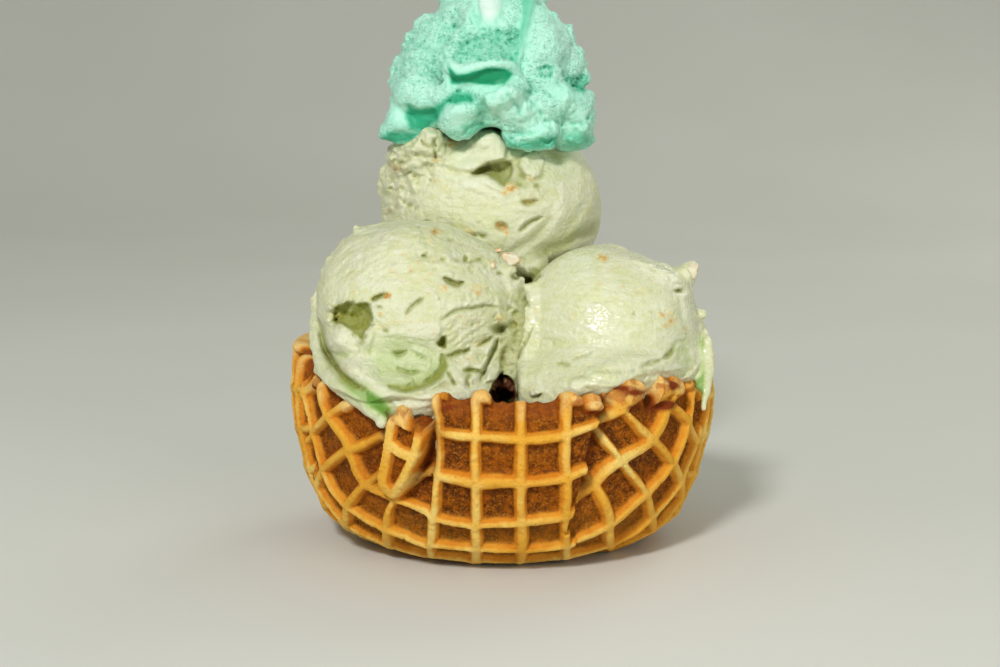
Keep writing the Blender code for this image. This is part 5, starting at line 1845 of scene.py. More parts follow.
    # skirt that hangs over the rim, with the knob above it
    pts = [unproject(697.0, 322, -13), unproject(703.0, 331, -14.5), on_wall(707.6, 343, 60.0),
           on_wall(709.6, 357, 60.6), on_wall(709.6, 371, 61.2), on_wall(707.6, 385, 61.9),
           on_wall(705.0, 398, 62.3), on_wall(703.6, 409, 62.4)]
    vol.rope(pts, (0.9, 1.15, 1.35, 1.4, 1.3, 1.15, 0.95, 0.6), 1, 0.6, rough=0.15)
    vol.rope([unproject(694, 326, -12), unproject(699.5, 340, -12), on_wall(702.5, 356, 58.6),
              on_wall(702.0, 372, 59.2), on_wall(700.5, 386, 60.4)],
             (2.4, 2.6, 2.5, 2.2, 1.3), 1, 1.4)
    vol.blob(unproject(702.0, 314.5, -14), (1.6, 1.6, 1.25), 1, 0.6)
    vol.rope([unproject(693, 311.0, -13), unproject(701.0, 314.0, -14)], (1.6, 1.1), 1, 0.8)
    # a run between two nubs of the rim
    vol.rope([on_wall(650.0, 381, 52.5), on_wall(650.0, 389, 53.3), on_wall(650.3, 397, 53.7),
              on_wall(651.0, 405, 53.8)], (2.8, 2.3, 1.9, 1.4), 1, 1.4)

    def fine(v, n):
        return (0.04 * NOISE(v[:, 0] / 1.6, v[:, 1] / 1.6, v[:, 2] / 1.6)
                + 0.02 * NOISE2(v[:, 0] / 0.9, v[:, 1] / 0.9, v[:, 2] / 0.9))
    return skin("ice_right", vol, R, RIGHT_C, RIGHT_R, fine, hidden=unseen_front)


def build_top():
    vol = Volume(spaced([(-42, 42, H * 1.03)]), spaced([(-14, 20, H * 1.03), (20, 54, 0.75)]),
                 spaced([(5, 50, 1.5), (50, 62, 0.7), (62, 121, H * 1.03)]))
    ball = vol.ball(TOP_C, TOP_R)
    cx, cy, cz = ((vol.X - TOP_C[0]) / 32, (vol.Y - TOP_C[1]) / 30.5,
                  (vol.Z - TOP_C[2]) / 27.6)
    for (dx, dy, dz), amount, tight in (((-0.62, -0.35, 0.72), 1.6, 6.0),
                                        ((0.75, -0.2, 0.62), 0.5, 5.0),
                                        ((-0.95, -0.2, 0.15), -0.6, 5.0)):
        ball = ball - amount * np.exp(-tight * ((cx - dx) ** 2 + (cy - dy) ** 2 + (cz - dz) ** 2))
    mound = vol.ball((0.0, 25.0, 44.0), (39.0, 26.0, 38.0))
    vol.F = smin(ball, mound, 2.0).astype(f32)
    # broken upper left, stacked lumps up to the topping
    for px, py, y, r, h in ((407, 159, 12, 4.3, 4.2), (410, 152, 6, 4.3, 4.3),
                            (423, 147, 2, 4.0, 4.2), (430, 141, -1, 3.6, 4.4),
                            (401, 177, 16, 4.5, 4.4), (420, 160, 4, 5.6, 5.0),
                            (414, 172, 9, 5.6, 5.0)):
        vol.blob(unproject(px, py, y), (r, r * 1.2, h), 1, 3.0, rough=0.6)
    # the first flap stands off the ball
    vol.blob(unproject(488, 146, -0.5), (5.6, 4.2, 4.6), 1, 1.2, (0, 12, 0), 0.3)
    for px, py, y, r in ((393, 150.5, 12, 1.4), (398, 147, 10, 1.6), (404, 145.5, 6, 1.5),
                         (410, 143.5, 4, 1.7), (417, 138, 1, 1.6), (423, 132.5, -1, 1.5),
                         (429, 130.5, -2, 1.4), (391, 157, 14, 1.3), (390.6, 166, 16, 1.3),
                         (385.5, 175, 18, 1.3), (383.5, 184, 19, 1.1), (382.4, 191, 20, 1.0),
                         (386, 170, 17, 1.2), (419, 147, -3, 1.5), (412, 152, -1, 1.4),
                         (404, 158, 2, 1.4), (397, 166, 6, 1.3)):
        vol.blob(unproject(px, py, y), (r, r * 1.2, r), 1, 0.9, rough=0.5)
    keep_top = sstep(vol.Z, 100.0, 108.0)
    vol.F += ((-0.7 * vol.weave(13.0, 51) - 0.25 * vol.weave(6.0, 52))
              * (1 - 0.85 * keep_top)).astype(f32)
    vol.F = smax(vol.F, room(vol).astype(f32), 1.2)
    for n, o in ((N_LT, O_LT), (N_RT, O_RT)):
        lim = np.minimum(-plane(vol, n, o), -(vol.Y - 8.0) + 0 * vol.Z) - 0.6
        vol.F = smax(vol.F, lim.astype(f32), 1.4)
    # it flares out where it meets the other two
    vol.rope([unproject(528, 264, -4.5), unproject(536, 269, -6.5), unproject(541, 275, -9)],
             (3.6, 4.2, 3.4), 1, 4.0, rough=0.3)

    R = Relief(375, 120, 6.672, 1568, 1230, 23)
    g1, g2, g3 = R.grain(64.0, 1.0), R.grain(26.0, 7.0), R.grain(13.0, 17.0, 2)
    # crumbly left side and upper left lumps, painted light on the lumps and painted shade in the
    # cracks
    crumbs = R.mask([(0, 60), (240, 60), (420, 40), (470, 180), (420, 300), (280, 360),
                     (200, 520), (160, 680), (0, 700)], 60)
    R.h += crumbs * (0.60 * g1 + 0.50 * g2 + 0.2 * g3)
    scatter(R, [(40, 200), (250, 60), (430, 50), (470, 300), (420, 420), (240, 620),
                (40, 680)], 170, (12, 26), (-0.8, 1.0), 31, painted_shade=0.05, pale_and_painted_light=0.15)
    scatter(R, [(240, 420), (640, 380), (900, 600), (900, 780), (600, 860), (200, 760)],
            130, (12, 20), (-0.4, 0.4), 32, pale_and_painted_light=0.1)
    mid = R.mask([(180, 380), (620, 380), (900, 600), (900, 780), (700, 860), (300, 800),
                  (120, 700)], 70)
    s1 = R.streaks(14, 26.0, 6.0)
    R.h += mid * (0.16 * s1 + 0.13 * g2 + 0.16 * g1)
    # the smooth dome at the right, drawn in long sweeps
    cxx, cyy = 900.0, 330.0
    rad = np.hypot(R.gx - cxx, (R.gy - cyy) * 0.95)
    ang = np.arctan2(R.gy - cyy, R.gx - cxx)
    sweep = R.noise(rad / 46.0, ang * 1.5, 2.0) + 0.5 * R.noise(rad / 20.0, ang * 2.5, 6.0)
    dome = R.mask([(1100, 180), (1540, 200), (1560, 900), (1100, 1080), (900, 960),
                   (1080, 640), (1120, 400)], 80)
    R.h += dome * 0.14 * sweep
    for x, y, r, h in ((360, 110, 46, 1.0), (300, 190, 44, 0.9), (420, 90, 34, 0.8),
                       (380, 200, 40, 0.9), (230, 200, 34, 0.7), (160, 240, 34, .6),
                       (330, 280, 34, .9), (110, 330, 30, .6), (190, 330, 34, .8),
                       (260, 300, 30, .7), (80, 430, 28, .8), (140, 430, 30, .5),
                       (390, 300, 40, .8), (440, 330, 50, .5), (470, 130, 40, .8)):
        R.dab(x, y, r, r * 0.8, h=h, pale_and_painted_light=0.35)
    for pts, w, d in (([(300, 130), (340, 175), (420, 178)], 9, .9),
                      ([(250, 240), (310, 230), (350, 250)], 9, .8),
                      ([(400, 120), (398, 200), (410, 270)], 9, .9),
                      ([(150, 290), (200, 280), (250, 260)], 9, .7),
                      ([(120, 390), (180, 380), (240, 350)], 9, .6)):
        R.stroke(pts, w, -d, painted_shade=0.5)
    # first flap: a slab standing off the ball, painted a little lighter
    R.patch([(430, 300), (470, 235), (530, 190), (620, 150), (700, 96), (790, 66),
             (830, 92), (868, 140), (882, 190), (868, 252), (800, 276), (735, 300),
             (668, 346), (600, 352), (520, 332)], h=1.3, edge=26, pale_and_painted_light=0.15, soft=30)
    b, g = R.patch([(560, 210), (700, 120), (790, 74), (832, 96), (866, 140), (882, 190),
                    (868, 250), (800, 276), (735, 300), (662, 346), (560, 340)], edge=8)
    R.h[b] += 1.1 * g * sstep(R.gx[b], 560.0, 740.0)
    frayed(R, [(760, 70), (830, 92), (868, 140), (882, 190), (868, 252), (800, 276),
               (735, 300), (668, 346), (600, 352)], 13, 0.55, 33, every=15)
    R.h += (R.mask([(430, 300), (530, 190), (790, 70), (880, 190), (735, 300), (600, 350)], 20)
            * (0.16 * R.streaks(-24, 13.0, 7.0, 3.0) + 0.12 * g2))
    for k in range(5):
        R.stroke([(470 + 22 * k, 300 - 10 * k), (600 + 30 * k, 290 - 22 * k),
                  (760 + 14 * k, 225 - 24 * k)], 9, -0.22)
    R.stroke([(640, 160), (720, 110), (800, 84)], 18, 0.4)
    # cavity under it, open to the right, with painted shade
    R.patch([(640, 356), (700, 322), (760, 296), (860, 262), (905, 280), (920, 340),
             (900, 400), (862, 446), (815, 408), (752, 372), (700, 362)],
            h=-1.5, edge=12, bowl=-0.9, painted_shade=0.85, soft=14)
    R.dab(712, 338, 64, 22, h=-3.2, turn=-20, painted_shade=1.3, flat=1.6)
    R.dab(790, 330, 70, 44, h=-1.8, turn=35, painted_shade=1.0, flat=1.3)
    frayed(R, [(900, 300), (915, 360), (900, 420), (860, 446)], 15, 0.5, 34, every=14)
    R.patch([(760, 300), (850, 268), (960, 250), (1000, 330), (1040, 420), (1000, 460),
             (930, 420), (880, 420), (830, 400)], h=-1.0, edge=30, painted_shade=0.45, soft=40)
    R.stroke([(905, 270), (900, 340), (880, 420)], 26, -0.8, painted_shade=0.6)
    # slab below it, with painted light
    R.patch([(470, 370), (600, 362), (740, 372), (806, 410), (858, 455), (890, 520),
             (860, 560), (700, 500), (560, 450)], h=0.6, edge=36, pale_and_painted_light=0.5, soft=40)
    R.patch([(640, 364), (740, 370), (806, 408), (858, 455), (870, 500), (780, 460),
             (680, 410)], h=0.6, edge=14, pale_and_painted_light=0.3, soft=20)
    # second flap: a round plate with painted light, and its painted shadow below
    R.patch([(952, 300), (975, 250), (1020, 212), (1080, 215), (1125, 255), (1130, 310),
             (1105, 365), (1060, 388), (1005, 362), (968, 340)], h=0.75, edge=16, pale_and_painted_light=0.3)
    frayed(R, [(952, 300), (975, 250), (1020, 212), (1080, 215), (1125, 255), (1130, 310),
               (1105, 365), (1060, 388), (1005, 362), (968, 340), (952, 300)], 13, 0.6, 35,
           every=14)
    R.stroke([(950, 318), (985, 362), (1050, 402), (1110, 384), (1135, 330)], 14, -0.7,
             painted_shade=0.6)
    R.dab(985, 375, 40, 24, h=-0.8, turn=35, painted_shade=0.9)
    scatter(R, [(960, 300), (1020, 220), (1120, 260), (1110, 360), (1000, 360)], 16,
            (12, 20), (-0.4, 0.4), 64)
    # rubble between the flaps: painted light on the lumps, painted shade in the dents
    for x, y, r, h in ((905, 445, 34, 1.0), (940, 480, 28, .8), (1010, 400, 30, 1.1),
                       (1060, 460, 40, .9), (1000, 470, 34, .7), (880, 490, 30, .8),
                       (960, 530, 34, .6), (1100, 500, 36, .5), (1030, 510, 26, .5)):
        R.dab(x, y, r, r * 0.8, h=h, pale_and_painted_light=0.2)
    R.dab(1082, 440, 22, 16, h=-1.0, painted_shade=1.0)
    R.dab(960, 430, 20, 14, h=-0.9, painted_shade=0.8)
    R.stroke([(975, 546), (1030, 552), (1085, 540)], 15, -1.5, painted_shade=0.9)
    R.stroke([(900, 590), (1000, 600), (1100, 590), (1180, 560)], 24, 0.5, pale_and_painted_light=0.6)
    # soft dent where the topping shades it
    R.dab(1205, 240, 60, 34, h=-0.9, turn=40, painted_shade=0.6)
    # pit with caramel stain and painted shade, and a bright caramel bit
    R.dab(845, 716, 42, 30, h=-2.4, turn=30, painted_shade=0.6, caramel=0.9, flat=1.5)
    R.dab(820, 690, 14, h=0.0, caramel=1.0)
    R.dab(870, 758, 20, 14, h=0.0, caramel=0.9)
    # groove and dints with painted shade, strokes with painted light
    R.stroke([(955, 742), (1000, 712), (1045, 676), (1120, 642)], 13, -1.6, painted_shade=0.75)
    R.stroke([(930, 760), (985, 690), (1060, 640), (1160, 610)], 24, 0.35, pale_and_painted_light=0.6)
    R.stroke([(880, 860), (940, 800), (1010, 760), (1100, 700)], 26, 0.35, pale_and_painted_light=0.9)
    for x, y, rx, ry, d in ((232, 566, 22, 14, 1.1), (270, 590, 18, 10, .7),
                            (110, 620, 20, 16, .8), (140, 590, 16, 16, .7),
                            (655, 770, 22, 14, 1.3), (712, 772, 24, 16, 1.5),
                            (500, 800, 30, 12, .8), (340, 680, 18, 10, .8),
                            (330, 912, 20, 12, .9), (560, 520, 30, 8, .3),
                            (700, 600, 30, 8, .3), (690, 690, 12, 10, .5),
                            (480, 480, 24, 8, .3), (290, 470, 14, 10, .4)):
        R.dab(x, y, rx, ry, h=-d, painted_shade=min(1.0, 0.6 * d))
    # sweeps at the lower right: bands of painted shade and painted light
    R.stroke([(1180, 650), (1110, 750), (1020, 830), (900, 890)], 34, -0.9, painted_shade=0.42)
    R.stroke([(1250, 420), (1262, 520), (1230, 640), (1140, 760), (1010, 860), (880, 905)],
             40, 0.55, pale_and_painted_light=0.9)
    R.stroke([(1500, 690), (1380, 770), (1240, 840), (1100, 890), (960, 930)], 46, -0.9,
             painted_shade=0.62)
    R.stroke([(1480, 790), (1330, 850), (1180, 910), (1060, 960), (960, 1000)], 38, 0.55,
             pale_and_painted_light=0.8)
    R.stroke([(1360, 900), (1240, 960), (1120, 1000), (990, 1060)], 38, -0.9, painted_shade=0.85)
    R.stroke([(1300, 880), (1180, 930), (1080, 960)], 20, -0.3, painted_shade=0.5)
    R.stroke([(1120, 1010), (1040, 1060), (980, 1100)], 30, -0.8, painted_shade=1.0)
    R.stroke([(1400, 560), (1330, 680), (1230, 780)], 40, -0.3, painted_shade=0.12)
    R.stroke([(1330, 360), (1350, 480), (1320, 600)], 50, 0.25)
    for x, y, r, c in ((520, 152, 40, 1.0), (545, 120, 26, .8), (404, 270, 28, .8),
                       (520, 150, 34, 1.0), (535, 165, 24, 1.0),
                       (150, 320, 50, .45), (230, 150, 40, .4), (410, 750, 70, .5),
                       (620, 745, 54, .5), (412, 408, 40, .4), (905, 450, 48, .9),
                       (870, 480, 36, .7), (1020, 545, 50, .5), (740, 560, 30, .35),
                       (590, 830, 26, .5), (650, 880, 36, .5), (100, 300, 40, .4),
                       (100, 590, 40, .4), (430, 60, 50, .5), (1030, 390, 26, .5),
                       (480, 450, 60, .25), (960, 940, 26, .6)):
        R.dab(x, y, r, r * 0.75, h=0.1 * c, caramel=c)

    back = vol.weave(9.0, 57, (1.8, 1.8, 0.55))
    patchy = vol.weave(16.0, 58)
    crumb = vol.weave(2.8, 59) + 0.6 * vol.weave(1.4, 60)

    def extra(x, y, z, w, px, py):
        tear = sstep(patchy[vol.at], 0.0, 0.4)
        quiet = 1 - 0.6 * sstep(z, 104, 110)
        return (0.50 * back[vol.at] + tear * (0.60 * crumb[vol.at] - 0.25)) * (1 - w) * quiet
    apply_relief(vol, R, TOP_C, TOP_R, extra=extra)

    def fine(v, n):
        return (0.06 * NOISE(v[:, 0] / 1.5, v[:, 1] / 1.5, v[:, 2] / 1.5)
                + 0.04 * NOISE2(v[:, 0] / 0.9, v[:, 1] / 0.9, v[:, 2] / 0.9))
    return skin("ice_top", vol, R, TOP_C, TOP_R, fine,
                hidden=lambda v: (v[:, 2] < 40.0) | (v[:, 2] > 114.5) & (abs(v[:, 0] + 4) < 12)
                | (v[:, 2] < 62.0) & (v[:, 1] < 12.0))


def ice_material(name, gloss=0.0, rough=0.42, grit=1.0):
    m = Nodes(name)
    pos = m.position()
    hollow, deep = m.attr("hollow"), m.attr("deep")
    painted_shade, cara = m.attr("painted_shade"), m.attr("caramel")
    pale_and_painted_light, green = m.attr("pale_and_painted_light"), m.attr("green")
    broad = m.noise(45.0, 2.0, vector=pos)
    mid = m.noise(190.0, 3.0, 0.6, vector=pos)
    drawn = m.noise(1.0, 4.0, 0.6, vector=m.scaled(pos, (170.0, 170.0, 620.0)))
    grain = m.noise(800.0, 4.0, 0.65, vector=pos)
    fleck = m.noise(520.0, 3.0, 0.6, vector=pos)
    col = m.mix(m.map(broad, 0.35, 0.65), rgb(217, 220, 184), rgb(222, 225, 194))
    col = m.mix(m.math("MULTIPLY", m.map(mid, 0.45, 0.66), 0.7), col, rgb(212, 215, 166))
    col = m.mix(m.math("MULTIPLY", m.map(drawn, 0.50, 0.68), 0.55), col, rgb(229, 231, 211))
    col = m.mix(m.math("MULTIPLY", m.map(drawn, 0.46, 0.30), 0.45), col, rgb(196, 203, 148))
    col = m.mix(m.math("MULTIPLY", m.map(grain, 0.54, 0.66), 0.35), col, rgb(233, 234, 218))
    # pale tone and painted light where the relief marks it: lumps, ridges, slabs and flaps
    col = m.mix(m.math("MULTIPLY", pale_and_painted_light, 0.55, clamp=True), col, rgb(231, 233, 216))
    # painted light: paler on the broad bulges
    col = m.mix(m.math("MULTIPLY", m.map(deep, -0.15, -0.7), 0.5), col, rgb(231, 233, 213))
    # painted shade: greener and darker in the hollows
    col = m.mix(m.math("MULTIPLY", m.map(deep, 0.08, 0.85), 0.74), col, rgb(180, 186, 108))
    col = m.mix(m.math("MULTIPLY", m.map(hollow, 0.10, 0.85), 0.66), col, rgb(164, 170, 80))
    # a greener tint; above 1 it turns dark green, painted shade in the creases beside the skirts
    col = m.mix(m.math("MULTIPLY", green, m.map(mid, 0.30, 0.60, 0.45, 0.75), clamp=True),
                col, rgb(172, 200, 126))
    col = m.mix(m.math("MULTIPLY", m.math("SUBTRACT", green, 1.0, clamp=True), 1.2, clamp=True),
                col, rgb(96, 150, 44))
    # painted shade: olive in grooves, pits, dents and creases; above 1.15 dark brown, painted shade at
    # the gap between the front scoops
    shade_mix = m.math("MULTIPLY", painted_shade, m.map(mid, 0.30, 0.55, 0.75, 1.0), clamp=True)
    col = m.mix(m.math("MULTIPLY", shade_mix, 0.88), col, rgb(138, 144, 28))
    col = m.mix(m.math("SUBTRACT", painted_shade, 1.15, clamp=True), col, rgb(88, 42, 14))
    # nut and caramel dust: a soft stain with grains in it
    col = m.mix(m.math("MULTIPLY", m.map(cara, 0.0, 0.8), m.map(mid, 0.3, 0.6, 0.25, 0.6)),
                col, rgb(228, 205, 138))
    dust = m.math("MULTIPLY", m.map(cara, 0.10, 0.65), m.map(fleck, 0.47, 0.57), clamp=True)
    col = m.mix(m.math("MULTIPLY", dust, 0.80), col, rgb(214, 166, 84))
    core = m.math("MULTIPLY", m.map(cara, 0.45, 0.95), m.map(fleck, 0.58, 0.66), clamp=True)
    col = m.mix(m.math("MULTIPLY", core, 0.65), col, rgb(182, 112, 44))
    few = m.noise(95.0, 2.0, vector=pos)
    warm = m.math("MULTIPLY", m.map(few, 0.55, 0.66), m.map(fleck, 0.52, 0.62), clamp=True)
    col = m.mix(m.math("MULTIPLY", warm, 0.38 * grit), col, rgb(230, 196, 140))
    rosy = m.math("MULTIPLY", m.map(few, 0.44, 0.36), m.map(fleck, 0.54, 0.62), clamp=True)
    col = m.mix(m.math("MULTIPLY", rosy, 0.30 * grit), col, rgb(232, 206, 176))
    h = m.math("ADD", m.math("MULTIPLY", grain, 0.8), m.math("MULTIPLY", mid, 0.5))
    h = m.math("ADD", h, m.math("MULTIPLY", drawn, 0.5))
    bump = m.bump(h, 0.0010 * (0.25 + 0.75 * grit), 0.8)
    r = m.map(grain, 0.35, 0.65, rough - 0.09, rough + 0.08)
    m.set(Base_Color=col, Roughness=r, Normal=bump)
    s = m.shader.inputs
    s["Subsurface Weight"].default_value = 0.22
    s["Subsurface Radius"].default_value = (1.0, 0.85, 0.40)
    s["Subsurface Scale"].default_value = 0.0014
    s["Specular IOR Level"].default_value = 0.45
    if gloss:
        s["Coat Weight"].default_value = gloss
        s["Coat Roughness"].default_value = 0.12
    return m.mat


# =========================================================== whipped topping
TOPPING_LOBES = [
    ((-4.0, 18.0, 128.0), (22.0, 20.0, 17.0)),
    ((-18.0, 28.0, 121.0), (12.0, 13.0, 10.0)),
    ((9.0, 31.0, 120.5), (13.0, 12.0, 10.0)),
    ((-5.0, 29.0, 136.0), (16.0, 12.5, 12.5)),
    ((-3.0, 17.0, 146.0), (13.4, 12.0, 12.0)),
    ((-2.5, 18.0, 156.0), (8.0, 7.5, 8.6)),
]


def build_topping():
    step = 0.475
    vol = Volume(spaced([(-41, 33, step)]), spaced([(-22, 20, step), (20, 48, 0.72)]),
                 spaced([(104, 168, step)]))

    def P(X, Y, y):
        """A place given on the local grid of this part's relief."""
        return unproject(370 + X / 6.533, Y / 6.533, y)

    F = None
    for c, h in TOPPING_LOBES:
        f = vol.ball(c, h)
        F = f if F is None else smin(F, f, 2.2)
    for X, Y, y, h in ((490, 325, 9, (10.3, 12.0, 10.2)), (395, 450, 9, (10.2, 12.5, 8.8)),
                       (1125, 310, 7, (9.2, 12.0, 9.9)), (1120, 300, 0, (6.4, 9.0, 8.4)),
                       (1245, 430, 8, (6.9, 9.0, 6.2)), (560, 130, 8, (5.0, 9.0, 5.0)),
                       (255, 480, 8, (4.4, 7.0, 4.4))):
        F = smin(F, vol.ball(P(X, Y, y), h), 2.0)
    vol.F = F
    vol.F += (-0.8 * vol.weave(9.0, 71) - 0.3 * vol.weave(4.5, 72)).astype(f32)

    # lower tier: lobes pushed out over the scoop
    vol.blob(P(300, 800, 5), (8.6, 9.0, 4.4), 1, 1.6, (0, 18, -20), 0.5)       # wedge
    vol.rope([P(150, 870, 5), P(250, 880, 2), P(340, 865, 0)], (2.2, 3.0, 2.6), 1, 1.6,
             rough=0.3)
    vol.rope([P(190, 650, 5), P(185, 720, 2), P(180, 790, 1), P(130, 860, 3), P(80, 885, 5)],
             (1.9, 2.4, 2.9, 2.4, 1.2), 1, 1.4)
    vol.rope([P(150, 650, 6), P(148, 700, 5)], (1.0, 0.8), 1, 0.8)
    vol.blob(P(590, 765, -4), (7.6, 7.5, 6.0), 1, 1.6, (0, 24, 0), 0.5)        # left centre
    vol.rope([P(505, 722, -11.5), P(580, 715, -13), P(665, 712, -13)], (2.4, 2.6, 2.0), 1,
             2.0, rough=0.2)
    vol.blob(P(575, 775, -8.5), (5.6, 4.6, 4.2), 1, 2.6)
    vol.rope([P(520, 800, -9), P(575, 855, -8), P(650, 850, -8)], (2.4, 2.6, 2.2), 1, 1.5,
             rough=0.4)
    vol.blob(P(940, 735, -1), (12.0, 9.5, 9.6), 1, 2.0, (0, 8, 0), 0.5)        # centre right
    vol.blob(P(1070, 870, -2), (8.0, 8.0, 4.2), 1, 1.5, (0, -6, 0), 0.5)
    vol.blob(P(885, 690, -7.5), (8.0, 6.2, 5.2), 1, 3.0, (0, 10, 0), 0.3)
    vol.rope([P(870, 850, -8), P(930, 920, -7), P(1040, 950, -6), P(1170, 945, -5)],
             (1.8, 2.0, 1.9, 1.6), 1, 1.2, rough=0.4)
    vol.rope([P(700, 620, -12), P(800, 640, -14), P(900, 610, -14.5), P(980, 570, -12)],
             (2.6, 3.2, 3.2, 2.4), 1, 2.6, rough=0.3)
    vol.blob(P(1300, 790, 6), (6.2, 9.6, 7.2), 1, 2.0, (0, -8, 20), 0.25)      # right
    vol.blob(P(1290, 890, 6), (6.0, 8.0, 3.6), 1, 1.8, (0, 0, 0), 0.35)
    vol.blob(P(1322, 735, 4), (5.5, 7.5, 6.2), 1, 3.0, (0, 0, 0), 0.2)
    vol.rope([P(1150, 565, -5.5), P(1250, 610, -4.5), P(1340, 645, -2), P(1420, 660, 3)],
             (3.4, 3.6, 3.0, 1.6), 1, 3.0, rough=0.35)
    vol.blob(P(1180, 680, -4), (5.6, 5.5, 5.0), 1, 2.5, (0, 0, 0), 0.4)
    vol.blob(P(1345, 530, 8), (3.0, 4.0, 3.0), 1, 1.0)
    # the right lobe lies flush with the ribbon beside it
    vol.rope([P(1100, 90, -1), P(1080, 190, -3.5), P(1060, 290, -5.2), P(1045, 380, -6.6),
              P(1040, 470, -7.4)], (2.4, 3.0, 3.2, 3.2, 2.8), 1, 3.0, rough=0.3)
    vol.rope([P(1250, 940, 2), P(1370, 945, 5), P(1440, 925, 8)], (1.8, 1.6, 0.9), 1, 1.0,
             rough=0.3)
    # lower lip of the left lobe, scalloped
    vol.rope([P(195, 570, 3), P(240, 625, -1), P(330, 662, -4.5), P(405, 645, -7),
              P(465, 605, -9.5), P(515, 575, -11)], (2.6, 2.8, 3.0, 2.6, 2.1, 1.8), 1, 3.0,
             rough=0.45)
    vol.blob(P(335, 590, -2), (7.4, 6.8, 5.6), 1, 3.0, (0, 0, 0), 0.3)
    vol.blob(P(590, 640, -8.5), (5.6, 4.6, 3.6), 1, 1.5)
    vol.blob(P(1330, 570, 12), (3.2, 5.0, 3.2), 1, 1.0)
    # left lobe's inner border running up to the crown
    vol.rope([P(505, 390, -8), P(560, 310, -8), P(620, 230, -7), P(660, 140, -4),
              P(640, 60, 1)], (2.6, 3.0, 3.2, 3.2, 3.0), 1, 3.0, rough=0.4)

    # hollow in the middle, under the tongue
    vol.blob(P(775, 360, -5.5), (9.0, 6.5, 5.5), 1, 2.0)
    vol.blob(P(775, 250, -2.6), (9.0, 5.6, 6.5), 1, 2.0)
    vol.blob(P(768, 238, -5.5), (5.6, 3.6, 3.0), 1, 2.5)
    vol.blob(P(928, 290, -13.0), (1.6, 2.6, 3.6), -1, 2.0, (0, 0, 0), 0.3)
    # shaded hollow between the left lobe's lip and the lower lobes
    vol.rope([P(228, 722, -6), P(305, 785, -9.5), P(385, 778, -12), P(455, 718, -13.5),
              P(535, 655, -15), P(640, 640, -15.5)], (1.9, 3.0, 2.9, 1.9, 1.6, 1.3), -1, 0.8,
             rough=0.2)
    vol.rope([P(300, 790, -6), P(370, 780, -8)], (2.6, 2.8), -1, 1.6)
    vol.blob(P(392, 772, -1.0), (3.8, 3.8, 3.2), 1, 1.4)
    # under the right lobe
    vol.rope([P(1285, 560, 0), P(1340, 585, 2), P(1400, 592, 4)], (0.8, 1.1, 1.0), -1, 0.8,
             rough=0.3)
    vol.blob(P(1150, 492, -6.5), (4.0, 3.6, 2.6), 1, 2.5)
    vol.rope([P(1235, 660, -13), P(1228, 760, -14), P(1240, 880, -13), P(1245, 950, -11)],
             (0.7, 1.0, 1.4, 1.3), -1, 1.2)
    vol.rope([P(800, 810, -12), P(765, 745, -13.4), P(735, 690, -14.2), P(705, 640, -17.0)],
             (1.5, 1.1, 0.9, 0.7), -1, 1.2)

    # the curled ribbon across the middle
    body = [P(530, 480, -9.5), P(620, 495, -11), P(740, 480, -11.5), P(850, 478, -11),
            P(930, 495, -9.5)]
    vol.rope(body, (2.6, 3.2, 3.4, 3.4, 2.6), 1, 2.0)
    vol.rope([P(500, 430, -13.8), P(520, 480, -15.8), P(570, 515, -16.8), P(690, 500, -17.4),
              P(800, 496, -17.4), P(880, 500, -16.2)], (1.0, 1.7, 2.2, 2.6, 2.7, 1.8), -1, 0.8)
    vol.rope([P(515, 550, -14.6), P(560, 556, -15.6), P(680, 556, -16.2), P(770, 574, -16.4),
              P(860, 568, -15.2)], (1.0, 1.3, 1.3, 1.4, 1.0), -1, 0.5)
    lip = [P(495, 385, -9.5), P(520, 425, -12), P(560, 455, -13.8), P(612, 463, -14.8),
           P(668, 448, -15.1), P(720, 426, -15.2), P(780, 408, -15.3), P(850, 405, -15.0),
           P(905, 421, -13.8), P(942, 458, -12), P(962, 500, -10.5)]
    vol.rope(lip, (1.5, 2.0, 2.1, 2.1, 2.0, 1.9, 1.9, 1.9, 1.8, 1.7, 1.4), 1, 0.9, rough=0.2)
    # ribbon that runs down from the crown on the right
    vol.rope([P(1040, -90, 5), P(1045, -30, 1), P(1040, 60, -3), P(1022, 150, -5.5),
              P(1000, 250, -8), P(975, 350, -10), P(952, 420, -11)],
             (2.0, 1.9, 1.8, 1.7, 1.5, 1.2, 0.9), 1, 1.0, rough=0.1)
    vol.rope([P(1000, -60, -3), P(992, 60, -6), P(975, 170, -9), P(950, 290, -12),
              P(930, 370, -13.5)], (1.1, 1.1, 1.0, 0.8, 0.5), -1, 0.8)
    for X, Y, y, r in ((945, 195, -4.6, 2.3), (948, 352, -9.0, 1.6), (987, 425, -8.0, 1.8)):
        vol.blob(P(X, Y, y), (r, r, r * 1.15), 1, 1.0)
    # tongue: smooth, hanging into the hollow; its brightness is a highlight painted further on
    vol.rope([P(775, -120, 6), P(775, -40, 1), P(778, 40, -3), P(785, 110, -6),
              P(785, 150, -7)], (5.4, 5.0, 4.4, 3.6, 2.6), 1, 2.2)
    vol.rope([P(900, -60, 4), P(920, 30, 0), P(920, 110, -4), P(880, 180, -7)],
             (3.6, 3.3, 2.8, 1.9), 1, 2.0, rough=0.4)
    vol.rope([P(692, -60, -2), P(696, 60, -6), P(704, 140, -9)], (0.7, 0.9, 0.7), -1, 1.0)
    # the middle's lower edge rises and shows the scoop below
    for X, Y, r in ((702, 908, 1.5), (752, 885, 2.2), (800, 884, 2.5), (838, 930, 1.8)):
        vol.rope([P(X, Y, -19), P(X, Y, 6)], r, -1, 0.8, rough=0.3)
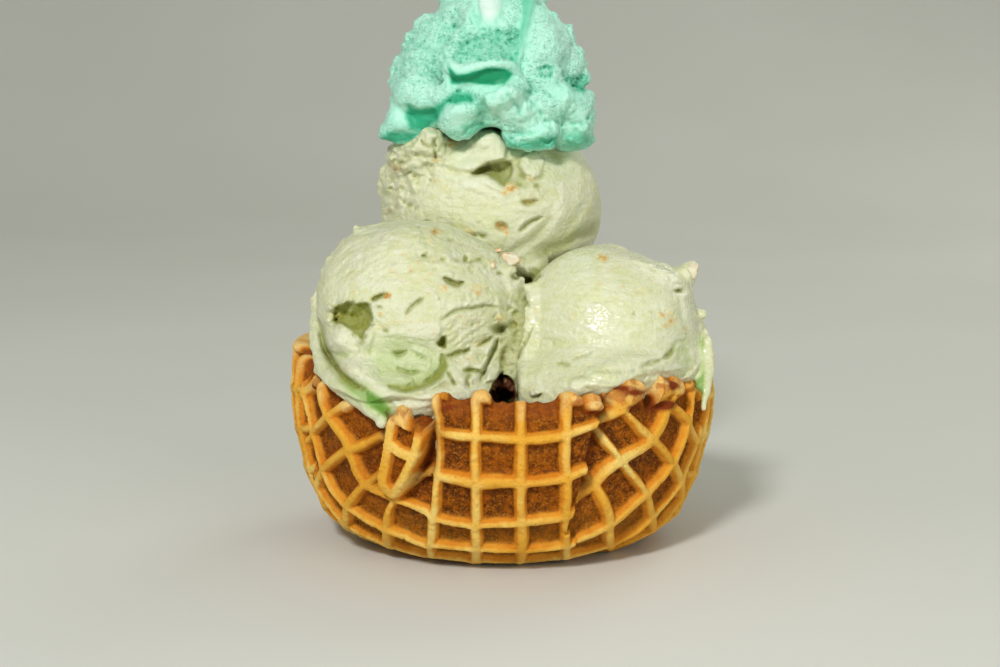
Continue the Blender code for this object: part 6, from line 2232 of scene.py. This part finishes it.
    # crown: full at the back, last soft curls above
    vol.blob((7.0, 6.5, 148.5), (4.2, 4.5, 4.8), 1, 2.5)
    vol.blob(P(800, -55, 22), (10.4, 9.5, 9.0), 1, 4.0)
    vol.blob(P(800, 120, 25), (13.5, 11.5, 12.0), 1, 4.0)
    vol.rope([P(590, -30, 8), P(620, -120, 10), P(700, -190, 12), P(800, -230, 14),
              P(900, -200, 18)], (4.2, 4.6, 4.4, 3.6, 2.8), 1, 2.2, rough=0.3)
    vol.rope([P(1080, -10, 12), P(1060, -110, 14), P(980, -190, 16), P(900, -235, 16)],
             (3.6, 3.8, 3.4, 3.0), 1, 2.2, rough=0.3)
    vol.rope([P(560, -20, 22), P(700, -120, 28), P(900, -140, 28), P(1050, -60, 24)],
             (5.0, 5.4, 5.4, 5.0), 1, 2.6, rough=0.4)
    # torn points on the outline
    for X, Y, y, r in ((480, 30, 9, 1.3), (440, 88, 8, 1.2), (355, 112, 9, 1.3),
                       (303, 150, 9, 1.2), (238, 232, 9, 1.2), (212, 310, 9, 1.2),
                       (160, 395, 9, 1.3), (133, 452, 9, 1.3), (126, 532, 8, 1.2),
                       (150, 560, 6, 1.2), (1130, 35, 10, 1.3), (1150, 62, 10, 1.1),
                       (1215, 108, 9, 1.3), (1310, 185, 9, 1.2), (1335, 240, 9, 1.1),
                       (1392, 350, 9, 1.3), (1412, 420, 9, 1.2), (1438, 505, 8, 1.2),
                       (1462, 655, 8, 1.2), (1468, 748, 8, 1.0), (1450, 800, 8, 1.0),
                       (1450, 925, 8, 0.9), (70, 885, 6, 1.1), (64, 868, 5, 0.8)):
        cx, cy = 790 + (X - 790) * 0.93, 480 + (Y - 480) * 0.93
        ex, ey = 790 + (X - 790) * 0.975, 480 + (Y - 480) * 0.975
        vol.rope([P(cx, cy, y - 2), P(ex, ey, y)], (r * 1.6, r * 0.8), 1, 1.4, rough=0.8)

    # behind: two more folds with rolled borders
    for k, (a, z0, z1, out) in enumerate(((150, 113, 140, 1.0), (205, 112, 138, 1.2),
                                          (252, 114, 134, 0.8), (100, 113, 136, 0.9))):
        pts = []
        for t in np.linspace(0, 1, 6):
            ang = math.radians(a + 46 * t)
            z = z0 + (z1 - z0) * t ** 0.8
            rr = 25.0 - 9.0 * t ** 2 + 1.5 * math.sin(5 * t + k)
            pts.append((-4 + rr * math.sin(ang), 18 - rr * math.cos(ang), z))
        vol.rope(pts, (3.0, 3.6, 3.6, 3.2, 2.8, 2.2), 1, 1.8, rough=0.6)
        gv = [(p[0] * 1.0 + 1.5 * math.sin(math.radians(a)), p[1] - 1.0, p[2] - 5.5)
              for p in pts]
        vol.rope(gv, (1.2, 1.6, 1.6, 1.4, 1.2, 0.8), -1, 1.0)

    R = Relief(370, -30, 6.533, 1568, 1240, 24)
    off = 30 * 6.533

    def q(pts):
        return [(a, b + off) for a, b in pts]
    smooth = np.zeros(R.h.shape, f32)

    def calm(pts, w, v=1.0):
        b = R._box(q(pts), 3 * w + 10)
        d, _, _ = seg_distance(R.X[b], R.Y[b], q(pts))
        smooth[b] = np.maximum(smooth[b], v * np.exp(-(d / w) ** 4))
    calm([(775, -60), (780, 110)], 105)
    calm([(505, 440), (540, 520), (700, 505), (880, 505)], 56)
    calm([(520, 430), (610, 466), (700, 440), (800, 406), (900, 425)], 30, 0.6)
    calm([(1050, -60), (1040, 60), (1000, 250), (955, 410)], 44)
    calm([(180, 700), (200, 800)], 60, 0.85)
    calm([(300, 760), (400, 720)], 60, 0.7)
    calm([(600, 560), (700, 575), (860, 585)], 30, 0.7)
    calm([(560, 740), (600, 820)], 60, 0.6)
    calm([(820, 660), (950, 690), (1090, 760), (1100, 860)], 84, 0.6)
    calm([(1330, 680), (1350, 780), (1340, 880)], 74, 0.6)
    calm([(1180, 560), (1260, 620), (1390, 660)], 40, 0.5)
    R.green = smooth
    # fine vertical combing on the lower lobes
    comb = R.streaks(78, 17.0, 6.0)
    cm = R.mask(q([(690, 600), (1210, 600), (1230, 900), (900, 940), (800, 800), (680, 760)]), 50)
    R.h += 0.32 * cm * comb
    comb2 = R.streaks(32, 18.0, 4.0, 4.0)
    lm = R.mask(q([(150, 450), (230, 240), (480, 60), (650, 40), (600, 220), (480, 420),
                   (420, 540), (170, 520)]), 50)
    R.h += 0.10 * lm * comb2
    R.dab(770, 290 + off, 130, 80, h=-0.9)
    left_foam = q([(150, 440), (240, 240), (430, 100), (640, 40), (680, 180), (560, 330),
                   (490, 480), (400, 560), (180, 540)])
    mid_foam = q([(560, 360), (600, 240), (700, 195), (980, 185), (1000, 220), (940, 400),
                  (860, 390), (700, 395)])
    right_foam = q([(1090, 70), (1300, 190), (1410, 440), (1380, 560), (1260, 520),
                    (1010, 440), (1040, 260)])
    low_foam = q([(820, 600), (1220, 600), (1230, 940), (950, 970), (830, 830), (700, 760)])
    far_foam = q([(1240, 640), (1450, 660), (1460, 930), (1260, 960)])
    # pores with painted shade in them
    pricked(R, left_foam, 250, (11, 22), (6.5, 9), (0.18, 0.50), 35, 22, 41, painted_shade=0.55)
    pricked(R, mid_foam, 170, (9, 17), (7, 11), (0.30, 0.75), 20, 50, 42, painted_shade=1.0)
    scatter(R, mid_foam, 40, (10, 15), (0.15, 0.35), 43, pale_and_painted_light=0.35)
    pricked(R, right_foam, 120, (8, 15), (6.5, 9), (0.10, 0.32), 30, 60, 44, painted_shade=0.35)
    pricked(R, low_foam, 130, (10, 20), (6.5, 9), (0.14, 0.38), 70, 30, 45, painted_shade=0.6)
    pricked(R, far_foam, 60, (10, 20), (7, 10), (0.18, 0.45), 60, 60, 46, painted_shade=0.7)
    for k, area_ in enumerate((left_foam, right_foam, low_foam, far_foam)):
        scatter(R, area_, 60, (13, 24), (0.10, 0.28), 50 + k, pale_and_painted_light=0.2)
    pricked(R, q([(1270, 500), (1410, 480), (1420, 590), (1320, 600)]), 40, (10, 18),
            (8, 12), (0.3, 0.7), 60, 60, 47, painted_shade=1.2)
    pricked(R, q([(560, 590), (680, 590), (680, 670), (500, 670)]), 26, (10, 18), (8, 12),
            (0.4, 0.9), 10, 40, 48, painted_shade=1.3)
    pricked(R, q([(1090, 440), (1190, 430), (1190, 500), (1090, 500)]), 20, (10, 16),
            (8, 12), (0.4, 0.9), 10, 60, 49, painted_shade=1.0)
    # grooves with painted shade
    for pts, w, h in (([(340, 420), (430, 480), (470, 530)], 9, -.6),
                      ([(250, 400), (330, 440)], 8, -.5),
                      ([(300, 300), (380, 330), (450, 400)], 8, -.4),
                      ([(540, 170), (560, 180)], 12, -1.2),
                      ([(1180, 620), (1195, 660)], 9, -.6),
                      ([(1130, 600), (1185, 640)], 8, -.5),
                      ([(880, 600), (960, 690), (1000, 780)], 10, -.5),
                      ([(1040, 640), (1100, 720), (1160, 800)], 10, -.5),
                      ([(940, 560), (1030, 600), (1120, 600)], 9, -.4),
                      ([(700, 600), (690, 650), (640, 690)], 11, -.7),
                      ([(1080, 500), (1180, 505), (1190, 460)], 11, -.9),
                      ([(1440, 740), (1410, 790)], 10, -1.0),
                      ([(1300, 820), (1370, 800), (1400, 840)], 10, -.7),
                      ([(900, 860), (1010, 880), (1100, 860)], 11, -.7),
                      ([(1100, 900), (1160, 930), (1210, 900)], 9, -.8),
                      ([(830, 830), (900, 880), (960, 940)], 9, -.6),
                      ([(590, 890), (660, 830), (740, 800)], 9, -.6)):
        R.stroke(q(pts), w, h, painted_shade=0.5)
    # painted shade: in the hollow, under the curl's lip, down the ribbon's side, under the lobes and
    # along the lower edges
    R.patch(q([(570, 350), (640, 250), (740, 210), (900, 200), (985, 190), (995, 260),
               (955, 400), (880, 395), (760, 385), (640, 405)]), painted_shade=0.55, soft=30)
    R.patch(q([(505, 420), (560, 490), (640, 480), (700, 462), (760, 446), (880, 446),
               (935, 480), (880, 550), (760, 556), (640, 542), (530, 550)]), painted_shade=2.0, soft=12)
    R.patch(q([(1000, -120), (1070, -120), (1078, 20), (1052, 140), (1010, 270), (960, 430),
               (935, 410), (975, 260), (992, 120)]), painted_shade=0.9, soft=10)
    # painted highlight along the ribbon's edge
    R.stroke(q([(1060, -100), (1060, 0), (1040, 130), (1005, 250)]), 9, 0.2, pale_and_painted_light=1.2)
    R.patch(q([(240, 680), (330, 715), (410, 700), (470, 660), (540, 600), (680, 610),
               (680, 672), (500, 684), (450, 780), (350, 870), (260, 850), (225, 760)]),
            painted_shade=1.35, soft=18)
    R.patch(q([(120, 850), (250, 860), (340, 870), (250, 935), (130, 935), (70, 905)]),
            painted_shade=1.25, soft=18)
    R.patch(q([(480, 860), (620, 850), (760, 800), (800, 830), (640, 910), (540, 900)]),
            painted_shade=0.45, soft=24)
    R.patch(q([(860, 880), (960, 930), (1100, 900), (1230, 870), (1230, 960), (1060, 985),
               (900, 965)]), painted_shade=1.1, soft=22)
    R.patch(q([(1258, 885), (1330, 856), (1400, 866), (1456, 895), (1444, 950), (1350, 985),
               (1258, 965)]), painted_shade=0.95, soft=36)
    R.patch(q([(1265, 510), (1425, 490), (1430, 560), (1320, 600)]), painted_shade=0.9, soft=16)
    R.patch(q([(700, 640), (760, 640), (770, 780), (700, 800), (660, 700)]), painted_shade=0.45, soft=24)
    R.patch(q([(600, 820), (700, 790), (790, 800), (700, 870), (620, 895)]), painted_shade=0.85, soft=20)
    R.patch(q([(1340, 560), (1420, 570), (1400, 610), (1330, 600)]), painted_shade=1.2, soft=14)
    # painted light: the right lobe and the lower lobes brightened
    R.patch(right_foam, pale_and_painted_light=0.55, soft=30)
    R.patch(q([(840, 600), (1180, 590), (1210, 820), (1000, 850), (860, 800), (760, 700)]),
            pale_and_painted_light=0.75, soft=40)
    R.patch(q([(1250, 640), (1440, 650), (1440, 800), (1270, 820)]), pale_and_painted_light=0.55, soft=30)
    R.patch(q([(490, 700), (640, 700), (620, 800), (530, 840)]), pale_and_painted_light=0.5, soft=24)
    R.patch(q([(680, 100), (700, 190), (720, 200), (700, 110)]), painted_shade=0.5, soft=14)
    # painted highlight: near-white down the tongue
    R.patch(q([(695, -120), (850, -120), (848, 40), (828, 110), (790, 140), (745, 130),
               (712, 50)]), pale_and_painted_light=1.9, soft=44)
    # painted light in soft spots
    for X, Y, rx, ry in ((350, 600, 110, 60), (1200, 250, 90, 110), (560, 430, 60, 20),
                         (800, 415, 130, 18), (560, 760, 60, 40), (850, 680, 80, 60),
                         (190, 740, 26, 60), (260, 450, 70, 120), (1000, 910, 70, 30),
                         (1300, 700, 60, 40), (600, 100, 60, 60), (900, 80, 60, 80)):
        R.dab(X, Y + off, rx, ry, pale_and_painted_light=0.5)

    # foam: fine pores and a torn grain, less on the drawn-out parts
    n1, n2, n3 = vol.weave(2.3, 73), vol.weave(1.25, 74), vol.weave(4.2, 75)
    patchy = vol.weave(11.0, 76)

    def extra(x, y, z, w, px, py):
        u = (px - R.x0) * R.per / R.step
        v = (py - R.y0) * R.per / R.step
        ui = np.clip(u, 0, R.nx - 1).astype(int)
        vi = np.clip(v, 0, R.ny - 1).astype(int)
        calmed = smooth[vi, ui] * sstep(w, 0.2, 0.6)
        pores = (sstep(n1[vol.at], 0.30, 0.65) * 0.5 + sstep(n2[vol.at], 0.34, 0.70) * 0.4)
        grain = 0.26 * n3[vol.at] + 0.20 * n1[vol.at] + 0.18 * n2[vol.at]
        amount = 0.6 + 0.4 * sstep(patchy[vol.at], -0.2, 0.3)
        return ((grain * (1 - 0.35 * w) - pores * (1 - 0.85 * w)) * amount
                * (1 - 0.94 * calmed))
    apply_relief(vol, R, (-4.0, 16.0, 134.0), (27.0, 27.0, 26.0), width=3.0, lo=-0.1, hi=0.2,
                 extra=extra)
    tufts = vol.weave(3.0, 77) + 0.5 * vol.weave(1.5, 78)
    side = 1 - 0.7 * sstep(np.abs(vol.Y - 9.0), 7.0, 13.0)
    vol.F -= (0.55 * sstep(tufts, 0.25, 0.9) * side * sstep(np.abs(vol.X + 3.0), 12.0, 18.0)
              ).astype(f32)
    # it sits on the scoop
    inner = (TOP_R[0] - 1.6, TOP_R[1] - 1.6, TOP_R[2] - 1.6)
    vol.F = smax(vol.F, -vol.ball(TOP_C, inner), 0.6)
    vol.F = smax(vol.F, 106.5 - vol.Z + 0 * vol.F, 1.2)

    def fine(v, n):
        return (0.10 * NOISE(v[:, 0] / 1.1, v[:, 1] / 1.1, v[:, 2] / 1.1))

    def hidden(v):
        d = np.sqrt((((v - np.array(TOP_C)) / np.array(inner)) ** 2).sum(1))
        return d < 1.012
    return skin("topping", vol, R, (-4.0, 16.0, 134.0), (27.0, 27.0, 26.0), fine,
                lo=-0.1, hi=0.2, hidden=hidden)


def topping_material():
    m = Nodes("whipped_mint")
    pos = m.position()
    hollow, deep = m.attr("hollow"), m.attr("deep")
    painted_shade, pale_and_painted_light = m.attr("painted_shade"), m.attr("pale_and_painted_light")
    calm = m.attr("green")
    broad = m.noise(50.0, 2.0, vector=pos)
    mid = m.noise(260.0, 3.0, 0.6, vector=pos)
    speck = m.noise(1.0, 2.0, 0.55, vector=m.scaled(pos, (1500.0, 1500.0, 2400.0)))
    rough_part = m.math("SUBTRACT", 1.0, calm, clamp=True)
    grain = m.noise(1000.0, 4.0, 0.65, vector=pos)
    cells = m.voronoi(1300.0, vector=pos)
    col = m.mix(m.map(broad, 0.35, 0.65), rgb(172, 240, 219), rgb(188, 244, 226))
    col = m.mix(m.map(mid, 0.40, 0.64), col, rgb(178, 241, 222))
    col = m.mix(m.math("MULTIPLY", m.map(grain, 0.50, 0.34), 0.35), col, rgb(116, 213, 184))
    # painted shade in the pores, on the rough parts
    pore_shade = m.math("MULTIPLY", m.map(speck, 0.60, 0.70), rough_part, clamp=True)
    col = m.mix(m.math("MULTIPLY", pore_shade, 0.60), col, rgb(84, 200, 168))
    lit = m.math("MULTIPLY", m.map(speck, 0.44, 0.34), rough_part, clamp=True)
    col = m.mix(m.math("MULTIPLY", lit, 0.40), col, rgb(206, 248, 236))
    # painted light where the relief marks it; above 0.8 a near-white painted highlight
    col = m.mix(m.math("MULTIPLY", pale_and_painted_light, 0.6, clamp=True), col, rgb(208, 247, 235))
    col = m.mix(m.math("MULTIPLY", m.math("SUBTRACT", pale_and_painted_light, 0.8, clamp=True), 1.1, clamp=True),
                col, rgb(216, 239, 232))
    # painted light on the bulges; painted shade in the hollows, and teal painted shade where the
    # relief marks it
    col = m.mix(m.math("MULTIPLY", m.map(deep, -0.1, -0.7), 0.45), col, rgb(206, 247, 234))
    col = m.mix(m.math("MULTIPLY", m.map(deep, 0.15, 0.95), 0.55), col, rgb(106, 216, 182))
    col = m.mix(m.math("MULTIPLY", m.map(hollow, 0.10, 0.85), 0.55), col, rgb(80, 200, 162))
    col = m.mix(m.math("MULTIPLY", painted_shade, 0.72, clamp=True), col, rgb(44, 184, 144))
    col = m.mix(m.math("SUBTRACT", painted_shade, 1.0, clamp=True), col, rgb(2, 146, 100))
    h = m.math("ADD", m.math("MULTIPLY", grain, 0.8), m.math("MULTIPLY", cells, 0.35))
    h = m.math("SUBTRACT", h, m.math("MULTIPLY", m.map(speck, 0.56, 0.72), 0.5))
    bump = m.bump(h, 0.0007, 0.8)
    m.link(m.math("ADD", m.math("MULTIPLY", rough_part, 0.72), 0.08),
           bump.node.inputs["Strength"])
    r = m.map(grain, 0.35, 0.65, 0.40, 0.58)
    m.set(Base_Color=col, Roughness=r, Normal=bump)
    s = m.shader.inputs
    s["Subsurface Weight"].default_value = 0.18
    s["Subsurface Radius"].default_value = (0.45, 1.0, 0.85)
    s["Subsurface Scale"].default_value = 0.0012
    s["Specular IOR Level"].default_value = 0.42
    return m.mat


# ================================================================ nut pieces
def build_chunk(name, centre, half, turn, seed):
    """A broken piece of nut: a lump cut by a few flat breaks."""
    step = 0.2
    c, h = np.array(centre, float), np.array(half, float)
    r = float(h.max()) + 1.0
    vol = Volume(*[spaced([(v - r, v + r, step)]) for v in c])
    vol.F = vol.ball(c, h, turned(turn).T)
    rng = np.random.RandomState(seed)
    for _ in range(7):
        n = rng.normal(size=3)
        n /= np.linalg.norm(n)
        reach = 1.0 / np.linalg.norm(n / h)
        vol.F = smax(vol.F, (plane(vol, n, float(n @ c)) - reach * rng.uniform(0.55, 0.85)
                             ).astype(f32), 0.25)
    vol.F += (0.12 * vol.weave(1.4, seed) + 0.07 * vol.weave(0.7, seed + 1)).astype(f32)
    v, q = surface(vol)
    v = neighbour_mean(v, q, 1, 0.3)
    return new_mesh(name, v, q, {"hollow": np.clip(hollow_amount(v, q, 3) / 0.3, -1, 1)})


def nut_material():
    m = Nodes("nut_pale")
    pos = m.position()
    hollow = m.attr("hollow")
    broad = m.noise(260.0, 2.0, vector=pos)
    mid = m.noise(700.0, 3.0, 0.6, vector=pos)
    fine = m.noise(2200.0, 3.0, 0.6, vector=pos)
    col = m.mix(m.map(broad, 0.40, 0.62), rgb(232, 225, 202), rgb(238, 214, 184))
    col = m.mix(m.math("MULTIPLY", m.map(mid, 0.54, 0.66), 0.8), col, rgb(222, 170, 112))
    col = m.mix(m.math("MULTIPLY", m.map(broad, 0.60, 0.68), 0.8), col, rgb(186, 112, 48))
    # painted shade in the hollows
    col = m.mix(m.math("MULTIPLY", m.map(hollow, 0.1, 0.8), 0.6), col, rgb(196, 170, 100))
    bump = m.bump(m.math("ADD", m.math("MULTIPLY", mid, 0.6), fine), 0.0003, 0.7)
    m.set(Base_Color=col, Roughness=m.map(fine, 0.3, 0.7, 0.40, 0.60), Normal=bump)
    s = m.shader.inputs
    s["Subsurface Weight"].default_value = 0.15
    s["Subsurface Radius"].default_value = (1.0, 0.7, 0.4)
    s["Subsurface Scale"].default_value = 0.0008
    return m.mat


# =================================================================== building
bowl = build_bowl()
bowl.data.materials.append(waffle_material())
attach(bowl, "root")
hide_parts("waffle_bowl")

left = build_left()
left.data.materials.append(ice_material("ice_cream_left", rough=0.42))
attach(left, "root")
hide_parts("scoop_left")

right = build_right()
right.data.materials.append(ice_material("ice_cream_right", gloss=0.35, rough=0.30, grit=0.5))
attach(right, "root")
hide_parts("scoop_right")

top = build_top()
top.data.materials.append(ice_material("ice_cream_top", rough=0.40, grit=0.8))
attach(top, "root")
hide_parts("scoop_top")

topping = build_topping()
topping.data.materials.append(topping_material())
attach(topping, "root")
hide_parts("whipped_topping")

NUT = nut_material()
for name, centre, half, turn, seed, slot in (
        ("nut_left", on_ball(509.5, 262.0, LEFT_C, LEFT_R, 0.2), (3.2, 2.5, 2.9),
         (10, 8, 0), 5, "ice_cream_nutty"),
        ("nut_left_small", on_ball(494.0, 265.0, LEFT_C, LEFT_R, -0.2), (1.0, 1.0, 0.9),
         (0, 20, 0), 7, "ice_cream_nutty"),
        ("nut_left_upper", on_ball(499.5, 250.5, LEFT_C, LEFT_R, -0.2), (1.1, 1.0, 0.9),
         (0, -20, 0), 9, "ice_cream_nutty"),
        ("nut_horn", unproject(692.6, 271.5, -15.4), (2.2, 2.0, 2.6),
         (0, 25, 10), 11, "ice_cream_smooth")):
    chunk = build_chunk(name, centre, half, turn, seed)
    chunk.data.materials.append(NUT)
    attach(chunk, "root")

# ====================================================================== stage
def build_stage():
    half = 3.0
    mesh = bpy.data.meshes.new("floor")
    # a floor that curves up behind into a backdrop
    rows = [(-half, 0.0), (0.9, 0.0)]
    for k in range(1, 13):
        a = math.radians(90.0 * k / 12)
        rows.append((0.9 + 0.8 * math.sin(a), 0.8 * (1 - math.cos(a))))
    rows.append((1.7, 3.2))
    verts = [(x, y, z) for y, z in rows for x in (-half, half)]
    faces = [(2 * k, 2 * k + 1, 2 * k + 3, 2 * k + 2) for k in range(len(rows) - 1)]
    mesh.from_pydata(verts, [], faces)
    mesh.shade_smooth()
    floor = bpy.data.objects.new("floor", mesh)
    bpy.context.scene.collection.objects.link(floor)
    m = Nodes("floor_pale")
    tint = m.mix(m.map(m.noise(3.0, 2.0), 0.3, 0.7), (0.70, 0.71, 0.69), (0.74, 0.745, 0.73))
    m.set(Base_Color=tint)
    m.shader.inputs["Roughness"].default_value = 0.75
    mesh.materials.append(m.mat)

    def area(name, loc, target, size, power, colour=(1, 1, 1)):
        data = bpy.data.lights.new(name, "AREA")
        data.shape = "DISK"
        data.size = size
        data.energy = power
        data.color = colour
        ob = bpy.data.objects.new(name, data)
        bpy.context.scene.collection.objects.link(ob)
        from mathutils import Vector
        ob.location = loc
        ob.rotation_euler = (Vector(target) - Vector(loc)).to_track_quat("-Z", "Y").to_euler()
        return ob
    mid = (0.0, 0.0, 0.08)
    area("key", (-0.30, -1.06, 0.82), mid, 0.20, 11.3, (1.0, 0.985, 0.94))
    area("fill", (0.9, -1.1, 0.5), mid, 1.2, 4.0, (1.0, 1.0, 0.88))
    area("rim", (0.7, 0.9, 0.8), mid, 0.7, 3.0, (1.0, 1.0, 0.9))
    world = bpy.data.worlds.new("studio")
    world.use_nodes = True
    bg = world.node_tree.nodes["Background"]
    bg.inputs["Color"].default_value = (0.95, 0.97, 0.82, 1.0)
    bg.inputs["Strength"].default_value = 0.33
    bpy.context.scene.world = world

    cam = bpy.data.cameras.new("camera")
    cam.sensor_width = 36.0
    cam.lens = 69.48
    cam.clip_start = 0.01
    cam.clip_end = 50.0
    ob = bpy.data.objects.new("camera", cam)
    ob.location = (EYE[0] * MM, EYE[1] * MM, EYE[2] * MM)
    ob.rotation_euler = (math.radians(90.0 - 8.3), 0.0, 0.0)
    bpy.context.scene.collection.objects.link(ob)
    bpy.context.scene.camera = ob


build_stage()
bpy.context.scene.view_settings.view_transform = "Standard"

# ======================================================================= end
bpy.context.view_layer.update()
